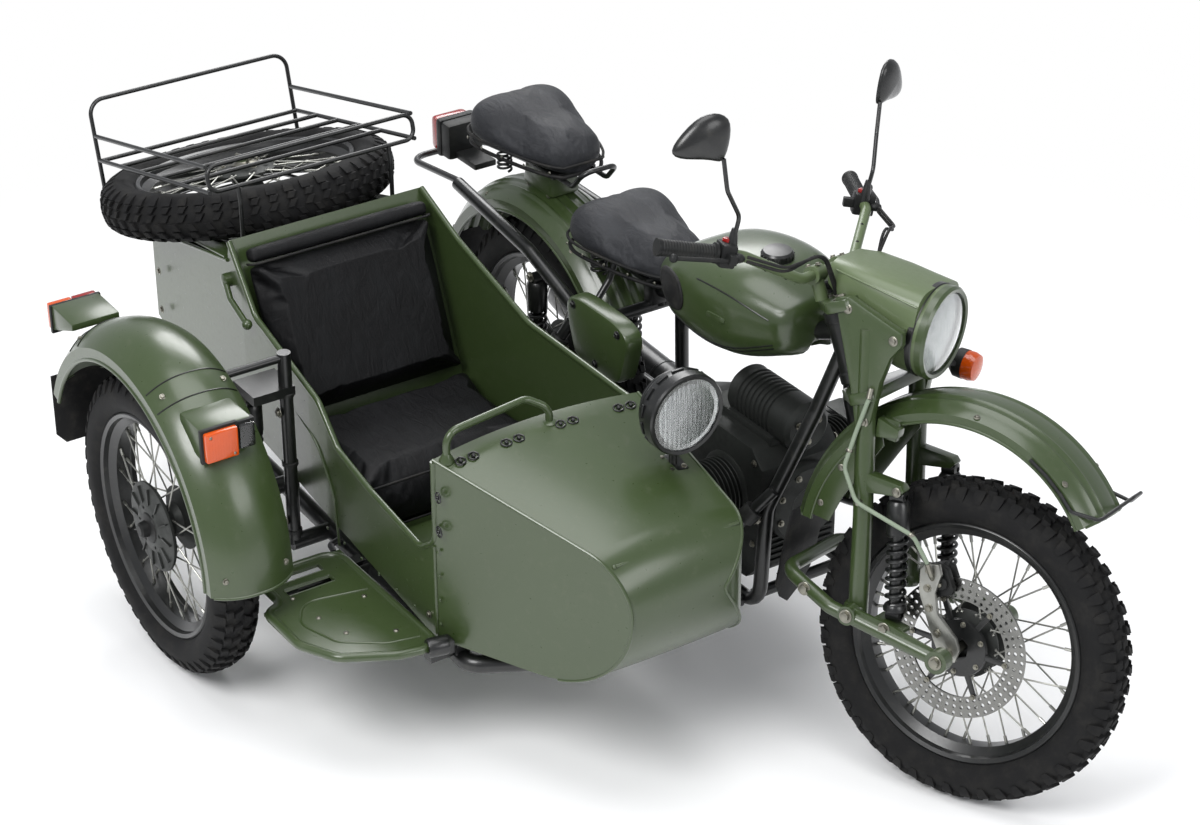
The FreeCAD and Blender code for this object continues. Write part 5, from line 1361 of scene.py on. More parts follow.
@dataclass
class Assembly:
    """Pieces that are built in one berth."""

    berth: Berth

    def put(self, form: Form, name: str, finish: Look, *replaces: str) -> bpy.types.Object:
        """Settle a form in this berth.

        Args:
            form: the mesh in the berth's millimetres.
            name: the piece's name.
            finish: what it is made of.
            replaces: CAD nodes that it stands for.

        Returns:
            The piece.
        """
        return settle(form, name, finish, self.berth, replaces)

    def bolted(self, name: str, radius: float, height: float, places: Sequence[tuple[Point, Point]]) -> None:
        """Settle zinc bolts at places, each a foot and the way that its top faces."""
        self.put(studs(bolt(radius, height), places), name, Look.ZINC)


# ---------------------------------------------------------------- wheels

class Drum(Enum):
    """What sits at a wheel's hub."""

    DISC = "disc"
    DRUM = "drum"
    BARE = "bare"


@dataclass
class Wheel(Assembly):
    """One wire wheel with a block-tread tyre, about its axle along Y."""

    name: str
    drum: Drum = Drum.DRUM
    tyre_radius: float = AXLE_Z
    carcass: float = 333.5
    bead_radius: float = 249.0
    rim_half: float = 40.0
    well_radius: float = 224.0
    blocks: int = 50
    spokes: int = 10
    flange_radius: float = 72.0
    flange_y: float = 30.0
    face: float = -1.0

    def tyre(self) -> None:
        """Carcass with ribbed sidewalls, and the blocks of its tread."""
        side = []
        for turn in range(0, 61, 6):
            angle = radians(-78.0 + turn * 2.35)
            side.append((288.0 + 45.5 * sin(angle), 53.4 * cos(angle) ** 0.9))
        lugs = [(r, y + (0.9 if index % 3 == 1 else 0.0)) for index, (r, y) in enumerate(side)]
        crown = [(self.carcass + 0.4, 12.0)]
        half = [(self.bead_radius - 5.0, 30.0), (self.bead_radius, 37.0)] + lugs + crown
        profile = [(r, -y) for r, y in half] + [(r, y) for r, y in reversed(half)]
        body = Form().lathe(profile, 120, closed=True)
        form = joined(body, self.tread(), self.shoulder())
        self.put(form, f"{self.name}_tyre_tread", Look.TYRE, f"{self.name}_tyre")

    def block(self, places: Sequence[tuple[float, float]], low: float, high: float) -> Form:
        """One tread block over the crown: outline of (Y, along the tread), from a low to a high radius.

        Args:
            places: outline, as Y and angle.
            low: radius of its foot.
            high: radius of its top.

        Returns:
            The block.
        """
        form = Form()
        rings = []
        for radius, shrink in ((low, 1.0), (high - 0.9, 0.95), (high, 0.88)):
            middle = Vector((sum(y for y, _ in places), sum(x for _, x in places))) / len(places)
            points = []
            for y, x in places:
                y, x = middle.x + (y - middle.x) * shrink, middle.y + (x - middle.y) * shrink
                fall = 0.0062 * y * y
                points.append((x, y, radius - fall))
            rings.append(points)
        return form.skin(rings)

    def tread(self) -> Form:
        """Two rows of slanted blocks beside the middle and two outside them.

        Returns:
            All the blocks.
        """
        pitch = 2.0 * pi * self.tyre_radius / self.blocks
        source = Form()
        for side in SIDES:
            shift = 0.25 * pitch * side
            inner = [(2.0, -0.30), (2.0, 0.06), (19.0, 0.32), (19.0, -0.04)]
            outer = [(22.5, -0.24), (22.5, 0.14), (36.0, 0.34), (36.0, -0.10)]
            for outline in (inner, outer):
                places = [(side * y, x * pitch + shift) for y, x in outline]
                joined(source, self.block(places, self.carcass - 6.0, self.tyre_radius - 0.4))
        return row(source, self.blocks, turn=(0.0, 360.0 / self.blocks, 0.0))

    def shoulder(self) -> Form:
        """Blocks that run down the shoulders.

        Returns:
            All the blocks.
        """
        source = Form()
        for side in SIDES:
            rings = []
            for y, r, half in ((38.0, 330.5, 11.5), (45.0, 323.0, 11.0), (50.2, 313.0, 9.0),
                               (52.6, 304.0, 6.0)):
                grown_out = Vector((y - 30.0, r - 296.0)).normalized()
                rings.append([(-half, side * y, r), (half, side * y, r),
                              (half, side * (y - 9.0 * grown_out.x), r - 9.0 * grown_out.y),
                              (-half, side * (y - 9.0 * grown_out.x), r - 9.0 * grown_out.y)])
            source.skin(rings)
        return row(source, self.blocks, turn=(0.0, 360.0 / self.blocks, 0.0),
                   start=(0.0, 90.0 / self.blocks, 0.0))

    def rim(self) -> None:
        """Drop-centre rim with rolled flanges."""
        seat, half, well = self.bead_radius - 3.0, self.rim_half, self.well_radius
        outer = [(seat + 9.0, half + 1.0), (seat + 10.5, half - 1.5), (seat + 8.0, half - 3.5),
                 (seat + 1.0, half - 5.0), (seat - 1.0, 27.0), (well + 5.0, 17.0), (well + 3.0, 0.0)]
        inner = [(seat + 6.0, half + 2.5), (seat - 2.0, half - 1.0), (seat - 4.5, 28.0), (well + 1.0, 16.0),
                 (well, 0.0)]
        top = outer + [(r, -y) for r, y in outer[-2::-1]]
        under = [(r, -y) for r, y in inner] + inner[-2::-1]
        self.put(Form().lathe(top + under, 120, closed=True), f"{self.name}_rim_formed", Look.BLACK,
                 f"{self.name}_rim")

    def spoke_set(self) -> Form:
        """Crossed spokes with their heads and nipples.

        Returns:
            All the spokes.
        """
        source = Form()
        for side in SIDES:
            for lean, slip in ((30.0, 0.0), (-30.0, 9.0)):
                shift = slip + (9.0 if side > 0.0 else 0.0)
                foot = spot(0.0, 0.0, shift, self.flange_radius - 4.0, side * (self.flange_y + 3.5))
                head = spot(0.0, 0.0, shift + lean, self.well_radius + 1.0, side * 8.0)
                source.tube([foot, head], 1.9, 0.0, 7)
                way = (head - foot).normalized()
                source.tube([head - way * 17.0, head], 3.4, 0.0, 8)
                source.ball(foot, 3.6, detail=1)
        return row(source, self.spokes, turn=(0.0, 360.0 / self.spokes, 0.0))

    def hub(self) -> None:
        """Hub shell, its flanges, the brake drum or bare barrel, and the black cap."""
        flange, y = self.flange_radius, self.flange_y
        profile = [(10.1, -44.0), (30.0, -44.0), (36.0, -38.0), (flange - 6.0, -y - 4.0), (flange, -y - 2.0),
                   (flange, -y + 3.0), (flange - 8.0, -y + 5.0), (40.0, -y + 14.0), (33.0, 0.0),
                   (40.0, y - 14.0), (flange - 8.0, y - 5.0), (flange, y - 3.0), (flange, y + 2.0),
                   (flange - 6.0, y + 4.0), (36.0, 38.0), (30.0, 44.0), (10.1, 44.0)]
        form = Form().lathe(profile, 64, closed=True)
        if self.drum is Drum.DRUM:
            face = [(22.0, y + 2.0), (98.0, y + 2.0), (102.0, y + 6.0), (102.0, y + 11.0), (92.0, y + 14.0),
                    (60.0, y + 15.0), (54.0, y + 19.0), (22.0, y + 19.0)]
            form.lathe([(r, self.face * place) for r, place in face], 72, closed=True)
            rib = Form().slab([(52.0, -2.2), (94.0, -1.4), (94.0, 1.4), (52.0, 2.2)], 0.0, 7.0, "Z", 0.6)
            rib.turned(Matrix.Translation((0, self.face * (y + 12.0), 0))
                       @ Matrix.Rotation(radians(90.0), 4, "X"))
            joined(form, row(rib, 12, turn=(0.0, 30.0, 0.0)))
        self.put(form, f"{self.name}_hub_turned", Look.CASTING, f"{self.name}_spoked_hub")
        self.put(self.spoke_set(), f"{self.name}_spokes_laced", Look.ALLOY, f"{self.name}_spoked_hub")
        if self.drum is Drum.DRUM:
            cap = Form()
            for side in SIDES:
                cap.lathe([(0.0, side * 74.0), (12.0, side * 74.0), (17.0, side * 70.0), (19.0, side * 56.0),
                           (33.0, side * 52.0), (37.0, side * 46.0), (0.0, side * 46.0)], 40)
            self.put(cap, f"{self.name}_axle_caps", Look.PLASTIC)

    def studs(self) -> None:
        """Ring of bolts round the hub's face."""
        places = [(spot(0.0, 0.0, 60.0 * k, 46.0, self.face * 44.0), (0.0, self.face, 0.0))
                  for k in range(6)]
        self.put(studs(bolt(5.0, 5.0), places), f"{self.name}_hub_bolts", Look.ZINC)

    def disc(self, outer: float = 147.5, inner: float = 104.0, middle: float = -64.0,
             half: float = 2.5) -> None:
        """Perforated brake disc on its black six-armed carrier.

        Args:
            outer: radius.
            inner: radius.
            middle: its Y.
            half: half its thickness.
        """
        rows, count = 3, 48
        depth = (outer - inner) / rows
        cell = Form()
        for index in range(rows):
            low = inner + depth * index
            corners = [(a, r) for a, r in ((-1, 0), (0, 0), (1, 0), (1, 0.5), (1, 1), (0, 1), (-1, 1),
                                           (-1, 0.5))]
            outline = [(low + depth * r, radians(180.0 / count) * a) for a, r in corners]
            ring = []
            for a, r in corners:
                length = hypot(a, (r - 0.5) * 2.0)
                hole_r = low + depth / 2.0 + 4.3 * (r - 0.5) * 2.0 / length
                ring.append((hole_r, 4.3 * a / length / (low + depth / 2.0)))
            def flat(points: list, y: float) -> list:
                """Polar points, set at a Y."""
                return [(r * cos(t), y, r * sin(t)) for r, t in points]
            strips = [flat(outline, middle + half), flat(ring, middle + half), flat(ring, middle - half),
                      flat(outline, middle - half)]
            cell.skin(strips, caps=False)
        form = row(cell, count, turn=(0.0, 360.0 / count, 0.0))
        for radius in (inner, outer):
            edge = [[(radius * cos(k * pi / count), y, radius * sin(k * pi / count))
                     for k in range(2 * count)] for y in (middle - half, middle + half)]
            form.skin(edge, caps=False)
        bmesh.ops.remove_doubles(form.mesh, verts=form.mesh.verts, dist=0.02)
        self.put(form, "front_disc_perforated", Look.STEEL, "front_brake_disc")
        arm = Form().slab([(20.0, -13.0), (62.0, -6.0), (100.0, -5.0), (110.0, -8.0), (110.0, 8.0),
                           (100.0, 5.0), (62.0, 6.0), (20.0, 13.0)], -3.0, 3.0, "Z", 1.0)
        arm.turned(Matrix.Translation((0, middle + 2.5, 0)) @ Matrix.Rotation(radians(90.0), 4, "X"))
        carrier = row(arm, 6, turn=(0.0, 60.0, 0.0))
        carrier.lathe([(24.0, middle - 1.5), (60.0, middle - 1.5), (62.0, middle + 5.0), (44.0, -46.0),
                       (24.0, -46.0)], 60, closed=True)
        self.put(carrier, "front_disc_carrier", Look.BLACK)
        places = [(spot(0.0, 0.0, 60.0 * k, 105.0, middle - 3.0), (0.0, -1.0, 0.0)) for k in range(6)]
        places += [(spot(0.0, 0.0, 60.0 * k + 30.0, 52.0, middle - 1.5), (0.0, -1.0, 0.0)) for k in range(6)]
        self.bolted("front_disc_bolts", 4.2, 5.0, places)

    def dress(self) -> None:
        """Build every piece of the wheel."""
        self.tyre()
        self.rim()
        self.hub()
        if self.drum is Drum.DISC:
            self.disc()
        elif self.drum is Drum.DRUM:
            self.studs()


# ---------------------------------------------------------------- front end, straight ahead

def on_stem(distance: float, forward: float = 0.0, side: float = 0.0) -> Vector:
    """Point at a distance up the steering axis, and forward of it square to the axis.

    Args:
        distance: up the axis from the ground.
        forward: ahead of the axis.
        side: to the left.

    Returns:
        The point.
    """
    rake = radians(RAKE_DEG)
    up = Vector((-sin(rake), 0.0, cos(rake)))
    ahead = Vector((cos(rake), 0.0, sin(rake)))
    point = Vector((LAYOUT.stem_foot, 0.0, 0.0)) + up * distance + ahead * forward
    return Vector((point.x, side, point.z))


def stem_frame(distance: float, forward: float = 0.0, side: float = 0.0) -> Matrix:
    """Matrix whose Z runs up the steering axis, from a point given along it."""
    turn = Matrix.Rotation(radians(-RAKE_DEG), 4, "Y")
    return Matrix.Translation(on_stem(distance, forward, side)) @ turn


@dataclass
class FrontEnd(Assembly):
    """Leading-link fork, its springs, front guard, brake and hose."""

    half_track: float = 116.0
    leg_top: tuple[float, float] = (1196.0, 948.0)
    leg_foot: tuple[float, float] = (1290.0, 366.0)
    leg_radius: float = 20.5
    link_back: tuple[float, float] = (1118.0, 396.0)
    link_y: float = 155.0
    axle: tuple[float, float] = field(default_factory=lambda: (LAYOUT.front_axle().x, LAYOUT.front_axle().z))
    shock_top: tuple[float, float] = (1330.0, 628.0)
    shock_foot: tuple[float, float] = (1372.0, 392.0)
    guard: Guard = field(default_factory=lambda: Guard(
        (1444.0, 492.0), 358.0, 84.0, 46.0, (36.0, 178.0), ribs=(33.0, 52.0)))

    def fork(self) -> None:
        """Legs with their gussets and ears, and both yokes."""
        form = Form()
        top, foot = self.leg_top, self.leg_foot
        for side in SIDES:
            y = side * self.half_track
            form.tube([(top[0] + 2.0, y, top[1]), (1231.0, y, 742.0), (1262.0, y, 560.0),
                       (foot[0], y, foot[1])], self.leg_radius, 160.0, 28)
            form.lathe([(0.0, 0.0), (24.0, 0.0), (25.0, 4.0), (25.0, 22.0), (21.0, 28.0), (0.0, 28.0)], 32,
                       (foot[0] - 3.0, y, foot[1] - 14.0), (-0.16, 0.0, 1.0))
            gusset = [(1118.0, 992.0), (1150.0, 1002.0), (1276.0, 964.0), (1280.0, 936.0), (1262.0, 906.0),
                      (1250.0, 850.0), (1246.0, 770.0), (1240.0, 724.0), (1220.0, 724.0), (1196.0, 800.0),
                      (1164.0, 880.0)]
            form.slab(gusset, *sorted((y - side * 8.0, y + side * 17.0)), "Y", 6.0)
            ear = [(1236.0, 612.0), (1336.0, 634.0), (1346.0, 648.0), (1336.0, 658.0), (1232.0, 660.0)]
            form.slab(ear, y - 15.0, y + 15.0, "Y", 4.0)
            form.block((1214.0, 1268.0), sorted((side * 96.5, side * 118.0)), (928.0, 964.0), 4.0)
            form.slab([(1250.0, 730.0), (1300.0, 742.0), (1300.0, 760.0), (1250.0, 772.0)],
                      *sorted((side * 82.0, side * 110.0)), "Y", 3.0)
        half = [(-24.0, 30.0), (-14.0, 40.0), (50.0, 136.0), (66.0, 140.0), (100.0, 140.0), (108.0, 130.0)]
        for low in (862.5, 1051.5):
            outline = [(x, -y) for x, y in half] + half[::-1]
            joined(form, Form().slab(outline, 0.0, 24.0, "Z", 5.0, stem_frame(low)))
        form.tube([on_stem(862.0), on_stem(1082.0)], 14.0, 0.0, 24)
        self.put(form, "fork_legs_and_yokes", Look.GREEN, "fork")
        up = on_stem(1.0) - on_stem(0.0)
        nuts = [(on_stem(1076.0), up)] + [(on_stem(1076.0, 78.0, side * 112.0), up) for side in SIDES]
        self.bolted("yoke_nuts", 11.0, 9.0, nuts)
        places = []
        for side in SIDES:
            out = (0.0, side, 0.0)
            y = side * (self.half_track + 17.0)
            places += [((x, y, z), out) for x, z in ((1262.0, 944.0), (1152.0, 978.0), (1232.0, 762.0))]
            places += [((self.shock_top[0], side * (self.half_track + 15.0), 642.0), out)]
        self.bolted("fork_bolts", 7.0, 6.0, places)

    def link(self) -> None:
        """Leading link with its pivots and axle clamps."""
        axle_x, axle_z = self.axle
        (foot_x, foot_z), link_y = self.leg_foot, self.link_y
        half_back = self.half_track + 4.0
        ends = [(axle_x, link_y, axle_z), (foot_x - 44.0, link_y, foot_z),
                (self.link_back[0], half_back, self.link_back[1])]
        form = Form().tube(across(ends), 15.0, 40.0, 22)
        for side in SIDES:
            y = side * link_y
            form.tube([(axle_x, y - 15.0, axle_z), (axle_x, y + 15.0, axle_z)], 24.0, 0.0, 32)
            form.tube([(foot_x, side * 92.0, foot_z), (foot_x, y, foot_z)], 9.5, 0.0, 20)
            form.tube([(foot_x, y - 15.0, foot_z), (foot_x, y + 15.0, foot_z)], 20.0, 0.0, 28)
            form.slab([(1340.0, 376.0), (1352.0, 372.0), (1404.0, 364.0), (1404.0, 352.0), (1352.0, 350.0),
                       (1340.0, 356.0)], *sorted((side * 100.0, y)), "Y", 3.0)
            form.slab([(1290.0, 384.0), (1376.0, 378.0), (axle_x - 4.0, axle_z + 18.0),
                       (axle_x - 4.0, axle_z - 4.0), (1400.0, 338.0), (1290.0, 352.0)], y - 4.0, y + 4.0,
                      "Y", 2.0)
        self.put(form, "leading_link", Look.GREEN, "link_arm")
        axle = Form().tube([(axle_x, -link_y - 22.0, axle_z), (axle_x, link_y + 22.0, axle_z)], 10.0, 0.0,
                           24)
        places = []
        for side in SIDES:
            out = (0.0, side, 0.0)
            places += [((axle_x, side * 170.0, axle_z), out), ((foot_x, side * 170.0, foot_z), out),
                       ((self.shock_foot[0], side * 159.0, 364.0), out),
                       ((1180.0, side * 152.0, 382.0), out)]
        joined(axle, studs(bolt(10.0, 9.0), places))
        self.put(axle, "link_bolts_and_axle", Look.ZINC)

    def springs(self) -> None:
        """Both coil-over units."""
        form = Form()
        for side in SIDES:
            y = side * self.half_track
            unit = Damper((self.shock_foot[0], y, self.shock_foot[1] - 14.0),
                          (self.shock_top[0], y, self.shock_top[1] + 8.0))
            joined(form, unit.form())
        self.put(form, "front_coil_springs", Look.BLACK, "front_shocks")

    def fender(self) -> None:
        """Front guard, its stays, wire and flap."""
        guard = self.guard
        form = guard.form(72)
        for side in SIDES:
            form.block((1258.0, 1292.0), sorted((side * 78.0, side * 96.0)), (728.0, 772.0), 3.0)
            panel = [spot(*guard.centre, t, 316.0, side * 82.0) for t in (176, 160, 144, 128)]
            panel += [spot(*guard.centre, t, r, side * 82.0)
                      for t, r in ((130, 282), (146, 262), (162, 262), (176, 270))]
            form.slab([(p.x, p.z) for p in panel], *sorted((side * 80.0, side * 84.0)), "Y", 1.2)
        self.put(form, "front_guard_pressed", Look.GREEN, "front_fender")
        tip = guard.at(0.0, 38.0, 6.0)
        y = guard.half_width + 3.0
        side_run = [spot(*guard.centre, t, 322.0, -y) for t in (66.0, 58.0, 50.0, 43.0)]
        run = side_run + [(tip.x + 6.0, -y * 0.86, tip.z - 6.0), (tip.x + 42.0, -22.0, tip.z + 40.0),
                          (tip.x + 42.0, 22.0, tip.z + 40.0), (tip.x + 6.0, y * 0.86, tip.z - 6.0)]
        run += [Vector((p.x, -p.y, p.z)) for p in reversed(side_run)]
        self.put(Form().tube(run, 4.0, 16.0, 10), "front_guard_wire", Look.BLACK)
        places = [(guard.at(side * 0.9, t),
                   guard.at(side, t) - Vector((guard.centre[0], 0.0, guard.centre[1]))) for side in SIDES
                  for t in (52.0, 90.0, 132.0)]
        places += [(spot(*guard.centre, t, 300.0, side * 84.5), (0.0, side, 0.0)) for side in SIDES
                   for t in (134.0, 152.0, 170.0)]
        self.bolted("front_guard_bolts", 5.0, 4.0, places)
        edge, top = guard.centre[0] - guard.radius, 502.0
        outline = [(-78.0, top), (78.0, top), (80.0, 430.0), (74.0, 330.0), (40.0, 290.0), (0.0, 268.0),
                   (-40.0, 290.0), (-74.0, 330.0), (-80.0, 430.0)]
        flap = Form().slab(outline, -2.0, 2.0, "X", 0.8)
        lean = Matrix.Translation((edge + 1.0, 0.0, top)) @ Matrix.Rotation(radians(3.2), 4, "Y")
        flap.turned(lean @ Matrix.Translation((0.0, 0.0, -top)))
        for z in (470.0, 410.0, 350.0):
            x = edge - 4.5 - (top - z) * 0.055
            flap.tube([(x, -66.0, z), (x, 66.0, z)], 2.0, 0.0, 8)
        self.put(flap, "front_rubber_flap", Look.RUBBER, "front_mud_flap")

    def brake(self) -> None:
        """Caliper astride the disc, its torque arm and the hose."""
        axle_x, axle_z = self.axle
        reach, angle = 135.5, radians(118.0)
        x, z = axle_x + reach * cos(angle), axle_z + reach * sin(angle)
        turn = Matrix.Translation((x, 0.0, z)) @ Matrix.Rotation(radians(-28.0), 4, "Y")
        form = Form()
        outline = [(-36.0, -14.0), (-28.0, -22.0), (28.0, -22.0), (36.0, -12.0), (34.0, 30.0), (22.0, 43.0),
                   (-22.0, 43.0), (-34.0, 30.0)]
        form.slab(outline, -88.0, -71.8, "Y", 3.0, turn)
        form.slab(outline, -56.2, -44.5, "Y", 3.0, turn)
        form.block((-26.0, 26.0), (-74.0, -54.0), (26.0, 43.0), 3.0, turn)
        for along in (-16.0, 16.0):
            form.lathe([(0.0, -99.0), (11.0, -99.0), (13.5, -96.0), (13.5, -86.0), (0.0, -86.0)], 28,
                       turn @ Vector((along, 0.0, 6.0)))
        self.put(form, "caliper_body", Look.PLASTIC, "brake_caliper")
        arm = Form().slab([(x - 34.0, z + 34.0), (x - 22.0, z + 52.0), (x + 4.0, z + 56.0),
                           (x + 14.0, z + 36.0), (x + 8.0, z - 6.0), (x + 22.0, z - 46.0),
                           (axle_x + 8.0, axle_z + 36.0), (axle_x + 20.0, axle_z + 14.0),
                           (axle_x + 16.0, axle_z - 14.0), (axle_x - 8.0, axle_z - 20.0),
                           (axle_x - 26.0, axle_z - 4.0), (axle_x - 52.0, axle_z + 36.0),
                           (x - 28.0, z - 12.0)], -109.0, -98.0, "Y", 3.0)
        self.put(arm, "torque_arm", Look.ALLOY)
        places = [((x + dx, -109.0, z + dz), (0.0, -1.0, 0.0))
                  for dx, dz in ((-14.0, 38.0), (-10.0, 0.0), (2.0, -40.0), (30.0, -86.0))]
        pins = studs(bolt(6.0, 6.0), places)
        for along in (-16.0, 16.0):
            pins.lathe([(0.0, -104.0), (4.5, -104.0), (4.5, -98.0), (0.0, -98.0)], 16,
                       turn @ Vector((along, 0.0, 6.0)))
        self.put(pins, "caliper_pins", Look.ZINC)
        y = -142.8
        run = [(1238.0, y, 816.0), (1224.0, y, 740.0), (1216.0, y - 8.0, 664.0), (1258.0, y - 14.0, 604.0),
               (1330.0, y - 14.0, 590.0), (1392.0, y - 6.0, 574.0), (1424.0, y + 14.0, 520.0)]
        self.put(Form().tube(run, 4.5, 34.0, 14), "brake_hose_run", Look.HOSE, "brake_hose")
        ends = Form().tube([run[0], (1236.0, -136.0, 836.0)], 6.0, 0.0, 14)
        ends.tube([run[-1], (1432.0, -116.0, 492.0), (1434.0, -92.0, 470.0)], 5.5, 12.0, 14)
        for place in ((1219.0, y - 4.0, 700.0), (1262.0, y - 12.0, 601.0), (1386.0, y - 6.0, 575.0)):
            ends.ball(place, 8.0, (1.0, 0.8, 0.7), 2)
            ends.tube([place, (place[0] - 2.0, y + 8.0, place[2])], 3.0, 0.0, 8)
        self.put(ends, "hose_fittings", Look.ZINC)

    def dress(self) -> None:
        """Build every piece of the front end."""
        self.fork()
        self.link()
        self.springs()
        self.fender()
        self.brake()


@dataclass
class Cockpit(Assembly):
    """Headlight with its nacelle, handlebar, controls, mirrors and the instrument."""

    lamp: tuple[float, float, float] = (1196.0, 0.0, 946.0)
    lamp_radius: float = 96.0
    lamp_depth: float = 108.0
    bar_half: float = 400.0
    bar_radius: float = 11.0
    grip_length: float = 125.0

    def bar_end(self, side: float) -> tuple[Vector, Vector]:
        """Inner and outer end of one grip.

        Args:
            side: -1 for the right, 1 for the left.

        Returns:
            The two ends.
        """
        clamp = on_stem(1130.0)
        bend = Vector((clamp.x - 62.0, side * 262.0, clamp.z + 62.0))
        end = Vector((clamp.x - 178.0, side * self.bar_half, clamp.z + 72.0))
        return end - (end - bend).normalized() * self.grip_length, end

    def headlight(self) -> None:
        """Bowl, nacelle, bezel, reflector and glass."""
        x, _, z = self.lamp
        centre = (x, 0.0, z)
        back, front, radius = -40.0, self.lamp_depth, self.lamp_radius
        shell = [(0.0, back), (40.0, back + 4.0), (70.0, back + 22.0), (88.0, back + 50.0),
                 (95.0, back + 84.0), (radius, front - 16.0), (radius, front - 8.0),
                 (radius - 4.0, front - 8.0), (radius - 4.0, front - 20.0), (0.0, front - 60.0)]
        form = Form().lathe(shell, 72, centre, AHEAD)
        stations = []
        for along, half, high, low in ((1070.0, 74.0, 1046.0, 984.0), (1110.0, 92.0, 1050.0, 962.0),
                                       (1180.0, 98.0, 1048.0, 930.0), (1236.0, 97.0, 1044.0, 902.0),
                                       (1282.0, 95.0, 1041.0, 890.0)):
            ring = []
            for turn in range(0, 360, 10):
                u, v = bowed(radians(turn), 0.5)
                ring.append((along, u * half, (high + low) / 2.0 + v * (high - low) / 2.0))
            stations.append(ring)
        form.skin(stations)
        for side in SIDES:
            form.tube([(1090.0, side * 86.0, 1032.0), (1180.0, side * 97.0, 1026.0),
                       (1280.0, side * 94.0, 1012.0)], 2.2, 0.0, 8)
        # The nacelle takes the paler green paint: a painted sheen over the body green.
        self.put(form, "headlight_nacelle", Look.SAGE, "headlight_shell")
        bezel = Form().lathe([(radius + 1.5, front - 12.0), (radius + 2.0, front + 2.0),
                              (radius - 3.0, front + 8.0), (radius - 10.0, front + 6.0),
                              (radius - 8.0, front - 10.0)], 80, centre, AHEAD, True)
        self.put(bezel, "headlight_rim", Look.GREEN)
        band = Form().lathe([(radius + 0.5, 74.0), (radius + 2.2, 76.0), (radius + 2.2, 86.0),
                             (radius + 0.5, 88.0)], 80, centre, AHEAD, True)
        self.put(band, "headlight_band", Look.BLACK)
        bowl = [(radius - 8.0, front - 6.0), (76.0, front - 26.0), (54.0, front - 46.0),
                (22.0, front - 58.0), (9.0, front - 60.0), (9.0, front - 34.0), (0.0, front - 30.0),
                (0.0, front - 66.0), (60.0, front - 54.0), (radius - 5.0, front - 20.0),
                (radius - 4.0, front - 8.0)]
        self.put(Form().lathe(bowl, 72, centre, AHEAD), "headlight_reflector", Look.SILVER)
        dome = [(0.0, front + 15.5), (30.0, front + 14.2), (58.0, front + 10.0), (78.0, front + 4.5),
                (87.0, front + 0.5), (87.0, front - 3.0), (76.0, front + 1.0), (56.0, front + 6.5),
                (28.0, front + 10.8), (0.0, front + 12.0)]
        self.put(Form().lathe(dome, 72, centre, AHEAD), "headlight_glass", Look.GLASS, "headlight_lens")

    def bar(self) -> None:
        """Handlebar with its clamps."""
        clamp = on_stem(1130.0)
        half = [(clamp.x, 110.0, clamp.z), (clamp.x - 62.0, 262.0, clamp.z + 62.0),
                (clamp.x - 178.0, self.bar_half, clamp.z + 72.0)]
        form = Form().tube(across(half[::-1]), self.bar_radius, 60.0, 20)
        for side in SIDES:
            y = side * 52.0
            form.tube([on_stem(1075.5, 0.0, y), on_stem(1130.0, 0.0, y)], 14.0, 0.0, 24)
            form.tube([(clamp.x, y - 18.0, clamp.z), (clamp.x, y + 18.0, clamp.z)], 19.0, 0.0, 32)
        self.put(form, "handlebar_bent", Look.SAGE, "handlebar")
        up = on_stem(1.0) - on_stem(0.0)
        places = [(on_stem(1147.0, forward, side * 52.0), up) for side in SIDES for forward in (-11.0, 11.0)]
        self.bolted("bar_clamp_screws", 5.0, 5.0, places)

    def controls(self) -> None:
        """Grips, switch boxes, levers with ball ends and their cables."""
        form, switches = Form(), Form()
        for side in SIDES:
            inner, outer = self.bar_end(side)
            way = (outer - inner).normalized()
            place = aimed(inner, outer)
            length = self.grip_length
            profile = [(11.2, 0.0), (21.0, 0.0), (21.0, 5.0), (16.5, 7.0)]
            for index in range(18):
                low = 9.0 + index * 6.0
                profile += [(16.0, low), (17.0, low + 1.5), (17.0, low + 4.0), (16.0, low + 5.5)]
            profile += [(18.0, length - 4.0), (18.0, length + 2.0), (0.0, length + 2.0), (0.0, length - 2.0),
                        (11.2, length - 6.0)]
            grip = Form().lathe(profile, 28, axis=UP, closed=True)
            joined(form, grip.turned(place))
            box = Form().block((-23.0, 23.0), (-24.0, 24.0), (-36.0, -3.0), 6.0)
            box.block((8.0, 44.0), (-10.0, 10.0), (-30.0, -14.0), 3.0)
            joined(form, box.turned(place))
            root = inner - way * 18.0 + Vector((40.0, 0.0, -5.0))
            tip = root + way * 152.0 + Vector((10.0, 0.0, -4.0))
            form.tube([inner - way * 20.0 + Vector((12.0, 0.0, -4.0)), root,
                       root + way * 70.0 + Vector((12.0, 0.0, 0.0)), tip], 5.6, 16.0, 12, 0.7)
            form.ball(tip, 9.0)
            form.ball(inner - way * 19.0 + Vector((30.0, 0.0, 0.0)), 14.0, (1.0, 1.0, 0.7), 2)
            switches.block((-8.0, 8.0), (-7.0, 7.0), (0.0, 10.0), 2.0,
                           Matrix.Translation(inner - way * 26.0 + Vector((-8.0, 0.0, 22.0))))
        self.put(form, "grips_and_levers", Look.PLASTIC, "hand_controls")
        self.put(switches, "switch_buttons", Look.RED)
        cables = Form()
        for side in SIDES:
            inner, outer = self.bar_end(side)
            way = (outer - inner).normalized()
            start = inner - way * 34.0 + Vector((34.0, 0.0, -4.0))
            for shift in (0.0, 9.0):
                cables.tube([start + Vector((0.0, 0.0, shift)),
                             start - way * 60.0 + Vector((26.0, 0.0, -10.0 + shift)),
                             Vector((1075.0 + shift, side * (130.0 + shift), 1075.0)),
                             Vector((1090.0, side * (96.0 - shift), 1010.0)),
                             Vector((1108.0, side * (60.0 + shift), 940.0))], 3.4, 44.0, 8)
            for share in (0.25, 0.6):
                inner_bar = on_stem(1130.0)
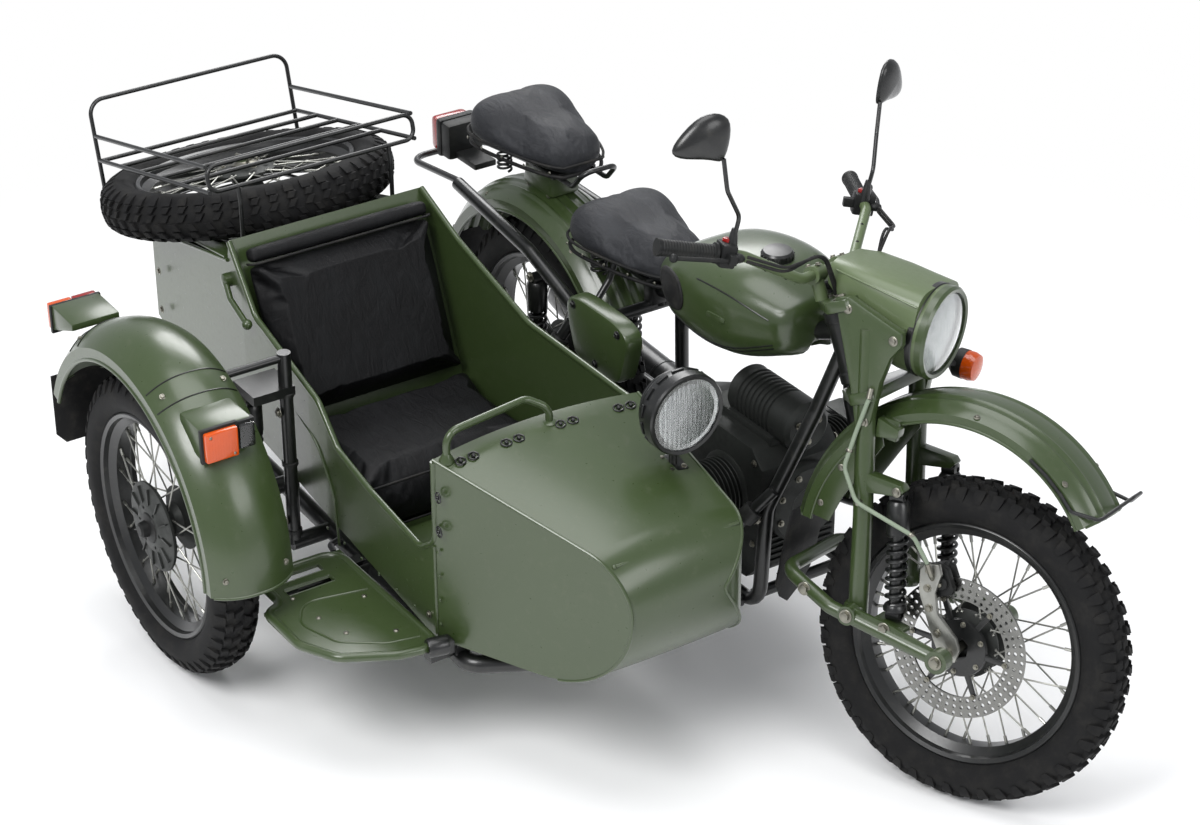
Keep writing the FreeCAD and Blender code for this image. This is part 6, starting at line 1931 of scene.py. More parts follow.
                cables.ball((inner_bar.x - 62.0 * share, side * blend(110.0, 262.0, share),
                             inner_bar.z + 62.0 * share), 13.5, (0.5, 0.5, 1.0), 2)
        self.put(cables, "control_cables", Look.RUBBER)

    def mirrors(self) -> None:
        """Teardrop mirrors on curved stems."""
        stems, heads, glass = Form(), Form(), Form()
        outline = [(-52.0, -52.0), (-58.0, -30.0), (-60.0, 0.0), (-56.0, 30.0), (-42.0, 44.0), (-18.0, 48.0),
                   (8.0, 40.0), (32.0, 16.0), (52.0, -14.0), (60.0, -34.0), (52.0, -46.0), (26.0, -50.0),
                   (-12.0, -47.0), (-38.0, -50.0)]
        shell_rings = ((-5.0, 0.90), (-3.0, 0.97), (2.0, 1.0), (9.0, 0.92), (15.0, 0.72), (19.0, 0.4),
                       (20.5, 0.08))
        pane_rings = ((-5.6, 0.82), (-4.0, 0.84))
        for side, turn in ((-1.0, -38.0), (1.0, 4.0)):
            inner, outer = self.bar_end(side)
            foot = inner - (outer - inner).normalized() * 30.0 + Vector((0.0, 0.0, 20.0))
            place = Matrix.Translation((905.0, side * 392.0, 1310.0)) @ Matrix.Rotation(radians(turn), 4,
                                                                                        "Z")
            root = place @ Vector((7.0, side * -50.0, -42.0))
            stems.tube([foot, foot + Vector((6.0, 0.0, 60.0)), root + Vector((12.0, -side * 14.0, -64.0)),
                        root], 4.6, 30.0, 12)
            stems.lathe([(0.0, -24.0), (11.0, -24.0), (12.0, -6.0), (8.0, 22.0), (6.0, 34.0), (0.0, 34.0)],
                        20, foot, UP)
            shell, pane = ([[(depth, side * y * size, z * size) for y, z in outline]
                            for depth, size in rings] for rings in (shell_rings, pane_rings))
            joined(heads, Form().skin(shell).smoothed(1).turned(place))
            joined(glass, Form().skin(pane).turned(place))
        joined(stems, heads)
        self.put(stems, "mirror_heads_and_stems", Look.BLACK, "mirrors")
        self.put(glass, "mirror_glasses", Look.MIRROR)

    def instruments(self) -> None:
        """Instrument box with its dial and the steering damper knob."""
        place = stem_frame(1075.8, 58.0)
        form = Form().block((-40.0, 40.0), (-42.0, 42.0), (0.0, 44.0), 10.0)
        form.lathe([(0.0, 40.0), (37.0, 40.0), (39.0, 44.0), (39.0, 52.0), (34.0, 52.0), (33.0, 47.0),
                    (0.0, 47.0)], 48, axis=UP)
        form.turned(place)
        knob = Form().lathe([(0.0, 0.0), (12.0, 0.0), (12.0, 8.0), (17.0, 12.0), (17.0, 22.0), (12.0, 26.0),
                             (0.0, 26.0)], 24, axis=UP)
        knurl = Form().block((15.5, 18.0), (-1.3, 1.3), (12.0, 22.0), 0.4)
        joined(knob, row(knurl, 18, turn=(0.0, 0.0, 20.0)))
        joined(form, knob.turned(stem_frame(1082.3)))
        self.put(form, "instrument_box", Look.PLASTIC, "instrument")
        face = Form().lathe([(0.0, 47.2), (32.5, 47.2), (32.5, 48.0), (0.0, 48.0)], 40,
                            axis=UP).turned(place)
        self.put(face, "dial_glass", Look.GLASS)

    def signal(self) -> None:
        """Turn signal on its stalk."""
        y = 136.6
        stalk = Form().tube([(1228.0, y, 836.0), (1252.0, y + 40.0, 826.0), (1268.0, y + 66.0, 820.0)], 6.0,
                            20.0, 12)
        stalk.lathe([(0.0, 12.0), (20.0, 12.0), (31.0, 24.0), (32.0, 44.0), (0.0, 44.0)], 36,
                    (1232.0, y + 84.0, 818.0), AHEAD)
        self.put(stalk, "signal_stalk", Look.PLASTIC, "turn_signal")
        lens = Form().lathe([(0.0, 43.0), (31.0, 43.0), (31.5, 58.0), (28.0, 69.0), (18.0, 72.0),
                             (0.0, 73.0)], 36, (1232.0, y + 84.0, 818.0), AHEAD)
        self.put(lens, "signal_lens", Look.AMBER)

    def dress(self) -> None:
        """Build every piece of the cockpit."""
        self.headlight()
        self.bar()
        self.controls()
        self.mirrors()
        self.instruments()
        self.signal()


# ---------------------------------------------------------------- motorcycle body

def along(stations: Sequence[tuple[float, float]], x: float) -> float:
    """Smooth curve through (place, value) stations, held at its ends.

    Args:
        stations: place and value of each.
        x: where it is wanted.

    Returns:
        The value there.
    """
    if x <= stations[0][0]:
        return stations[0][1]
    if x >= stations[-1][0]:
        return stations[-1][1]
    index = max(k for k, (place, _) in enumerate(stations) if place <= x)
    (x0, y0), (x1, y1) = stations[index], stations[index + 1]
    before, after = stations[max(index - 1, 0)], stations[min(index + 2, len(stations) - 1)]
    span = x1 - x0
    m0, m1 = (y1 - before[1]) / (x1 - before[0]) * span, (after[1] - y0) / (after[0] - x0) * span
    t = (x - x0) / span
    return ((2 * t**3 - 3 * t**2 + 1) * y0 + (t**3 - 2 * t**2 + t) * m0 + (3 * t**2 - 2 * t**3) * y1
            + (t**3 - t**2) * m1)


def bowed(angle: float, power: float) -> tuple[float, float]:
    """Point of a rounded square of half size 1 at an angle in radians."""
    c, s = cos(angle), sin(angle)
    return copysign(abs(c) ** power, c), copysign(abs(s) ** power, s)


def both_sides(points: Sequence[Point]) -> list[list[Vector]]:
    """A run and its mirror image across the middle plane."""
    return [[Vector((x, side * y, z)) for x, y, z in points] for side in SIDES]


@dataclass
class Engine(Assembly):
    """Flat-twin engine: block, finned cylinders, gearbox and exhausts."""

    block_x: tuple[float, float] = (690.0, 965.0)
    block_z: tuple[float, float] = (228.3, 560.0)
    block_half: float = 105.0
    bore: tuple[float, float] = (842.0, 425.0)
    barrel_y: tuple[float, float] = (105.0, 212.0)
    head_y: tuple[float, float] = (210.0, 290.0)
    pipe_y: float = 212.0
    pipe_z: float = 268.0

    def case(self) -> None:
        """Block with its front cover, generator, ribs and bolts."""
        (x0, x1), (z0, z1), half = self.block_x, self.block_z, self.block_half
        outline = [(x0, z0 + 40.0), (x0 + 24.0, z0), (x1 - 50.0, z0), (x1 - 4.0, z0 + 46.0), (x1, z1 - 40.0),
                   (x1 - 40.0, z1), (x0, z1)]
        form = Form().slab(outline, -half, half, "Y", 14.0)
        form.lathe([(0.0, 955.0), (92.0, 955.0), (92.0, 982.0), (84.0, 990.0), (40.0, 991.0), (34.0, 986.0),
                    (0.0, 986.0)], 64, (0, 0, 420.0), AHEAD)
        shell = [(0.0, 770.0), (54.0, 770.0), (58.0, 775.0)]
        for index in range(9):
            low = 790.0 + 15.0 * index
            shell += [(54.0, low), (54.0, low + 6.0), (58.0, low + 7.5), (58.0, low + 13.5)]
        form.lathe(shell + [(58.0, 976.0), (48.0, 985.0), (0.0, 985.0)], 48, (0, 0, 602.0), AHEAD)
        form.block((x0 + 20.0, x1 - 30.0), (-62.0, 62.0), (z1 - 10.0, z1 + 14.0), 6.0)
        fin = Form().block((x0 + 34.0, x1 - 66.0), (-half - 5.0, half + 5.0), (z0 + 14.0, z0 + 19.0), 1.6)
        joined(form, row(fin, 7, (0.0, 0.0, 13.0)))
        rib = Form().block((966.0, 974.0), (-84.0, 84.0), (z0 + 62.0, z0 + 67.0), 1.6)
        joined(form, row(rib, 5, (0.0, 0.0, 14.0)))
        for side in SIDES:
            form.lathe([(0.0, 0.0), (82.0, 0.0), (82.0, 7.0), (76.0, 11.0), (0.0, 11.0)], 48,
                       (self.bore[0], side * (half - 4.0), self.bore[1]), (0, side, 0))
        self.put(form, "engine_block", Look.CASTING, "engine_crankcase")
        places = [((991.0, 74.0 * cos(t), 74.0 * sin(t) + 420.0), AHEAD)
                  for t in (radians(45.0 * k + 20.0) for k in range(8))]
        places += [((985.5, 30.0 * cos(t), 602.0 + 30.0 * sin(t)), AHEAD)
                   for t in (radians(120.0 * k + 30.0) for k in range(3))]
        places += [((x, side * (half + 0.5), z), (0, side, 0)) for side in SIDES
                   for x, z in ((718.0, 540.0), (718.0, 360.0), (940.0, 530.0), (940.0, 330.0),
                                (790.0, 545.0))]
        self.bolted("engine_bolts", 5.5, 6.0, places)

    def cylinders(self) -> None:
        """Barrels with round fins and heads with upright fins."""
        bx, bz = self.bore
        form, covers, places = Form(), Form(), []
        for side in SIDES:
            y0, y1 = self.barrel_y
            form.lathe([(56.0, side * y0), (56.0, side * (y1 + 6.0)), (0.0, side * (y1 + 6.0)),
                        (0.0, side * y0)], 40, (bx, 0, bz))
            fin = Form().lathe([(54.0, 0.0), (54.0, 3.4), (71.0, 3.0), (72.0, 1.7), (71.0, 0.4)], 48,
                               (bx, side * (y0 + 8.0), bz), closed=True)
            joined(form, row(fin, 10, (0.0, side * 10.2, 0.0)))
            h0, h1 = self.head_y
            core = [(bx - 52.0, bz - 56.0), (bx + 52.0, bz - 56.0), (bx + 60.0, bz), (bx + 52.0, bz + 56.0),
                    (bx - 52.0, bz + 56.0), (bx - 60.0, bz)]
            form.slab(core, *sorted((side * h0, side * (h1 - 12.0))), "Y", 8.0)
            plate = [(bx - 78.0, side * (h0 + 2.0)), (bx + 78.0, side * (h0 + 2.0)),
                     (bx + 78.0, side * (h1 - 34.0)), (bx + 62.0, side * (h1 - 14.0)),
                     (bx - 62.0, side * (h1 - 14.0)), (bx - 78.0, side * (h1 - 34.0))]
            joined(form, row(Form().slab(plate, bz - 69.0, bz - 65.6, "Z", 1.0), 12, (0.0, 0.0, 12.2)))
            lid = [(bx - 58.0, bz - 30.0), (bx - 36.0, bz - 50.0), (bx + 36.0, bz - 50.0),
                   (bx + 58.0, bz - 30.0), (bx + 58.0, bz + 30.0), (bx + 36.0, bz + 50.0),
                   (bx - 36.0, bz + 50.0), (bx - 58.0, bz + 30.0)]
            covers.slab(lid, *sorted((side * (h1 - 16.0), side * (h1 - 1.0))), "Y", 6.0)
            joined(covers, row(Form().block((bx - 44.0, bx + 44.0),
                                            sorted((side * (h1 - 4.0), side * (h1 + 2.0))),
                                            (bz - 31.0, bz - 26.0), 1.4), 5, (0.0, 0.0, 14.5)))
            places.append(((bx, side * (h1 - 1.0), bz), (0, side, 0)))
            places += [((bx + a * 46.0, side * (h1 - 1.0), bz + b * 34.0), (0, side, 0)) for a in (-1, 1)
                       for b in (-1, 1)]
        self.put(form, "cylinders_finned", Look.CASTING, "engine_cylinders")
        self.put(covers, "rocker_covers", Look.ALLOY)
        self.bolted("rocker_bolts", 6.0, 6.0, places)

    def gearbox(self) -> None:
        """Ribbed gearbox with its side cover."""
        outline = [(470.0, 290.0), (560.0, 268.0), (690.0, 250.0), (690.0, 530.0), (600.0, 512.0),
                   (470.0, 455.0)]
        form = Form().slab(outline, -93.0, 93.0, "Y", 12.0)
        for side in SIDES:
            form.lathe([(0.0, 86.0), (58.0, 86.0), (62.0, 92.0), (58.0, 99.0), (0.0, 100.0)], 48,
                       (585.0, 0, 395.0), (0, side, 0))
            rib = Form().block((488.0, 540.0), sorted((side * 88.0, side * 96.0)), (320.0, 325.0), 1.5)
            joined(form, row(rib, 8, (0.0, 0.0, 16.0)))
        self.put(form, "gearbox_ribbed", Look.CASTING, "gearbox")
        places = [((585.0 + 52.0 * cos(t), side * 97.0, 395.0 + 52.0 * sin(t)), (0, side, 0))
                  for side in SIDES for t in (radians(60.0 * k) for k in range(6))]
        self.bolted("gearbox_bolts", 4.5, 5.0, places)

    def exhausts(self) -> None:
        """Header pipes with collars, and long silencers."""
        form, clamps, wide, low = Form(), Form(), self.pipe_y, self.pipe_z
        for run in both_sides([(882.0, 246.0, 356.0), (882.0, 246.0, 288.0), (722.0, wide, low),
                               (290.0, wide, low)]):
            form.tube(run, 19.0, 52.0, 24)
            y = run[0].y
            clamps.lathe([(20.0, 340.0), (29.0, 340.0), (30.0, 344.0), (30.0, 352.0), (20.0, 352.0)], 32,
                         (882.0, y, 0), UP, True)
            side = copysign(1.0, y)
            body = [(0.0, 2.0), (20.0, 2.0), (28.0, 14.0), (38.0, 44.0), (42.0, 74.0), (42.0, 150.0),
                    (43.5, 152.0), (43.5, 158.0), (42.0, 160.0), (42.0, 500.0), (43.5, 502.0), (43.5, 508.0),
                    (42.0, 510.0), (41.0, 560.0), (34.0, 612.0), (20.0, 630.0), (16.0, 630.0), (16.0, 600.0),
                    (0.0, 600.0)]
            joined(form, Form().lathe(body, 48,
                                      axis=UP).turned(aimed((300.0, side * wide, low),
                                                            (-330.0, side * wide, 302.0))))
            for x in (310.0, 700.0):
                clamps.lathe([(19.5, -9.0), (22.5, -9.0), (22.5, 9.0), (19.5, 9.0)], 28,
                             (x, side * wide, low), AHEAD, True)
                clamps.block((x - 7.0, x + 7.0), sorted((side * 206.0, side * 218.0)), (240.0, 249.0), 1.5)
        self.put(form, "exhaust_pipes", Look.BLACK, "exhaust")
        self.put(clamps, "exhaust_clamps", Look.ZINC)

    def dress(self) -> None:
        """Build every piece of the engine."""
        self.case()
        self.cylinders()
        self.gearbox()
        self.exhausts()


@dataclass
class Chassis(Assembly):
    """Tube frame, rear suspension, guard, carriers, boxes and lamps of the motorcycle."""

    tube_radius: float = 16.0
    rail_y: float = 132.0
    pivot_x: float = 392.0
    shock_x: float = 132.0
    cradle_z: float = 215.0
    post_x: float = 430.0
    guard: Guard = field(default_factory=lambda: Guard(
        (0.0, 362.0), 412.0, 86.0, 60.0, (34.0, 160.0), ribs=(0.0, 26.0, 52.0)))

    def frame(self) -> None:
        """Cradle, backbone, head tube and their plates."""
        form, rail, pivot, low, post = Form(), self.rail_y, self.pivot_x, self.cradle_z, self.post_x
        foot = on_stem(954.0, -12.0)
        for run in both_sides([(foot.x, 14.0, foot.z), (1066.0, 44.0, 700.0), (1022.0, rail, 470.0),
                               (1004.0, rail, low), (340.0, rail, low), (330.0, rail, 610.0),
                               (100.0, rail, 690.0), (-250.0, 108.0, 714.0)]):
            form.tube(run, self.tube_radius, 60.0, 20)
            side = copysign(1.0, run[0].y)
            form.slab([(300.0, 310.0), (430.0, 318.0), (436.0, 352.0), (400.0, 372.0), (326.0, 392.0)],
                      side * rail - 4.0, side * rail + 4.0, "Y", 2.0)
            form.slab([(330.0, 560.0), (372.0, 640.0), (330.0, 652.0), (240.0, 640.0)], side * rail - 3.0,
                      side * rail + 3.0, "Y", 1.5)
        for x in (420.0, 960.0):
            form.tube([(x, -rail, low), (x, rail, low)], 13.0, 0.0, 16)
        form.tube([(post, -rail, 660.0), (post, rail, 660.0)], 14.0, 0.0, 16)
        form.tube([(332.0, -rail, 600.0), (332.0, rail, 600.0)], 13.0, 0.0, 16)
        form.tube([on_stem(1002.0), (900.0, 0.0, 800.0), (post, 0.0, 700.0)], 20.0, 160.0, 22)
        form.tube([(post, 0.0, 700.0), (post, 0.0, 660.0)], 18.0, 0.0, 18)
        form.lathe([(0.0, 892.0), (30.0, 892.0), (33.0, 896.0), (33.0, 914.0), (30.0, 918.0), (30.0, 1020.0),
                    (33.0, 1024.0), (33.0, 1042.0), (30.0, 1046.0), (0.0, 1046.0)], 40,
                   (LAYOUT.stem_foot, 0, 0), on_stem(1.0) - on_stem(0.0))
        form.tube([(pivot, -140.0, AXLE_Z), (pivot, 140.0, AXLE_Z)], 10.0, 0.0, 18)
        self.put(form, "main_frame_tubes", Look.BLACK, "main_frame")
        places = [((pivot, side * 140.0, AXLE_Z), (0, side, 0)) for side in SIDES]
        places += [((x, side * 136.5, z), (0, side, 0)) for side in SIDES
                   for x, z in ((330.0, 366.0), (416.0, 338.0), (328.0, 632.0))]
        self.bolted("frame_bolts", 8.0, 7.0, places)

    def suspension(self) -> None:
        """Swing arm, final drive and all rear spring units."""
        arm = Form()
        for run in both_sides([(self.pivot_x, 96.0, AXLE_Z), (0.0, 96.0, AXLE_Z)]):
            arm.tube(run, 17.0, 0.0, 24)
            side = copysign(1.0, run[0].y)
            for x in (self.pivot_x, 0.0):
                arm.tube([(x, side * 78.0, AXLE_Z), (x, side * 114.0, AXLE_Z)], 23.0, 0.0, 28)
            arm.block((112.0, 152.0), sorted((side * 92.0, side * 146.0)), (AXLE_Z, 353.6), 3.0)
        arm.lathe([(0.0, -126.0), (58.0, -126.0), (70.0, -120.0), (78.0, -108.0), (78.0, -80.0),
                   (74.0, -70.0), (0.0, -70.0)], 56, (0, 0, AXLE_Z))
        rib = Form().slab([(26.0, -2.0), (66.0, -2.0), (66.0, 2.0), (26.0, 2.0)], 0.0, 5.0, "Z", 0.8)
        rib.turned(Matrix.Translation((0, -124.0, AXLE_Z)) @ Matrix.Rotation(radians(90.0), 4, "X"))
        about = Matrix.Translation((0, 0, AXLE_Z))
        joined(arm, row(rib.turned(about.inverted()), 12, turn=(0.0, 30.0, 0.0)).turned(about))
        self.put(arm, "swing_arm_and_drive", Look.BLACK, "rear_swing_arm")
        units = Form()
        for side in SIDES:
            foot = (self.shock_x, side * self.rail_y, 368.0)
            joined(units, Damper(foot, (*foot[:2], 641.0)).form())
        joined(units, Damper((250.0, -932.0, 376.0), (250.0, -932.0, 626.0)).form())
        self.put(units, "rear_spring_units", Look.BLACK, "shock_absorbers")
        places = [((self.shock_x, side * 149.0, z), (0, side, 0)) for side in SIDES for z in (368.0, 641.0)]
        places += [((250.0, -949.0, z), RIGHT) for z in (376.0, 626.0)]
        places.append(((0.0, 114.0, AXLE_Z), LEFT))
        self.bolted("suspension_bolts", 8.5, 8.0, places)

    def fender(self) -> None:
        """Ribbed rear guard with its bolts and rubber flap, and the sidecar's flap."""
        guard = self.guard
        form = guard.form(72, 48)
        self.put(form, "rear_guard_pressed", Look.GREEN, "rear_fender")
        places = [(guard.at(side * 0.8, t, -4.0), guard.out(t)) for side in SIDES
                  for t in (62.0, 118.0, 150.0)]
        self.bolted("rear_guard_bolts", 5.0, 5.0, places)
        flaps, pins = Form(), []
        for arc, half, turn, reach in ((guard, 76.0, 160.0, 120.0), (SIDECAR_GUARD, 86.0, 158.0, 160.0)):
            y = arc.middle_y
            top = spot(*arc.centre, turn, arc.radius - 8.0, y)
            outline = [(y - half, top.z + 14.0), (y + half, top.z + 14.0), (y + half, top.z - reach + 26.0),
                       (y + half - 22.0, top.z - reach), (y - half + 22.0, top.z - reach),
                       (y - half, top.z - reach + 26.0)]
            flaps.slab(outline, top.x - 5.0, top.x - 0.5, "X", 1.2)
            for z in (top.z - 40.0, top.z - 62.0, top.z - 84.0):
                flaps.tube([(top.x - 5.0, y - half + 10.0, z), (top.x - 5.0, y + half - 10.0, z)], 1.8, 0.0,
                           8)
            pins += [((top.x - 5.0, y + side * half * 0.7, top.z), BACK) for side in SIDES]
        self.put(flaps, "rubber_flaps", Look.RUBBER, "mud_flaps")
        self.bolted("flap_bolts", 5.0, 5.0, pins)

    def carriers(self) -> None:
        """Plates, posts and springs under the saddles, and both grab loops."""
        form = Form()
        form.block((300.0, 470.0), (-62.0, 62.0), (741.0, 753.0), 3.0)
        form.block((412.0, 448.0), (-30.0, 30.0), (668.0, 742.0), 3.0)
        for run in both_sides([(320.0, 40.0, 742.0), (322.0, 60.0, 690.0), (326.0, 118.0, 622.0)]):
            form.tube(run, 8.0, 24.0, 14)
        for side in SIDES:
            joined(form, helix(17.0, 3.2, 62.0, 5.0).turned(Matrix.Translation((282.0, side * 62.0, 690.0))))
            joined(form, helix(16.0, 3.0, 48.0,
                               4.0).turned(Matrix.Translation((-110.0, side * 64.0, 791.0))))
        form.block((-150.0, 90.0), (-58.0, 58.0), (841.0, 853.0), 3.0)
        form.tube(across([(84.0, 46.0, 847.0), (152.0, 46.0, 847.0), (196.0, 46.0, 897.0)]), 6.0, 26.0, 14)
        form.tube(across([(-263.0, 100.0, 714.0), (-490.0, 100.0, 684.0)]), 8.0, 48.0, 16)
        self.put(form, "saddle_carriers", Look.BLACK, "seat_carriers")
        post = Form().slab([(-70.0, 774.0), (-58.0, 842.0), (38.0, 842.0), (50.0, 774.0)], -40.0, 40.0, "Y",
                           8.0)
        self.put(post, "saddle_pedestal", Look.GREEN)
        places = [((x, side * 34.0, 775.0), (0, side, 0.4)) for side in SIDES for x in (-52.0, 32.0)]
        self.bolted("pedestal_bolts", 5.0, 4.0, places)

    def boxes(self) -> None:
        """Rounded boxes under the driver's saddle, and the foot pegs."""
        form, places = Form(), []
        for side in SIDES:
            rings = []
            for depth, grow in ((148.3, 0.94), (152.0, 1.0), (184.0, 1.0), (191.0, 0.96), (194.3, 0.86)):
                ring = []
                for index in range(48):
                    u, v = bowed(2.0 * pi * index / 48, 0.55)
                    belly = 1.0 - 0.16 * (1.0 - v) * abs(u) ** 2
                    ring.append((465.5 + 134.5 * grow * u * belly, side * depth, 636.0 + 76.0 * grow * v))
                rings.append(ring)
            form.skin(rings)
            places += [((x, side * 194.0, z), (0, side, 0))
                       for x, z in ((378.0, 690.0), (552.0, 690.0), (465.0, 580.0))]
        self.put(form, "side_box_pair", Look.GREEN, "side_boxes")
        self.put(studs(bolt(7.0, 6.0), places), "side_box_fasteners", Look.BLACK)
        pegs = Form()
        for side in SIDES:
            profile = [(0.0, side * 144.0), (12.0, side * 144.0)]
            for index in range(9):
                low = 158.0 + 8.6 * index
                profile += [(12.4, side * low), (13.8, side * (low + 1.6)), (13.8, side * (low + 5.0)),
                            (12.4, side * (low + 6.6))]
            pegs.lathe(profile + [(15.0, side * 237.0), (13.0, side * 242.0), (0.0, side * 242.0)], 24,
                       (560.0, 0, 219.0))
        self.put(pegs, "foot_peg_rubbers", Look.RUBBER, "foot_pegs")

    def tail(self) -> None:
        """Tail light on its bracket."""
        form = Form().block((-430.0, -388.0), (-48.0, 48.0), (702.0, 792.0), 9.0)
        form.block((-446.0, -424.0), (-51.0, 51.0), (699.0, 795.0), 8.0)
        form.block((-392.0, -300.0), (-30.0, 30.0), (706.0, 722.0), 4.0)
        self.put(form, "tail_light_body", Look.PLASTIC, "tail_light")
        lens = Form().block((-478.0, -440.0), (-45.0, 45.0), (705.0, 789.0), 11.0)
        self.put(lens, "tail_light_lens", Look.RED)
        places = [((-478.0, side * 34.0, z), BACK) for side in SIDES for z in (716.0, 778.0)]
        self.put(studs(rivet(3.6, 2.0), places), "tail_light_screws", Look.ZINC)

    def dress(self) -> None:
        """Build every piece of the chassis."""
        self.frame()
        self.suspension()
        self.fender()
        self.carriers()
        self.boxes()
        self.tail()


@dataclass
class Tank(Assembly):
    """Fuel tank with knee pads, a bare badge, side lines and its cap."""

    half: tuple = ((545.0, 84.0), (560.0, 92.0), (680.0, 142.0), (860.0, 148.0), (1010.0, 92.0),
                   (1024.0, 84.0))
    low: tuple = ((560.0, 772.0), (680.0, 738.0), (860.0, 742.0), (1010.0, 800.0))
    high: tuple = ((560.0, 864.0), (680.0, 932.0), (860.0, 956.0), (1010.0, 922.0))
    power: float = 0.72

    def surface(self, x: float, z: float, lift: float = 0.0, side: float = -1.0) -> Vector:
        """Point on a flank at a length and height, raised by a lift.

        Args:
            x: length.
            z: height.
            lift: how far it stands off.
            side: -1 for the right, 1 for the left.

        Returns:
            The point.
        """
        half, low, high = (along(stations, x) for stations in (self.half, self.low, self.high))
        share = min(abs((z - (low + high) / 2.0) / ((high - low) / 2.0)), 0.999)
        y = half * (1.0 - share ** (1.0 / self.power * 2.0)) ** (self.power / 2.0)
        return Vector((x, side * (y + lift), z))

    def shell(self) -> None:
        """Pressed shell with a tunnel over the backbone."""
        rings = []
        for share in [0.0, 0.004, 0.014, 0.032, 0.06] + [0.06 + 0.88 * k / 26
                                                         for k in range(1, 27)] + [0.968, 0.986, 0.996, 1.0]:
            x = blend(552.0, 1018.0, share)
            edge = min(share, 1.0 - share) / 0.06
            size = (1.0 - (1.0 - min(edge, 1.0)) ** 2.6) ** 0.42 * 0.62 + 0.38
            half, low, high = (along(stations, x) for stations in (self.half, self.low, self.high))
            middle, tall = (low + high) / 2.0, (high - low) / 2.0
            ring = []
            for index in range(72):
                u, v = bowed(2.0 * pi * index / 72, self.power)
                y, z = half * size * u, middle + tall * size * v
                if v < 0.0 and abs(y) < 34.0:
                    z = max(z, min(blend(722.0, 826.0, (x - 430.0) / 470.0),
                                   830.0) + 26.0 * ease((34.0 - abs(y)) / 14.0) - 26.0)
                ring.append((x, y, z))
            rings.append(ring)
        self.put(Form().skin(rings), "fuel_tank_shell", Look.GREEN, "fuel_tank")

    def pads(self) -> None:
        """Teardrop knee pads with a raised middle."""
        form = Form()
        for side in SIDES:
            rings = []
            for size, lift in ((1.0, -3.0), (1.0, 2.4), (0.96, 4.6), (0.82, 5.4), (0.78, 4.4), (0.6, 5.2),
                               (0.3, 6.2), (0.04, 6.4)):
                ring = []
                for index in range(40):
                    angle = 2.0 * pi * index / 40
                    reach = 1.0 + 0.34 * cos(angle)
                    x = 668.0 + size * (72.0 * cos(angle) - 4.0)
                    z = 842.0 + size * 44.0 * reach * 0.86 * sin(angle)
                    ring.append(self.surface(x, z, lift, side))
                rings.append(ring)
            form.skin(rings)
        self.put(form, "knee_pads", Look.RUBBER)

    def trim(self) -> None:
        """Paired lines along the flank, the badge, the cap and its rim."""
        lines, badge = Form(), Form()
        for side in SIDES:
            for drop in (0.0, 9.0):
                run = [self.surface(x, along(self.low, x) + 42.0 - drop, 0.2, side)
                       for x in range(600, 985, 16)]
                lines.tube(run, 1.7, 0.0, 6)
            run = [self.surface(x, along(self.high, x) - 46.0, 0.2, side) for x in range(770, 985, 12)]
            lines.tube(run, 1.7, 0.0, 6)
            rings = [[self.surface(850.0 + 27.0 * size * u, 852.0 + 8.0 * size * v, lift, side)
                      for u, v in (bowed(2.0 * pi * k / 32, 0.6) for k in range(32))]
                     for size, lift in ((1.0, -2.0), (1.0, 1.6), (0.9, 2.6), (0.06, 2.9))]
            badge.skin(rings)
        self.put(lines, "tank_side_lines", Look.BLACK)
        self.put(badge, "tank_badges_bare", Look.GREEN)
        cap = Form().lathe([(0.0, 944.0), (38.0, 944.0), (39.0, 950.0), (34.0, 953.0), (34.0, 966.0),
                            (30.0, 971.0), (12.0, 972.5), (0.0, 972.5)], 48, (860.0, 0, 0), UP)
        knurl = Form().block((33.0, 35.6), (-1.6, 1.6), (954.0, 965.0), 0.5)
        joined(cap, row(knurl, 24, turn=(0.0, 0.0, 15.0)).turned(Matrix.Translation((860.0, 0, 0))))
        self.put(cap, "filler_cap", Look.BLACK)

    def dress(self) -> None:
        """Build every piece of the tank."""
        self.shell()
        self.pads()
        self.trim()


# ---------------------------------------------------------------- upholstery

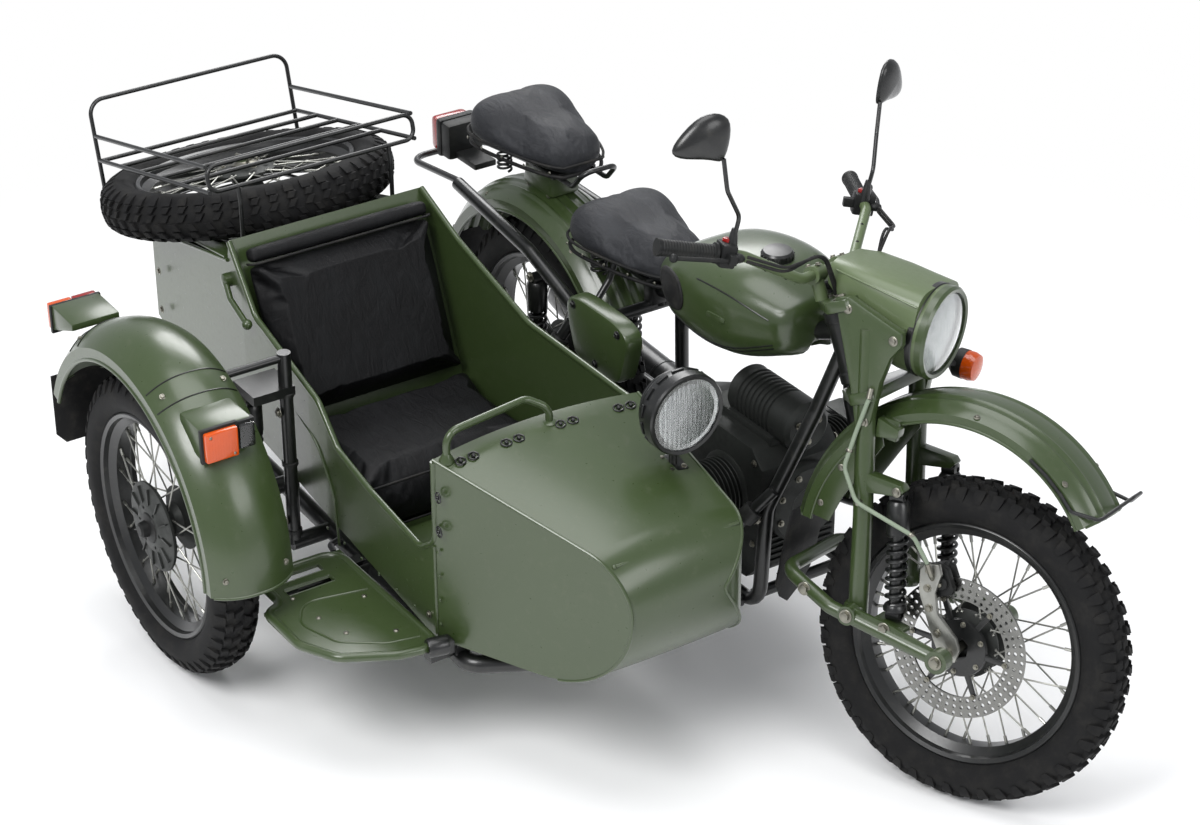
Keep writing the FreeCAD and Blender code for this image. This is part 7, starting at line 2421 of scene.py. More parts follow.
def stuffed(form: Form, cap: float, pressure: float, voxel: float, held: Callable[[Vector], bool]) -> Form:
    """Args:
        form: closed pad, a little smaller than it ends up.
        cap: the furthest that a point may move.
        pressure: of the filling.
        voxel: size of the remesh.
        held: whether a point, in millimetres, keeps its place.

    Returns:
        The swollen pad, subdivided once.
    """
    mesh = bpy.data.meshes.new("pad")
    bmesh.ops.remove_doubles(form.mesh, verts=form.mesh.verts, dist=0.01)
    bmesh.ops.recalc_face_normals(form.mesh, faces=form.mesh.faces)
    form.mesh.transform(Matrix.Scale(MM, 4))
    form.mesh.to_mesh(mesh)
    form.mesh.free()
    holder = linked("pad", mesh)
    remesh = holder.modifiers.new("remesh", "REMESH")
    remesh.mode = "VOXEL"
    remesh.voxel_size = voxel * MM
    plain = evaluated_mesh(holder)
    holder.modifiers.clear()
    holder.data = plain
    start = [vert.co.copy() for vert in plain.vertices]
    group = holder.vertex_groups.new(name="held")
    group.add([vert.index for vert in plain.vertices if held(vert.co / MM)], 1.0, "REPLACE")
    cloth = holder.modifiers.new("cloth", "CLOTH")
    cloth.settings.use_pressure = True
    cloth.settings.uniform_pressure_force = pressure
    cloth.settings.effector_weights.gravity = 0.0
    cloth.settings.vertex_group_mass = "held"
    cloth.settings.quality = 4
    cloth.point_cache.frame_end = 20
    for step in range(1, 21):
        bpy.context.scene.frame_set(step)
    swollen = evaluated_mesh(holder)
    holder.modifiers.clear()
    holder.data = swollen
    bpy.context.scene.frame_set(1)
    for vert, origin in zip(swollen.vertices, start):
        move = vert.co - origin
        if move.length > cap * MM:
            vert.co = origin + move.normalized() * cap * MM
    smooth = holder.modifiers.new("smooth", "SUBSURF")
    smooth.levels = smooth.render_levels = 1
    result = Form()
    result.mesh.from_mesh(evaluated_mesh(holder))
    result.mesh.transform(Matrix.Scale(1.0 / MM, 4))
    bpy.data.objects.remove(holder)
    return result


@dataclass
class Saddle(Assembly):
    """Sprung rubber saddle with piping and a skirt."""

    name: str
    place: tuple[float, float]
    length: float = 340.0
    width: float = 270.0
    height: float = 118.0

    def half(self, share: float) -> float:
        """Half width at a share of the length from the back."""
        return self.width / 2.0 * along(((0.0, 0.62), (0.06, 0.86), (0.2, 0.985), (0.45, 0.91), (0.7, 0.76),
                                         (0.9, 0.58), (1.0, 0.4)), share)

    def top(self, share: float) -> float:
        """Height of the crown at a share of the length."""
        return self.height * along(((0.0, 0.8), (0.12, 0.98), (0.3, 0.97), (0.55, 0.84), (0.8, 0.82),
                                    (0.94, 0.78), (1.0, 0.62)), share)

    def outline(self, grow: float, level: float, steps: int = 60) -> list[Vector]:
        """Plan outline at a height, scaled about its middle line.

        Args:
            grow: scale of the outline.
            level: height.
            steps: points on a side.

        Returns:
            The points.
        """
        points = []
        for side in (1.0, -1.0):
            for index in range(steps + 1):
                share = index / steps if side > 0 else 1.0 - index / steps
                x = blend(-self.length / 2.0, self.length / 2.0,
                          0.5 + (share - 0.5) * (1.0 - (1.0 - grow) * 0.6))
                points.append(Vector((x, side * self.half(share) * grow, level)))
        return points

    def dress(self) -> None:
        """Build the cover, its piping and the rivets of its skirt."""
        rings = []
        steps = 44
        for index in range(steps + 1):
            share = index / steps
            x = blend(-self.length / 2.0 + 6.0, self.length / 2.0 - 6.0, share)
            end = min(share, 1.0 - share)
            shrink = (1.0 - max(0.0, 1.0 - end / 0.08) ** 2) ** 0.5 * 0.7 + 0.3
            half, top = (self.half(share) - 8.0) * shrink, (self.top(share) - 10.0) * (0.55 + 0.45 * shrink)
            ring = []
            for k in range(40):
                u, v = bowed(2.0 * pi * k / 40, 0.62)
                ring.append((x, half * u * (1.0 - 0.06 * max(v, 0.0)), 4.0 + (top - 4.0) * (0.5 + 0.5 * v)))
            rings.append(ring)
        pad = stuffed(Form().skin(rings), 9.0, 3.0, 5.0, lambda co: co.z < 7.0)
        berth = self.berth.moved((self.place[0], 0.0, self.place[1]))
        for vert in pad.mesh.verts:
            vert.co.z = max(vert.co.z, 0.8)
            vert.co.x = min(max(vert.co.x, -self.length / 2.0), self.length / 2.0)
        cover = settle(pad, f"{self.name}_cover", Look.SADDLE, berth, (self.name,), 80.0)
        trim = Form().tube(self.outline(0.97, 30.0), 3.4, 0.0, 8, loop=True)
        trim.tube(self.outline(0.93, 5.0), 4.6, 0.0, 8, loop=True)
        settle(trim, f"{self.name}_piping", Look.RUBBER, berth)
        places = [(point, (point.x * 0.2, point.y, 0.0)) for point in self.outline(0.985, 15.0)[6::12]]
        settle(studs(rivet(4.0, 2.0), places), f"{self.name}_rivets", Look.ZINC, berth)


# ---------------------------------------------------------------- sidecar

@dataclass
class SidecarBody(Assembly):
    """Tub with its rolled edges, crowned nose deck, upholstery and lid."""

    lid: Berth
    cowl: tuple[float, float] = (820.0, 712.0)
    slope: float = -0.2967
    nose_arc: tuple[float, float] = (1115.0, 489.0)
    nose_radius: float = 130.0
    foot_arc: tuple[float, float] = (1045.0, 486.0)
    foot_radius: float = 200.0
    corner: tuple[float, float] = (1165.0, -400.0)
    corner_radius: float = 80.0
    wall_y: tuple[float, float] = (-817.0, -323.0)
    back_foot: tuple[float, float] = (154.0, 350.0)

    def deck_z(self, x: float) -> float:
        """Height of the flat deck under its cover."""
        return self.cowl[1] + self.slope * (x - self.cowl[0])

    def side_y(self, x: float) -> tuple[float, float]:
        """Outer and inner side of the nose at a length.

        Args:
            x: the length.

        Returns:
            Outer and inner Y.
        """
        outer = blend(-820.0, -626.0, (x - 820.0) / 425.0)
        past = min(max(x - self.corner[0], 0.0), self.corner_radius)
        return outer, self.corner[1] + sqrt(self.corner_radius ** 2 - past ** 2)

    def nose_line(self) -> list[tuple[float, float, float]]:
        """Points of the nose from the cowl to the underside: x, z and the angle that faces out.

        Returns:
            The points.
        """
        points = [(x, self.deck_z(x), 73.5) for x in range(819, 1150, 19)]
        for centre, radius, turns in ((self.nose_arc, self.nose_radius, range(73, -1, -3)),
                                      (self.foot_arc, self.foot_radius, range(-3, -80, -3))):
            places = [(spot(*centre, turn, radius), float(turn)) for turn in turns]
            points += [(place.x, place.z, turn) for place, turn in places]
        return points

    def deck(self) -> None:
        """Crowned cover over the nose, with an arched rear edge and a pressed bead."""
        rings, steps = [], 28
        line = self.nose_line()
        for index, (x, z, turn) in enumerate(line):
            out = spot(0.0, 0.0, turn, 1.0)
            outer, inner = self.side_y(x)
            fade = 1.0 - 0.8 * ease((73.5 - turn) / 60.0)
            tops, unders = [], []
            for k in range(steps + 1):
                share = k / steps
                crown = 15.0 * fade * (1.0 - abs(2.0 * share - 1.0) ** 2.0)
                back = 16.0 * (1.0 - (2.0 * share - 1.0) ** 2) if index == 0 else 0.0
                y = blend(outer + 1.5, inner - 1.5, share)
                tops.append(Vector((x - back, y, z)) + out * (1.6 + crown))
                unders.append(Vector((x - back, y, z)) + out * (crown - 1.2))
            rings.append(tops + unders[::-1])
        form = Form().skin(rings)
        for side, out in ((0, 2.0), (1, -2.0)):
            edge = [Vector((x, self.side_y(x)[side] + out, z)) + spot(0, 0, turn, 1.4)
                    for x, z, turn in line]
            form.tube(edge, 3.6, 0.0, 10)
        self.put(form, "nose_deck_cover", Look.GREEN)
        bead = spot(*self.nose_arc, 52.0, self.nose_radius + 3.0)
        outer, inner = self.side_y(bead.x)
        raised = Form().tube([(bead.x, outer + 14.0, bead.z), (bead.x, outer + 130.0, bead.z + 2.0),
                              (bead.x, inner - 130.0, bead.z + 2.0), (bead.x, inner - 8.0, bead.z)], 4.0,
                             90.0, 12)
        raised.ball((bead.x, outer + 14.0, bead.z), 5.4, detail=2)
        self.put(raised, "nose_cross_bead", Look.GREEN)

    def edges(self) -> None:
        """Rolled tube round the doorway, seams and beads of the panels."""
        outer_y, inner_y = self.wall_y
        form = Form()
        form.tube([(-50.0, -811.0, 838.0), (60.0, -813.0, 701.0), (340.0, outer_y, 623.0),
                   (420.0, outer_y, 541.0), (560.0, outer_y, 507.0), (760.0, outer_y, 477.0),
                   (820.0, outer_y, 521.0), (820.0, outer_y, 709.0)], 7.0, 46.0, 14)
        form.tube([(-50.0, inner_y, 838.0), (110.0, inner_y, 771.0), (400.0, inner_y, 691.0),
                   (819.0, inner_y, 687.0), (822.0, inner_y, 708.0)], 7.0, 90.0, 14)
        form.tube([(820.0, outer_y - 4.0, 512.0), (820.0, outer_y - 4.0, 300.0)], 3.6, 0.0, 10)
        rise = tan(radians(LID_TILT_DEG))
        line = [(-496.0, -792.0), (-200.0, -804.0), (-62.0, -811.0)]
        form.tube([(x, y - 1.0, 672.0 + (x + 530.0) * rise) for x, y in line], 4.4, 34.0, 10)
        inner = [(-497.0, -342.0), (-200.0, -329.0), (-62.0, -321.0)]
        form.tube([(x, y + 1.0, 672.0 + (x + 530.0) * rise) for x, y in inner], 4.4, 20.0, 10)
        arch = [(410.0, 300.0), (396.0, 420.0), (330.0, 520.0), (210.0, 556.0), (40.0, 566.0),
                (-120.0, 548.0), (-300.0, 440.0)]
        form.tube([(x, -821.0 if x > 250 else blend(-816.0, -797.0, (250.0 - x) / 550.0), z)
                   for x, z in arch], 3.0, 90.0, 8)
        self.put(form, "tub_rolled_edges", Look.GREEN)
        coat(Look.GREEN, "tub_shell", "tub_nose", "trunk_lid")

    def fasteners(self) -> None:
        """Turn buttons along the cowl, rivets and bolts of the body."""
        button = Form().tube([(0.0, -13.0, 2.4), (9.0, -6.0, 2.4), (9.0, 6.0, 2.4), (0.0, 13.0, 2.4),
                              (-9.0, 6.0, 2.4), (-9.0, -6.0, 2.4)], 2.0, 6.0, 8, loop=True)
        button.lathe([(4.6, 0.0), (4.6, 4.0), (3.4, 6.0), (0.0, 6.4)], 14, axis=UP)
        up, places = Vector((0.28, 0.0, 0.96)), []
        outer, inner, panel = -820.0, -320.0, -821.0
        for y in (-772.0, -742.0, -664.0, -634.0, -534.0, -504.0, -392.0, -362.0):
            share = (y - outer) / (inner - outer)
            crown = 15.0 * (1.0 - (2.0 * share - 1.0) ** 2)
            places.append(((851.0, y, self.deck_z(851.0) + 1.6 + crown * 0.97), up))
        places += [((846.0, panel - 0.5, z), RIGHT) for z in (640.0, 560.0)]
        self.put(studs(button, places, 0.5), "turn_buttons", Look.BLACK)
        rivets = [((x, panel, 318.0), RIGHT) for x in range(360, 800, 74)]
        rivets += [((834.0, panel + 0.5, z), RIGHT) for z in range(330, 620, 58)]
        self.put(studs(rivet(4.2, 2.2), rivets), "body_rivets", Look.GREEN)
        bolts = [((790.0, panel, 330.0), RIGHT), ((-440.0, -805.0, 500.0), RIGHT),
                 ((-440.0, -805.0, 600.0), RIGHT), ((1000.0, -344.0, self.deck_z(1000.0) + 2.0), up),
                 ((1046.0, -400.0, self.deck_z(1046.0) + 4.0), up)]
        self.bolted("body_bolts", 6.0, 5.0, bolts)
        lever = Form().tube([(-60.0, -822.0, 742.0), (-20.0, -832.0, 716.0), (52.0, -834.0, 690.0)], 7.0,
                            26.0, 12)
        lever.ball((58.0, -834.0, 688.0), 12.0)
        lever.lathe([(0.0, -808.0), (16.0, -808.0), (16.0, -826.0), (9.0, -829.0), (0.0, -829.0)], 24,
                    (-60.0, 0, 742.0))
        self.put(lever, "door_strap_lever", Look.GREEN)

    def bar(self) -> None:
        """Grab bar across the cowl."""
        x = 834.0
        foot = self.deck_z(x)
        form = Form().tube([(x, -794.0, foot), (x, -794.0, 774.0), (810.0, -590.0, 778.0),
                            (x, -550.0, 756.0), (x, -550.0, foot + 4.0)], 8.0, 30.0, 16)
        for y in (-794.0, -550.0):
            form.lathe([(0.0, foot - 1.0), (16.0, foot - 1.0),
                        (16.0, foot + 3.0 + (12.0 if y > -600 else 2.0)), (8.0, foot + 20.0),
                        (0.0, foot + 20.0)], 28, (x, y, 0), UP)
        self.put(form, "cowl_grab_bar_bent", Look.GREEN, "cowl_grab_bar")

    def upholstery(self) -> None:
        """Seat cushion and seat back with its top band and seams."""
        outline = [(150.0, 397.0), (480.0, 348.0), (480.0, 458.0), (150.0, 468.0)]
        pad = stuffed(Form().slab(outline, -796.0, -338.0, "Y", 16.0), 22.0, 4.0, 6.0,
                      lambda co: co.z < 398.0 - 0.149 * (co.x - 150.0))
        for vert in pad.mesh.verts:
            vert.co.x, vert.co.z = min(vert.co.x, 494.0), min(vert.co.z, 482.0)
            vert.co.y = min(max(vert.co.y, -808.0), -328.0)
        settle(pad, "seat_cushion_cover", Look.SEAT, self.berth, ("seat_cushion",), 80.0)
        lean = Matrix(((-0.3876, 0.0, 0.9219), (0.0, 1.0, 0.0), (0.9219, 0.0, 0.3876))).to_4x4()
        back = self.berth.moved((self.back_foot[0], 0.0, self.back_foot[1]), lean)
        form = Form().block((116.0, 470.0), (-792.0, -342.0), (15.0, 60.0), 14.0)
        panel = stuffed(form, 22.0, 4.0, 6.0, lambda co: co.z < 18.0)
        for vert in panel.mesh.verts:
            vert.co.z = min(max(vert.co.z, 13.5), 76.0)
            vert.co.y = min(max(vert.co.y, -802.0), -332.0)
        settle(panel, "seat_back_cover", Look.SEAT, back, ("seat_back",), 80.0)
        top = stuffed(Form().block((474.0, 506.0), (-790.0, -344.0), (15.0, 54.0), 12.0), 8.0, 3.0, 5.0,
                      lambda co: co.z < 18.0)
        settle(top, "seat_back_top_band", Look.SEAT, back, (), 80.0)
        run = ((-790.0, 20.0), (-792.0, 50.0), (-780.0, 62.0), (-354.0, 62.0), (-342.0, 50.0),
               (-344.0, 20.0))
        seam = Form().tube([(472.0, y, z) for y, z in run], 2.6, 10.0, 8)
        settle(seam, "seat_back_piping", Look.RUBBER, back)
        edge = Form()
        for z, radius in ((462.0, 3.0), (356.0, 2.6)):
            edge.tube([(486.0, -788.0, z), (486.0, -346.0, z)], radius, 0.0, 8)
        self.put(edge, "cushion_piping", Look.RUBBER)

    def lid_trim(self) -> None:
        """Rolled lip of the lid, its side beads and the latch."""
        form = Form().tube([(478.0, -806.0, -3.0), (478.0, -328.0, -3.0)], 7.0, 0.0, 14)
        for start, end in (((14.0, -761.0), (472.0, -811.0)), ((14.0, -373.0), (472.0, -323.0)),
                           ((15.0, -758.0), (15.0, -376.0))):
            form.tube([(*start, -4.0), (*end, -4.0)], 4.4, 0.0, 10)
        for y in (-700.0, -567.0, -434.0):
            form.tube([(60.0, y, 0.6), (430.0, y, 0.6)], 3.0, 0.0, 8)
        settle(form, "lid_rolled_lip", Look.GREEN, self.lid)
        latch = Form().block((446.0, 488.0), (-362.0, -334.0), (0.0, 12.0), 3.0)
        latch.block((482.0, 492.0), (-358.0, -338.0), (-26.0, 10.0), 2.5)
        latch.tube([(460.0, -348.0, 12.0), (470.0, -348.0, 22.0), (484.0, -348.0, 20.0)], 4.0, 8.0, 10)
        settle(latch, "lid_latch", Look.BLACK, self.lid)

    def dress(self) -> None:
        """Build every piece of the body."""
        self.deck()
        self.edges()
        self.fasteners()
        self.bar()
        self.upholstery()
        self.lid_trim()


@dataclass
class SidecarChassis(Assembly):
    """The sidecar's frame, guard, lamps, footboard and spot lamp."""

    guard: Guard = field(default_factory=lambda: SIDECAR_GUARD)
    lamp: tuple[float, float, float] = (1020.0, -372.0, 792.0)

    def frame(self) -> None:
        """Tubes as they are in the frame, with clamps and bolts."""
        coat(Look.BLACK, "sidecar_frame", "sidecar_swing_arm")
        clamps, places = Form(), []
        ties = (((420.0, -362.0, 240.0), (420.0, -148.0, 215.0), 0.82),
                ((960.0, -362.0, 240.0), (960.0, -148.0, 215.0), 0.82),
                ((900.0, -332.0, 240.0), (1040.0, -128.0, 520.0), 0.8),
                ((230.0, -362.0, 270.0), (300.0, -148.0, 600.0), 0.85))
        for start, end, reach in ties:
            a, b = Vector(start), Vector(end)
            middle, way = a.lerp(b, reach), (b - a).normalized()
            clamps.lathe([(14.0, -16.0), (21.0, -16.0), (22.0, -12.0), (22.0, 12.0), (21.0, 16.0),
                          (14.0, 16.0)], 28, middle, way, True)
            places.append((middle + way.orthogonal().normalized() * 21.0, way.orthogonal()))
        post = (300.0, -872.0)
        for z in (300.0, 470.0, 640.0):
            clamps.lathe([(15.0, z - 5.0), (18.0, z - 4.0), (18.0, z + 4.0), (15.0, z + 5.0)], 24,
                         (*post, 0), UP, True)
        self.put(clamps, "frame_clamps", Look.SATIN)
        places += [((post[0], post[1] - 19.0, z), RIGHT) for z in (330.0, 600.0)]
        places += [((480.0, -1013.0, 264.0), RIGHT), ((179.0, -1008.0, AXLE_Z), LEFT)]
        self.bolted("sidecar_frame_bolts", 8.0, 7.0, places)

    def fender(self) -> None:
        """Guard with rolled edges, its seams and bolts."""
        guard = self.guard
        self.put(guard.form(84), "sidecar_guard_pressed", Look.GREEN, "sidecar_fender")
        seams = Form()
        for turn in (62.0, 70.0, 122.0, 130.0):
            seams.tube([guard.at(share / 20.0, turn, 0.4) for share in range(-19, 20)], 1.6, 0.0, 6)
        self.put(seams, "sidecar_guard_seams", Look.BLACK)
        places = [(guard.at(side * 0.72, turn, 0.5), guard.out(turn)) for side in SIDES
                  for turn in (6.0, 66.0, 126.0, 152.0)]
        self.bolted("sidecar_guard_bolts", 5.0, 4.5, places)

    def lamps(self) -> None:
        """Front and rear lamp of the sidecar on their green housings."""
        box = Form().block((403.0, 500.0), (-1171.0, -1054.0), (667.0, 739.0), 8.0)
        box.slab([(-226.0, 646.0), (-120.0, 690.0), (-120.0, 706.0), (-226.0, 708.0)], -1166.0, -1052.0, "Y",
                 4.0)
        self.put(box, "lamp_housings", Look.GREEN, "sidecar_lamps")
        rims = Form().block((497.0, 507.0), (-1175.0, -1090.0), (664.0, 742.0), 3.0)
        rims.block((-232.0, -222.0), (-1170.0, -1048.0), (640.0, 708.0), 3.0)
        rims.block((486.0, 504.0), (-1094.0, -1050.0), (672.0, 737.0), 3.0)
        self.put(rims, "lamp_rims", Look.PLASTIC)
        amber = Form().block((504.0, 520.0), (-1169.0, -1096.0), (670.0, 736.0), 4.0)
        amber.block((-252.0, -230.0), (-1166.0, -1110.0), (644.0, 704.0), 4.0)
        self.put(amber, "amber_lamp_lenses", Look.AMBER)
        self.put(Form().block((-252.0, -230.0), (-1108.0, -1052.0), (644.0, 704.0), 4.0), "red_lamp_lens",
                 Look.RED)
        self.put(Form().block((500.0, 514.0), (-1090.0, -1054.0), (677.0, 732.0), 5.0), "clear_lamp_lens",
                 Look.GLASS)
        places = [((520.0, y, z), AHEAD) for y, z in ((-1158.0, 728.0), (-1106.0, 678.0))]
        places += [((-252.0, y, 696.0), BACK) for y in (-1158.0, -1060.0)]
        self.put(studs(rivet(3.4, 1.8), places), "lamp_screws", Look.ZINC)

    def footboard(self) -> None:
        """Rolled rim, slot edges, rivets and the front clamp of the footboard."""
        coat(Look.GREEN, "footboard")
        outline = [(430.0, -840.0), (430.0, -1036.0), (546.0, -1036.0), (560.0, -1080.0), (700.0, -1080.0),
                   (786.0, -1036.0), (845.0, -930.0), (864.0, -840.0)]
        form = Form().tube([(x, y, 300.0) for x, y in outline], 10.0, 44.0, 16, loop=True)
        for x in (468.0, 518.0):
            corners = ((-14.0, -1012.0), (14.0, -1012.0), (14.0, -898.0), (-14.0, -898.0))
            form.tube([(x + reach, y, 303.0) for reach, y in corners], 1.8, 5.0, 8, loop=True)
        ridge = [(600.0, -860.0), (570.0, -1000.0), (640.0, -1044.0), (740.0, -1012.0), (800.0, -930.0),
                 (816.0, -860.0)]
        form.tube([(x, y, 303.4) for x, y in ridge], 3.0, 50.0, 8)
        self.put(form, "footboard_rolled_rim", Look.GREEN)
        places = [((x, y, 304.0), UP)
                  for x, y in ((620.0, -880.0), (640.0, -1000.0), (720.0, -980.0), (770.0, -890.0),
                               (545.0, -1010.0))]
        self.put(studs(rivet(6.0, 3.0), places), "footboard_rivets", Look.ZINC)
        clamp = Form().lathe([(11.0, -22.0), (19.0, -22.0), (21.0, -16.0), (21.0, 16.0), (19.0, 22.0),
                              (11.0, 22.0)], 28, (862.0, -846.0, 300.0), (0.2, 1, 0), True)
        clamp.block((846.0, 878.0), (-834.0, -812.0), (280.0, 312.0), 5.0)
        clamp.tube([(430.0, -846.0, 300.0), (392.0, -834.0, 296.0), (372.0, -800.0, 288.0)], 7.0, 20.0, 12)
        self.put(clamp, "footboard_clamps", Look.BLACK)

    def spot_lamp(self) -> None:
        """Spot lamp with a ribbed shell, bezel, reflector and glass."""
        x, y, z = self.lamp
        shell = [(0.0, -50.0), (26.0, -50.0), (44.0, -44.0), (58.0, -34.0), (60.0, -33.0), (60.0, -29.0),
                 (66.0, -24.0), (74.0, -14.0), (76.0, -13.0), (76.0, -9.0), (82.0, -2.0), (86.0, 4.0),
                 (86.0, 40.0), (80.0, 40.0), (80.0, 20.0), (0.0, -20.0)]
        form = Form().lathe(shell, 72, (x, y, z), AHEAD)
        form.lathe([(84.0, 22.0), (89.0, 24.0), (89.0, 46.0), (86.0, 50.0), (79.0, 49.0), (79.0, 40.0),
                    (84.0, 38.0)], 72, (x, y, z), AHEAD, True)
        vent = Form().block((-3.0, 3.0), (-14.0, 14.0), (83.5, 88.5), 1.4)
        turned = Matrix.Translation((x + 12.0, y, z))
        joined(form, row(vent, 14, turn=(360.0 / 14, 0.0, 0.0)).turned(turned))
        foot = 712.0 - 0.2967 * (x - 820.0)
        form.tube([(x, y, foot - 2.0), (x, y, z - 82.0)], 9.0, 0.0, 18)
        form.block((x - 26.0, x + 26.0), (y - 22.0, y + 22.0), (-3.0, 6.0), 2.5,
                   Matrix.Translation((0, 0, foot + 3.0)) @ Matrix.Translation((x, 0, 0))
                   @ Matrix.Rotation(0.289, 4, "Y") @ Matrix.Translation((-x, 0, 0)))
        form.slab([(x - 16.0, z - 96.0), (x + 16.0, z - 96.0), (x + 22.0, z - 80.0), (x - 22.0, z - 80.0)],
                  y - 14.0, y + 14.0, "Y", 3.0)
        self.put(form, "spot_lamp_shell", Look.BLACK, "spot_lamp")
        bowl = [(79.0, 44.0), (70.0, 24.0), (52.0, 4.0), (20.0, -12.0), (8.0, -14.0), (8.0, 6.0), (0.0, 9.0),
                (0.0, -17.0), (56.0, -2.0), (79.6, 24.0), (79.6, 40.0)]
        settle(Form().lathe(bowl, 20, (x, y, z), AHEAD), "spot_reflector", Look.SILVER, self.berth, (), 5.0)
        glass = [(0.0, 52.0), (34.0, 50.5), (62.0, 48.0), (78.6, 45.5), (78.6, 42.5), (60.0, 45.0),
                 (0.0, 49.0)]
        self.put(Form().lathe(glass, 64, (x, y, z), AHEAD), "spot_glass", Look.GLASS)
        places = [((x, y + side * 14.5, z - 88.0), (0, side, 0)) for side in SIDES]
        places += [((x + dx, y + dy, foot + 8.0 - 0.2967 * dx), (0.28, 0, 0.96)) for dx in (-18.0, 18.0)
                   for dy in (-15.0, 15.0)]
        self.bolted("spot_lamp_bolts", 4.5, 4.5, places)

    def dress(self) -> None:
        """Build every piece of the sidecar's chassis."""
        self.frame()
        self.fender()
        self.lamps()
        self.footboard()
        self.spot_lamp()


@dataclass
class Rack(Assembly):
    """Luggage hoop and basket on the lid, and what holds the spare wheel."""

    hub: tuple[float, float, float] = (148.0, -582.0, 64.6)

    def dress(self) -> None:
        """Coat the tubes and add clips, feet and the wheel's stud."""
        coat(Look.BLACK, "luggage_hoop", "luggage_basket")
        form = Form()
        for y in (-760.0, -380.0):
            for x in (60.0, 250.0, 430.0):
                form.block((x - 12.0, x + 12.0), (y - 9.0, y + 9.0), (0.0, 3.2), 1.0)
                form.tube([(x, y - 8.0, 1.0), (x, y - 8.0, 11.0), (x, y + 8.0, 11.0), (x, y + 8.0, 1.0)],
                          2.2, 6.0, 8)
        self.put(form, "rack_clips", Look.SATIN)
        x, y, z = self.hub
        nut = Form().lathe([(0.0, 44.0), (30.0, 44.0), (31.0, 47.0), (24.0, 50.0), (20.0, 54.0),
                            (20.0, 60.0), (0.0, 60.0)], 36, (x, y, z), UP)
        nut.tube([(x - 34.0, y, z + 62.0), (x + 34.0, y, z + 62.0)], 5.0, 0.0, 12)
        self.put(nut, "spare_wheel_nut", Look.ZINC)
        places = [((x + 50.0 * cos(t), y + 50.0 * sin(t), z + 43.0), UP)
                  for t in (radians(60.0 * k) for k in range(6))]
        places += [((cx, cy, 3.0), UP) for cx in (60.0, 250.0, 430.0) for cy in (-776.0, -364.0)]
        self.bolted("rack_bolts", 4.6, 4.6, places)


# ---------------------------------------------------------------- stage and camera

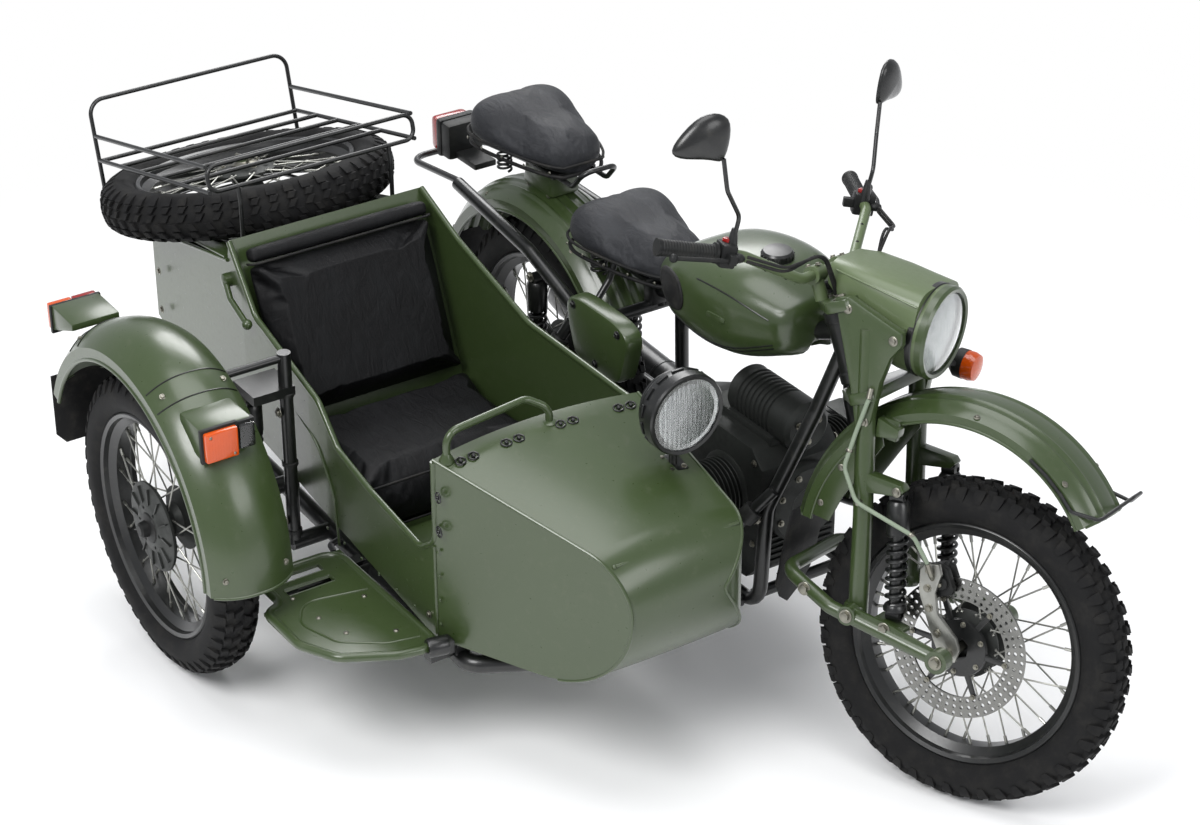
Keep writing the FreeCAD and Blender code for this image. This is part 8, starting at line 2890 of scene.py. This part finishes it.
@dataclass
class Stage:
    """Pale floor, soft lights and the camera."""

    eye: tuple[float, float, float] = (4.8817, -3.0702, 3.837)
    azimuth_deg: float = 56.48
    elevation_deg: float = 29.66
    roll_deg: float = -0.16
    lens_mm: float = 92.3

    def floor(self) -> None:
        """Pale floor that runs out of sight."""
        graph = Graph("studio floor")
        mottle = graph.noise(1.6, 3.0)
        surface = graph.principled(Base_Color=graph.mix(mottle, (0.93, 0.93, 0.93), (0.96, 0.96, 0.96)),
                                   Roughness=0.75)
        path = graph.node("ShaderNodeLightPath")
        white = graph.node("ShaderNodeEmission", None,
                           {"Color": (1.0, 1.0, 1.0, 1.0), "Strength": 1.0}).outputs[0]
        far = graph.node("ShaderNodeVectorMath", {"operation": "LENGTH"}, {0: graph.place})
        fade = Socket(graph, far.outputs["Value"]).between(1.1, 2.8)
        share = fade * Socket(graph, path.outputs["Is Camera Ray"])
        mixed = graph.node("ShaderNodeMixShader", None, {0: share, 1: surface, 2: white}).outputs[0]
        mesh = bpy.data.meshes.new("studio_floor")
        mesh.from_pydata([(-30, -30, -0.0015), (30, -30, -0.0015), (30, 30, -0.0015), (-30, 30, -0.0015)],
                         [], [(0, 1, 2, 3)])
        mesh.materials.append(graph.close(mixed))
        floor = linked("studio_floor", mesh)

    def lights(self) -> None:
        """Large soft boxes above and to the sides, and a white surround."""
        world = bpy.data.worlds.new("surround")
        bpy.context.scene.world = world
        world.use_nodes = True
        nodes, links = world.node_tree.nodes, world.node_tree.links
        nodes.clear()
        path = nodes.new("ShaderNodeLightPath")
        soft, white = nodes.new("ShaderNodeBackground"), nodes.new("ShaderNodeBackground")
        soft.inputs["Color"].default_value = (0.94, 0.96, 1.0, 1.0)
        soft.inputs["Strength"].default_value = 0.55
        white.inputs["Color"].default_value = (1.0, 1.0, 1.0, 1.0)
        mixed, out = nodes.new("ShaderNodeMixShader"), nodes.new("ShaderNodeOutputWorld")
        links.new(path.outputs["Is Camera Ray"], mixed.inputs[0])
        links.new(soft.outputs[0], mixed.inputs[1])
        links.new(white.outputs[0], mixed.inputs[2])
        links.new(mixed.outputs[0], out.inputs["Surface"])
        for name, place, size, power in (
            ("key", (1.5, -3.6, 4.6), 2.6, 215.0), ("front", (5.2, 1.2, 3.2), 2.6, 70.0),
            ("back", (-3.8, 2.2, 3.6), 2.6, 110.0), ("top", (0.0, 0.0, 5.4), 4.0, 130.0),
        ):
            lamp = bpy.data.lights.new(name, "AREA")
            lamp.shape = "DISK"
            lamp.size = size
            lamp.energy = power
            holder = linked(name, lamp)
            holder.location = place
            way = Vector((0.0, 0.0, 0.5)) - Vector(place)
            holder.rotation_euler = way.to_track_quat("-Z", "Y").to_euler()

    def camera(self) -> None:
        """Camera at the viewing angle."""
        data = bpy.data.cameras.new("camera")
        data.lens = self.lens_mm
        data.sensor_width = 36.0
        holder = linked("camera", data)
        azimuth, elevation = radians(self.azimuth_deg), radians(self.elevation_deg)
        turn = Matrix.Rotation(azimuth, 4, "Z") @ Matrix.Rotation(pi / 2.0 - elevation, 4, "X")
        turn = turn @ Matrix.Rotation(radians(self.roll_deg), 4, "Z")
        holder.matrix_world = Matrix.Translation(self.eye) @ turn
        bpy.context.scene.camera = holder

    def dress(self) -> None:
        """Set the stage."""
        self.floor()
        self.lights()
        self.camera()
        bpy.context.scene.view_settings.view_transform = "Standard"


def main() -> None:
    """Build every sub-assembly in order."""
    logging.basicConfig(level=logging.INFO, format="%(name)s %(message)s")
    chassis, steering = LAYOUT.chassis(), LAYOUT.steering()
    berths = LAYOUT.wheels()
    parts = [
        Wheel(berths["front"], "front", Drum.DISC),
        Wheel(berths["rear"], "rear"),
        Wheel(berths["sidecar"], "sidecar"),
        Wheel(berths["spare"], "spare", Drum.BARE),
        FrontEnd(steering),
        Cockpit(steering),
        Engine(chassis),
        Chassis(chassis),
        Tank(chassis),
        Saddle(chassis, "driver_seat", (378.0, 753.0)),
        Saddle(chassis, "passenger_seat", (-42.0, 853.0)),
        SidecarBody(chassis, LAYOUT.lid()),
        SidecarChassis(chassis),
        Rack(LAYOUT.lid()),
    ]
    for part in parts:
        part.dress()
        LOG.info("%s done", type(part).__name__)
    Stage().dress()


if __name__ == "__main__":
    main()
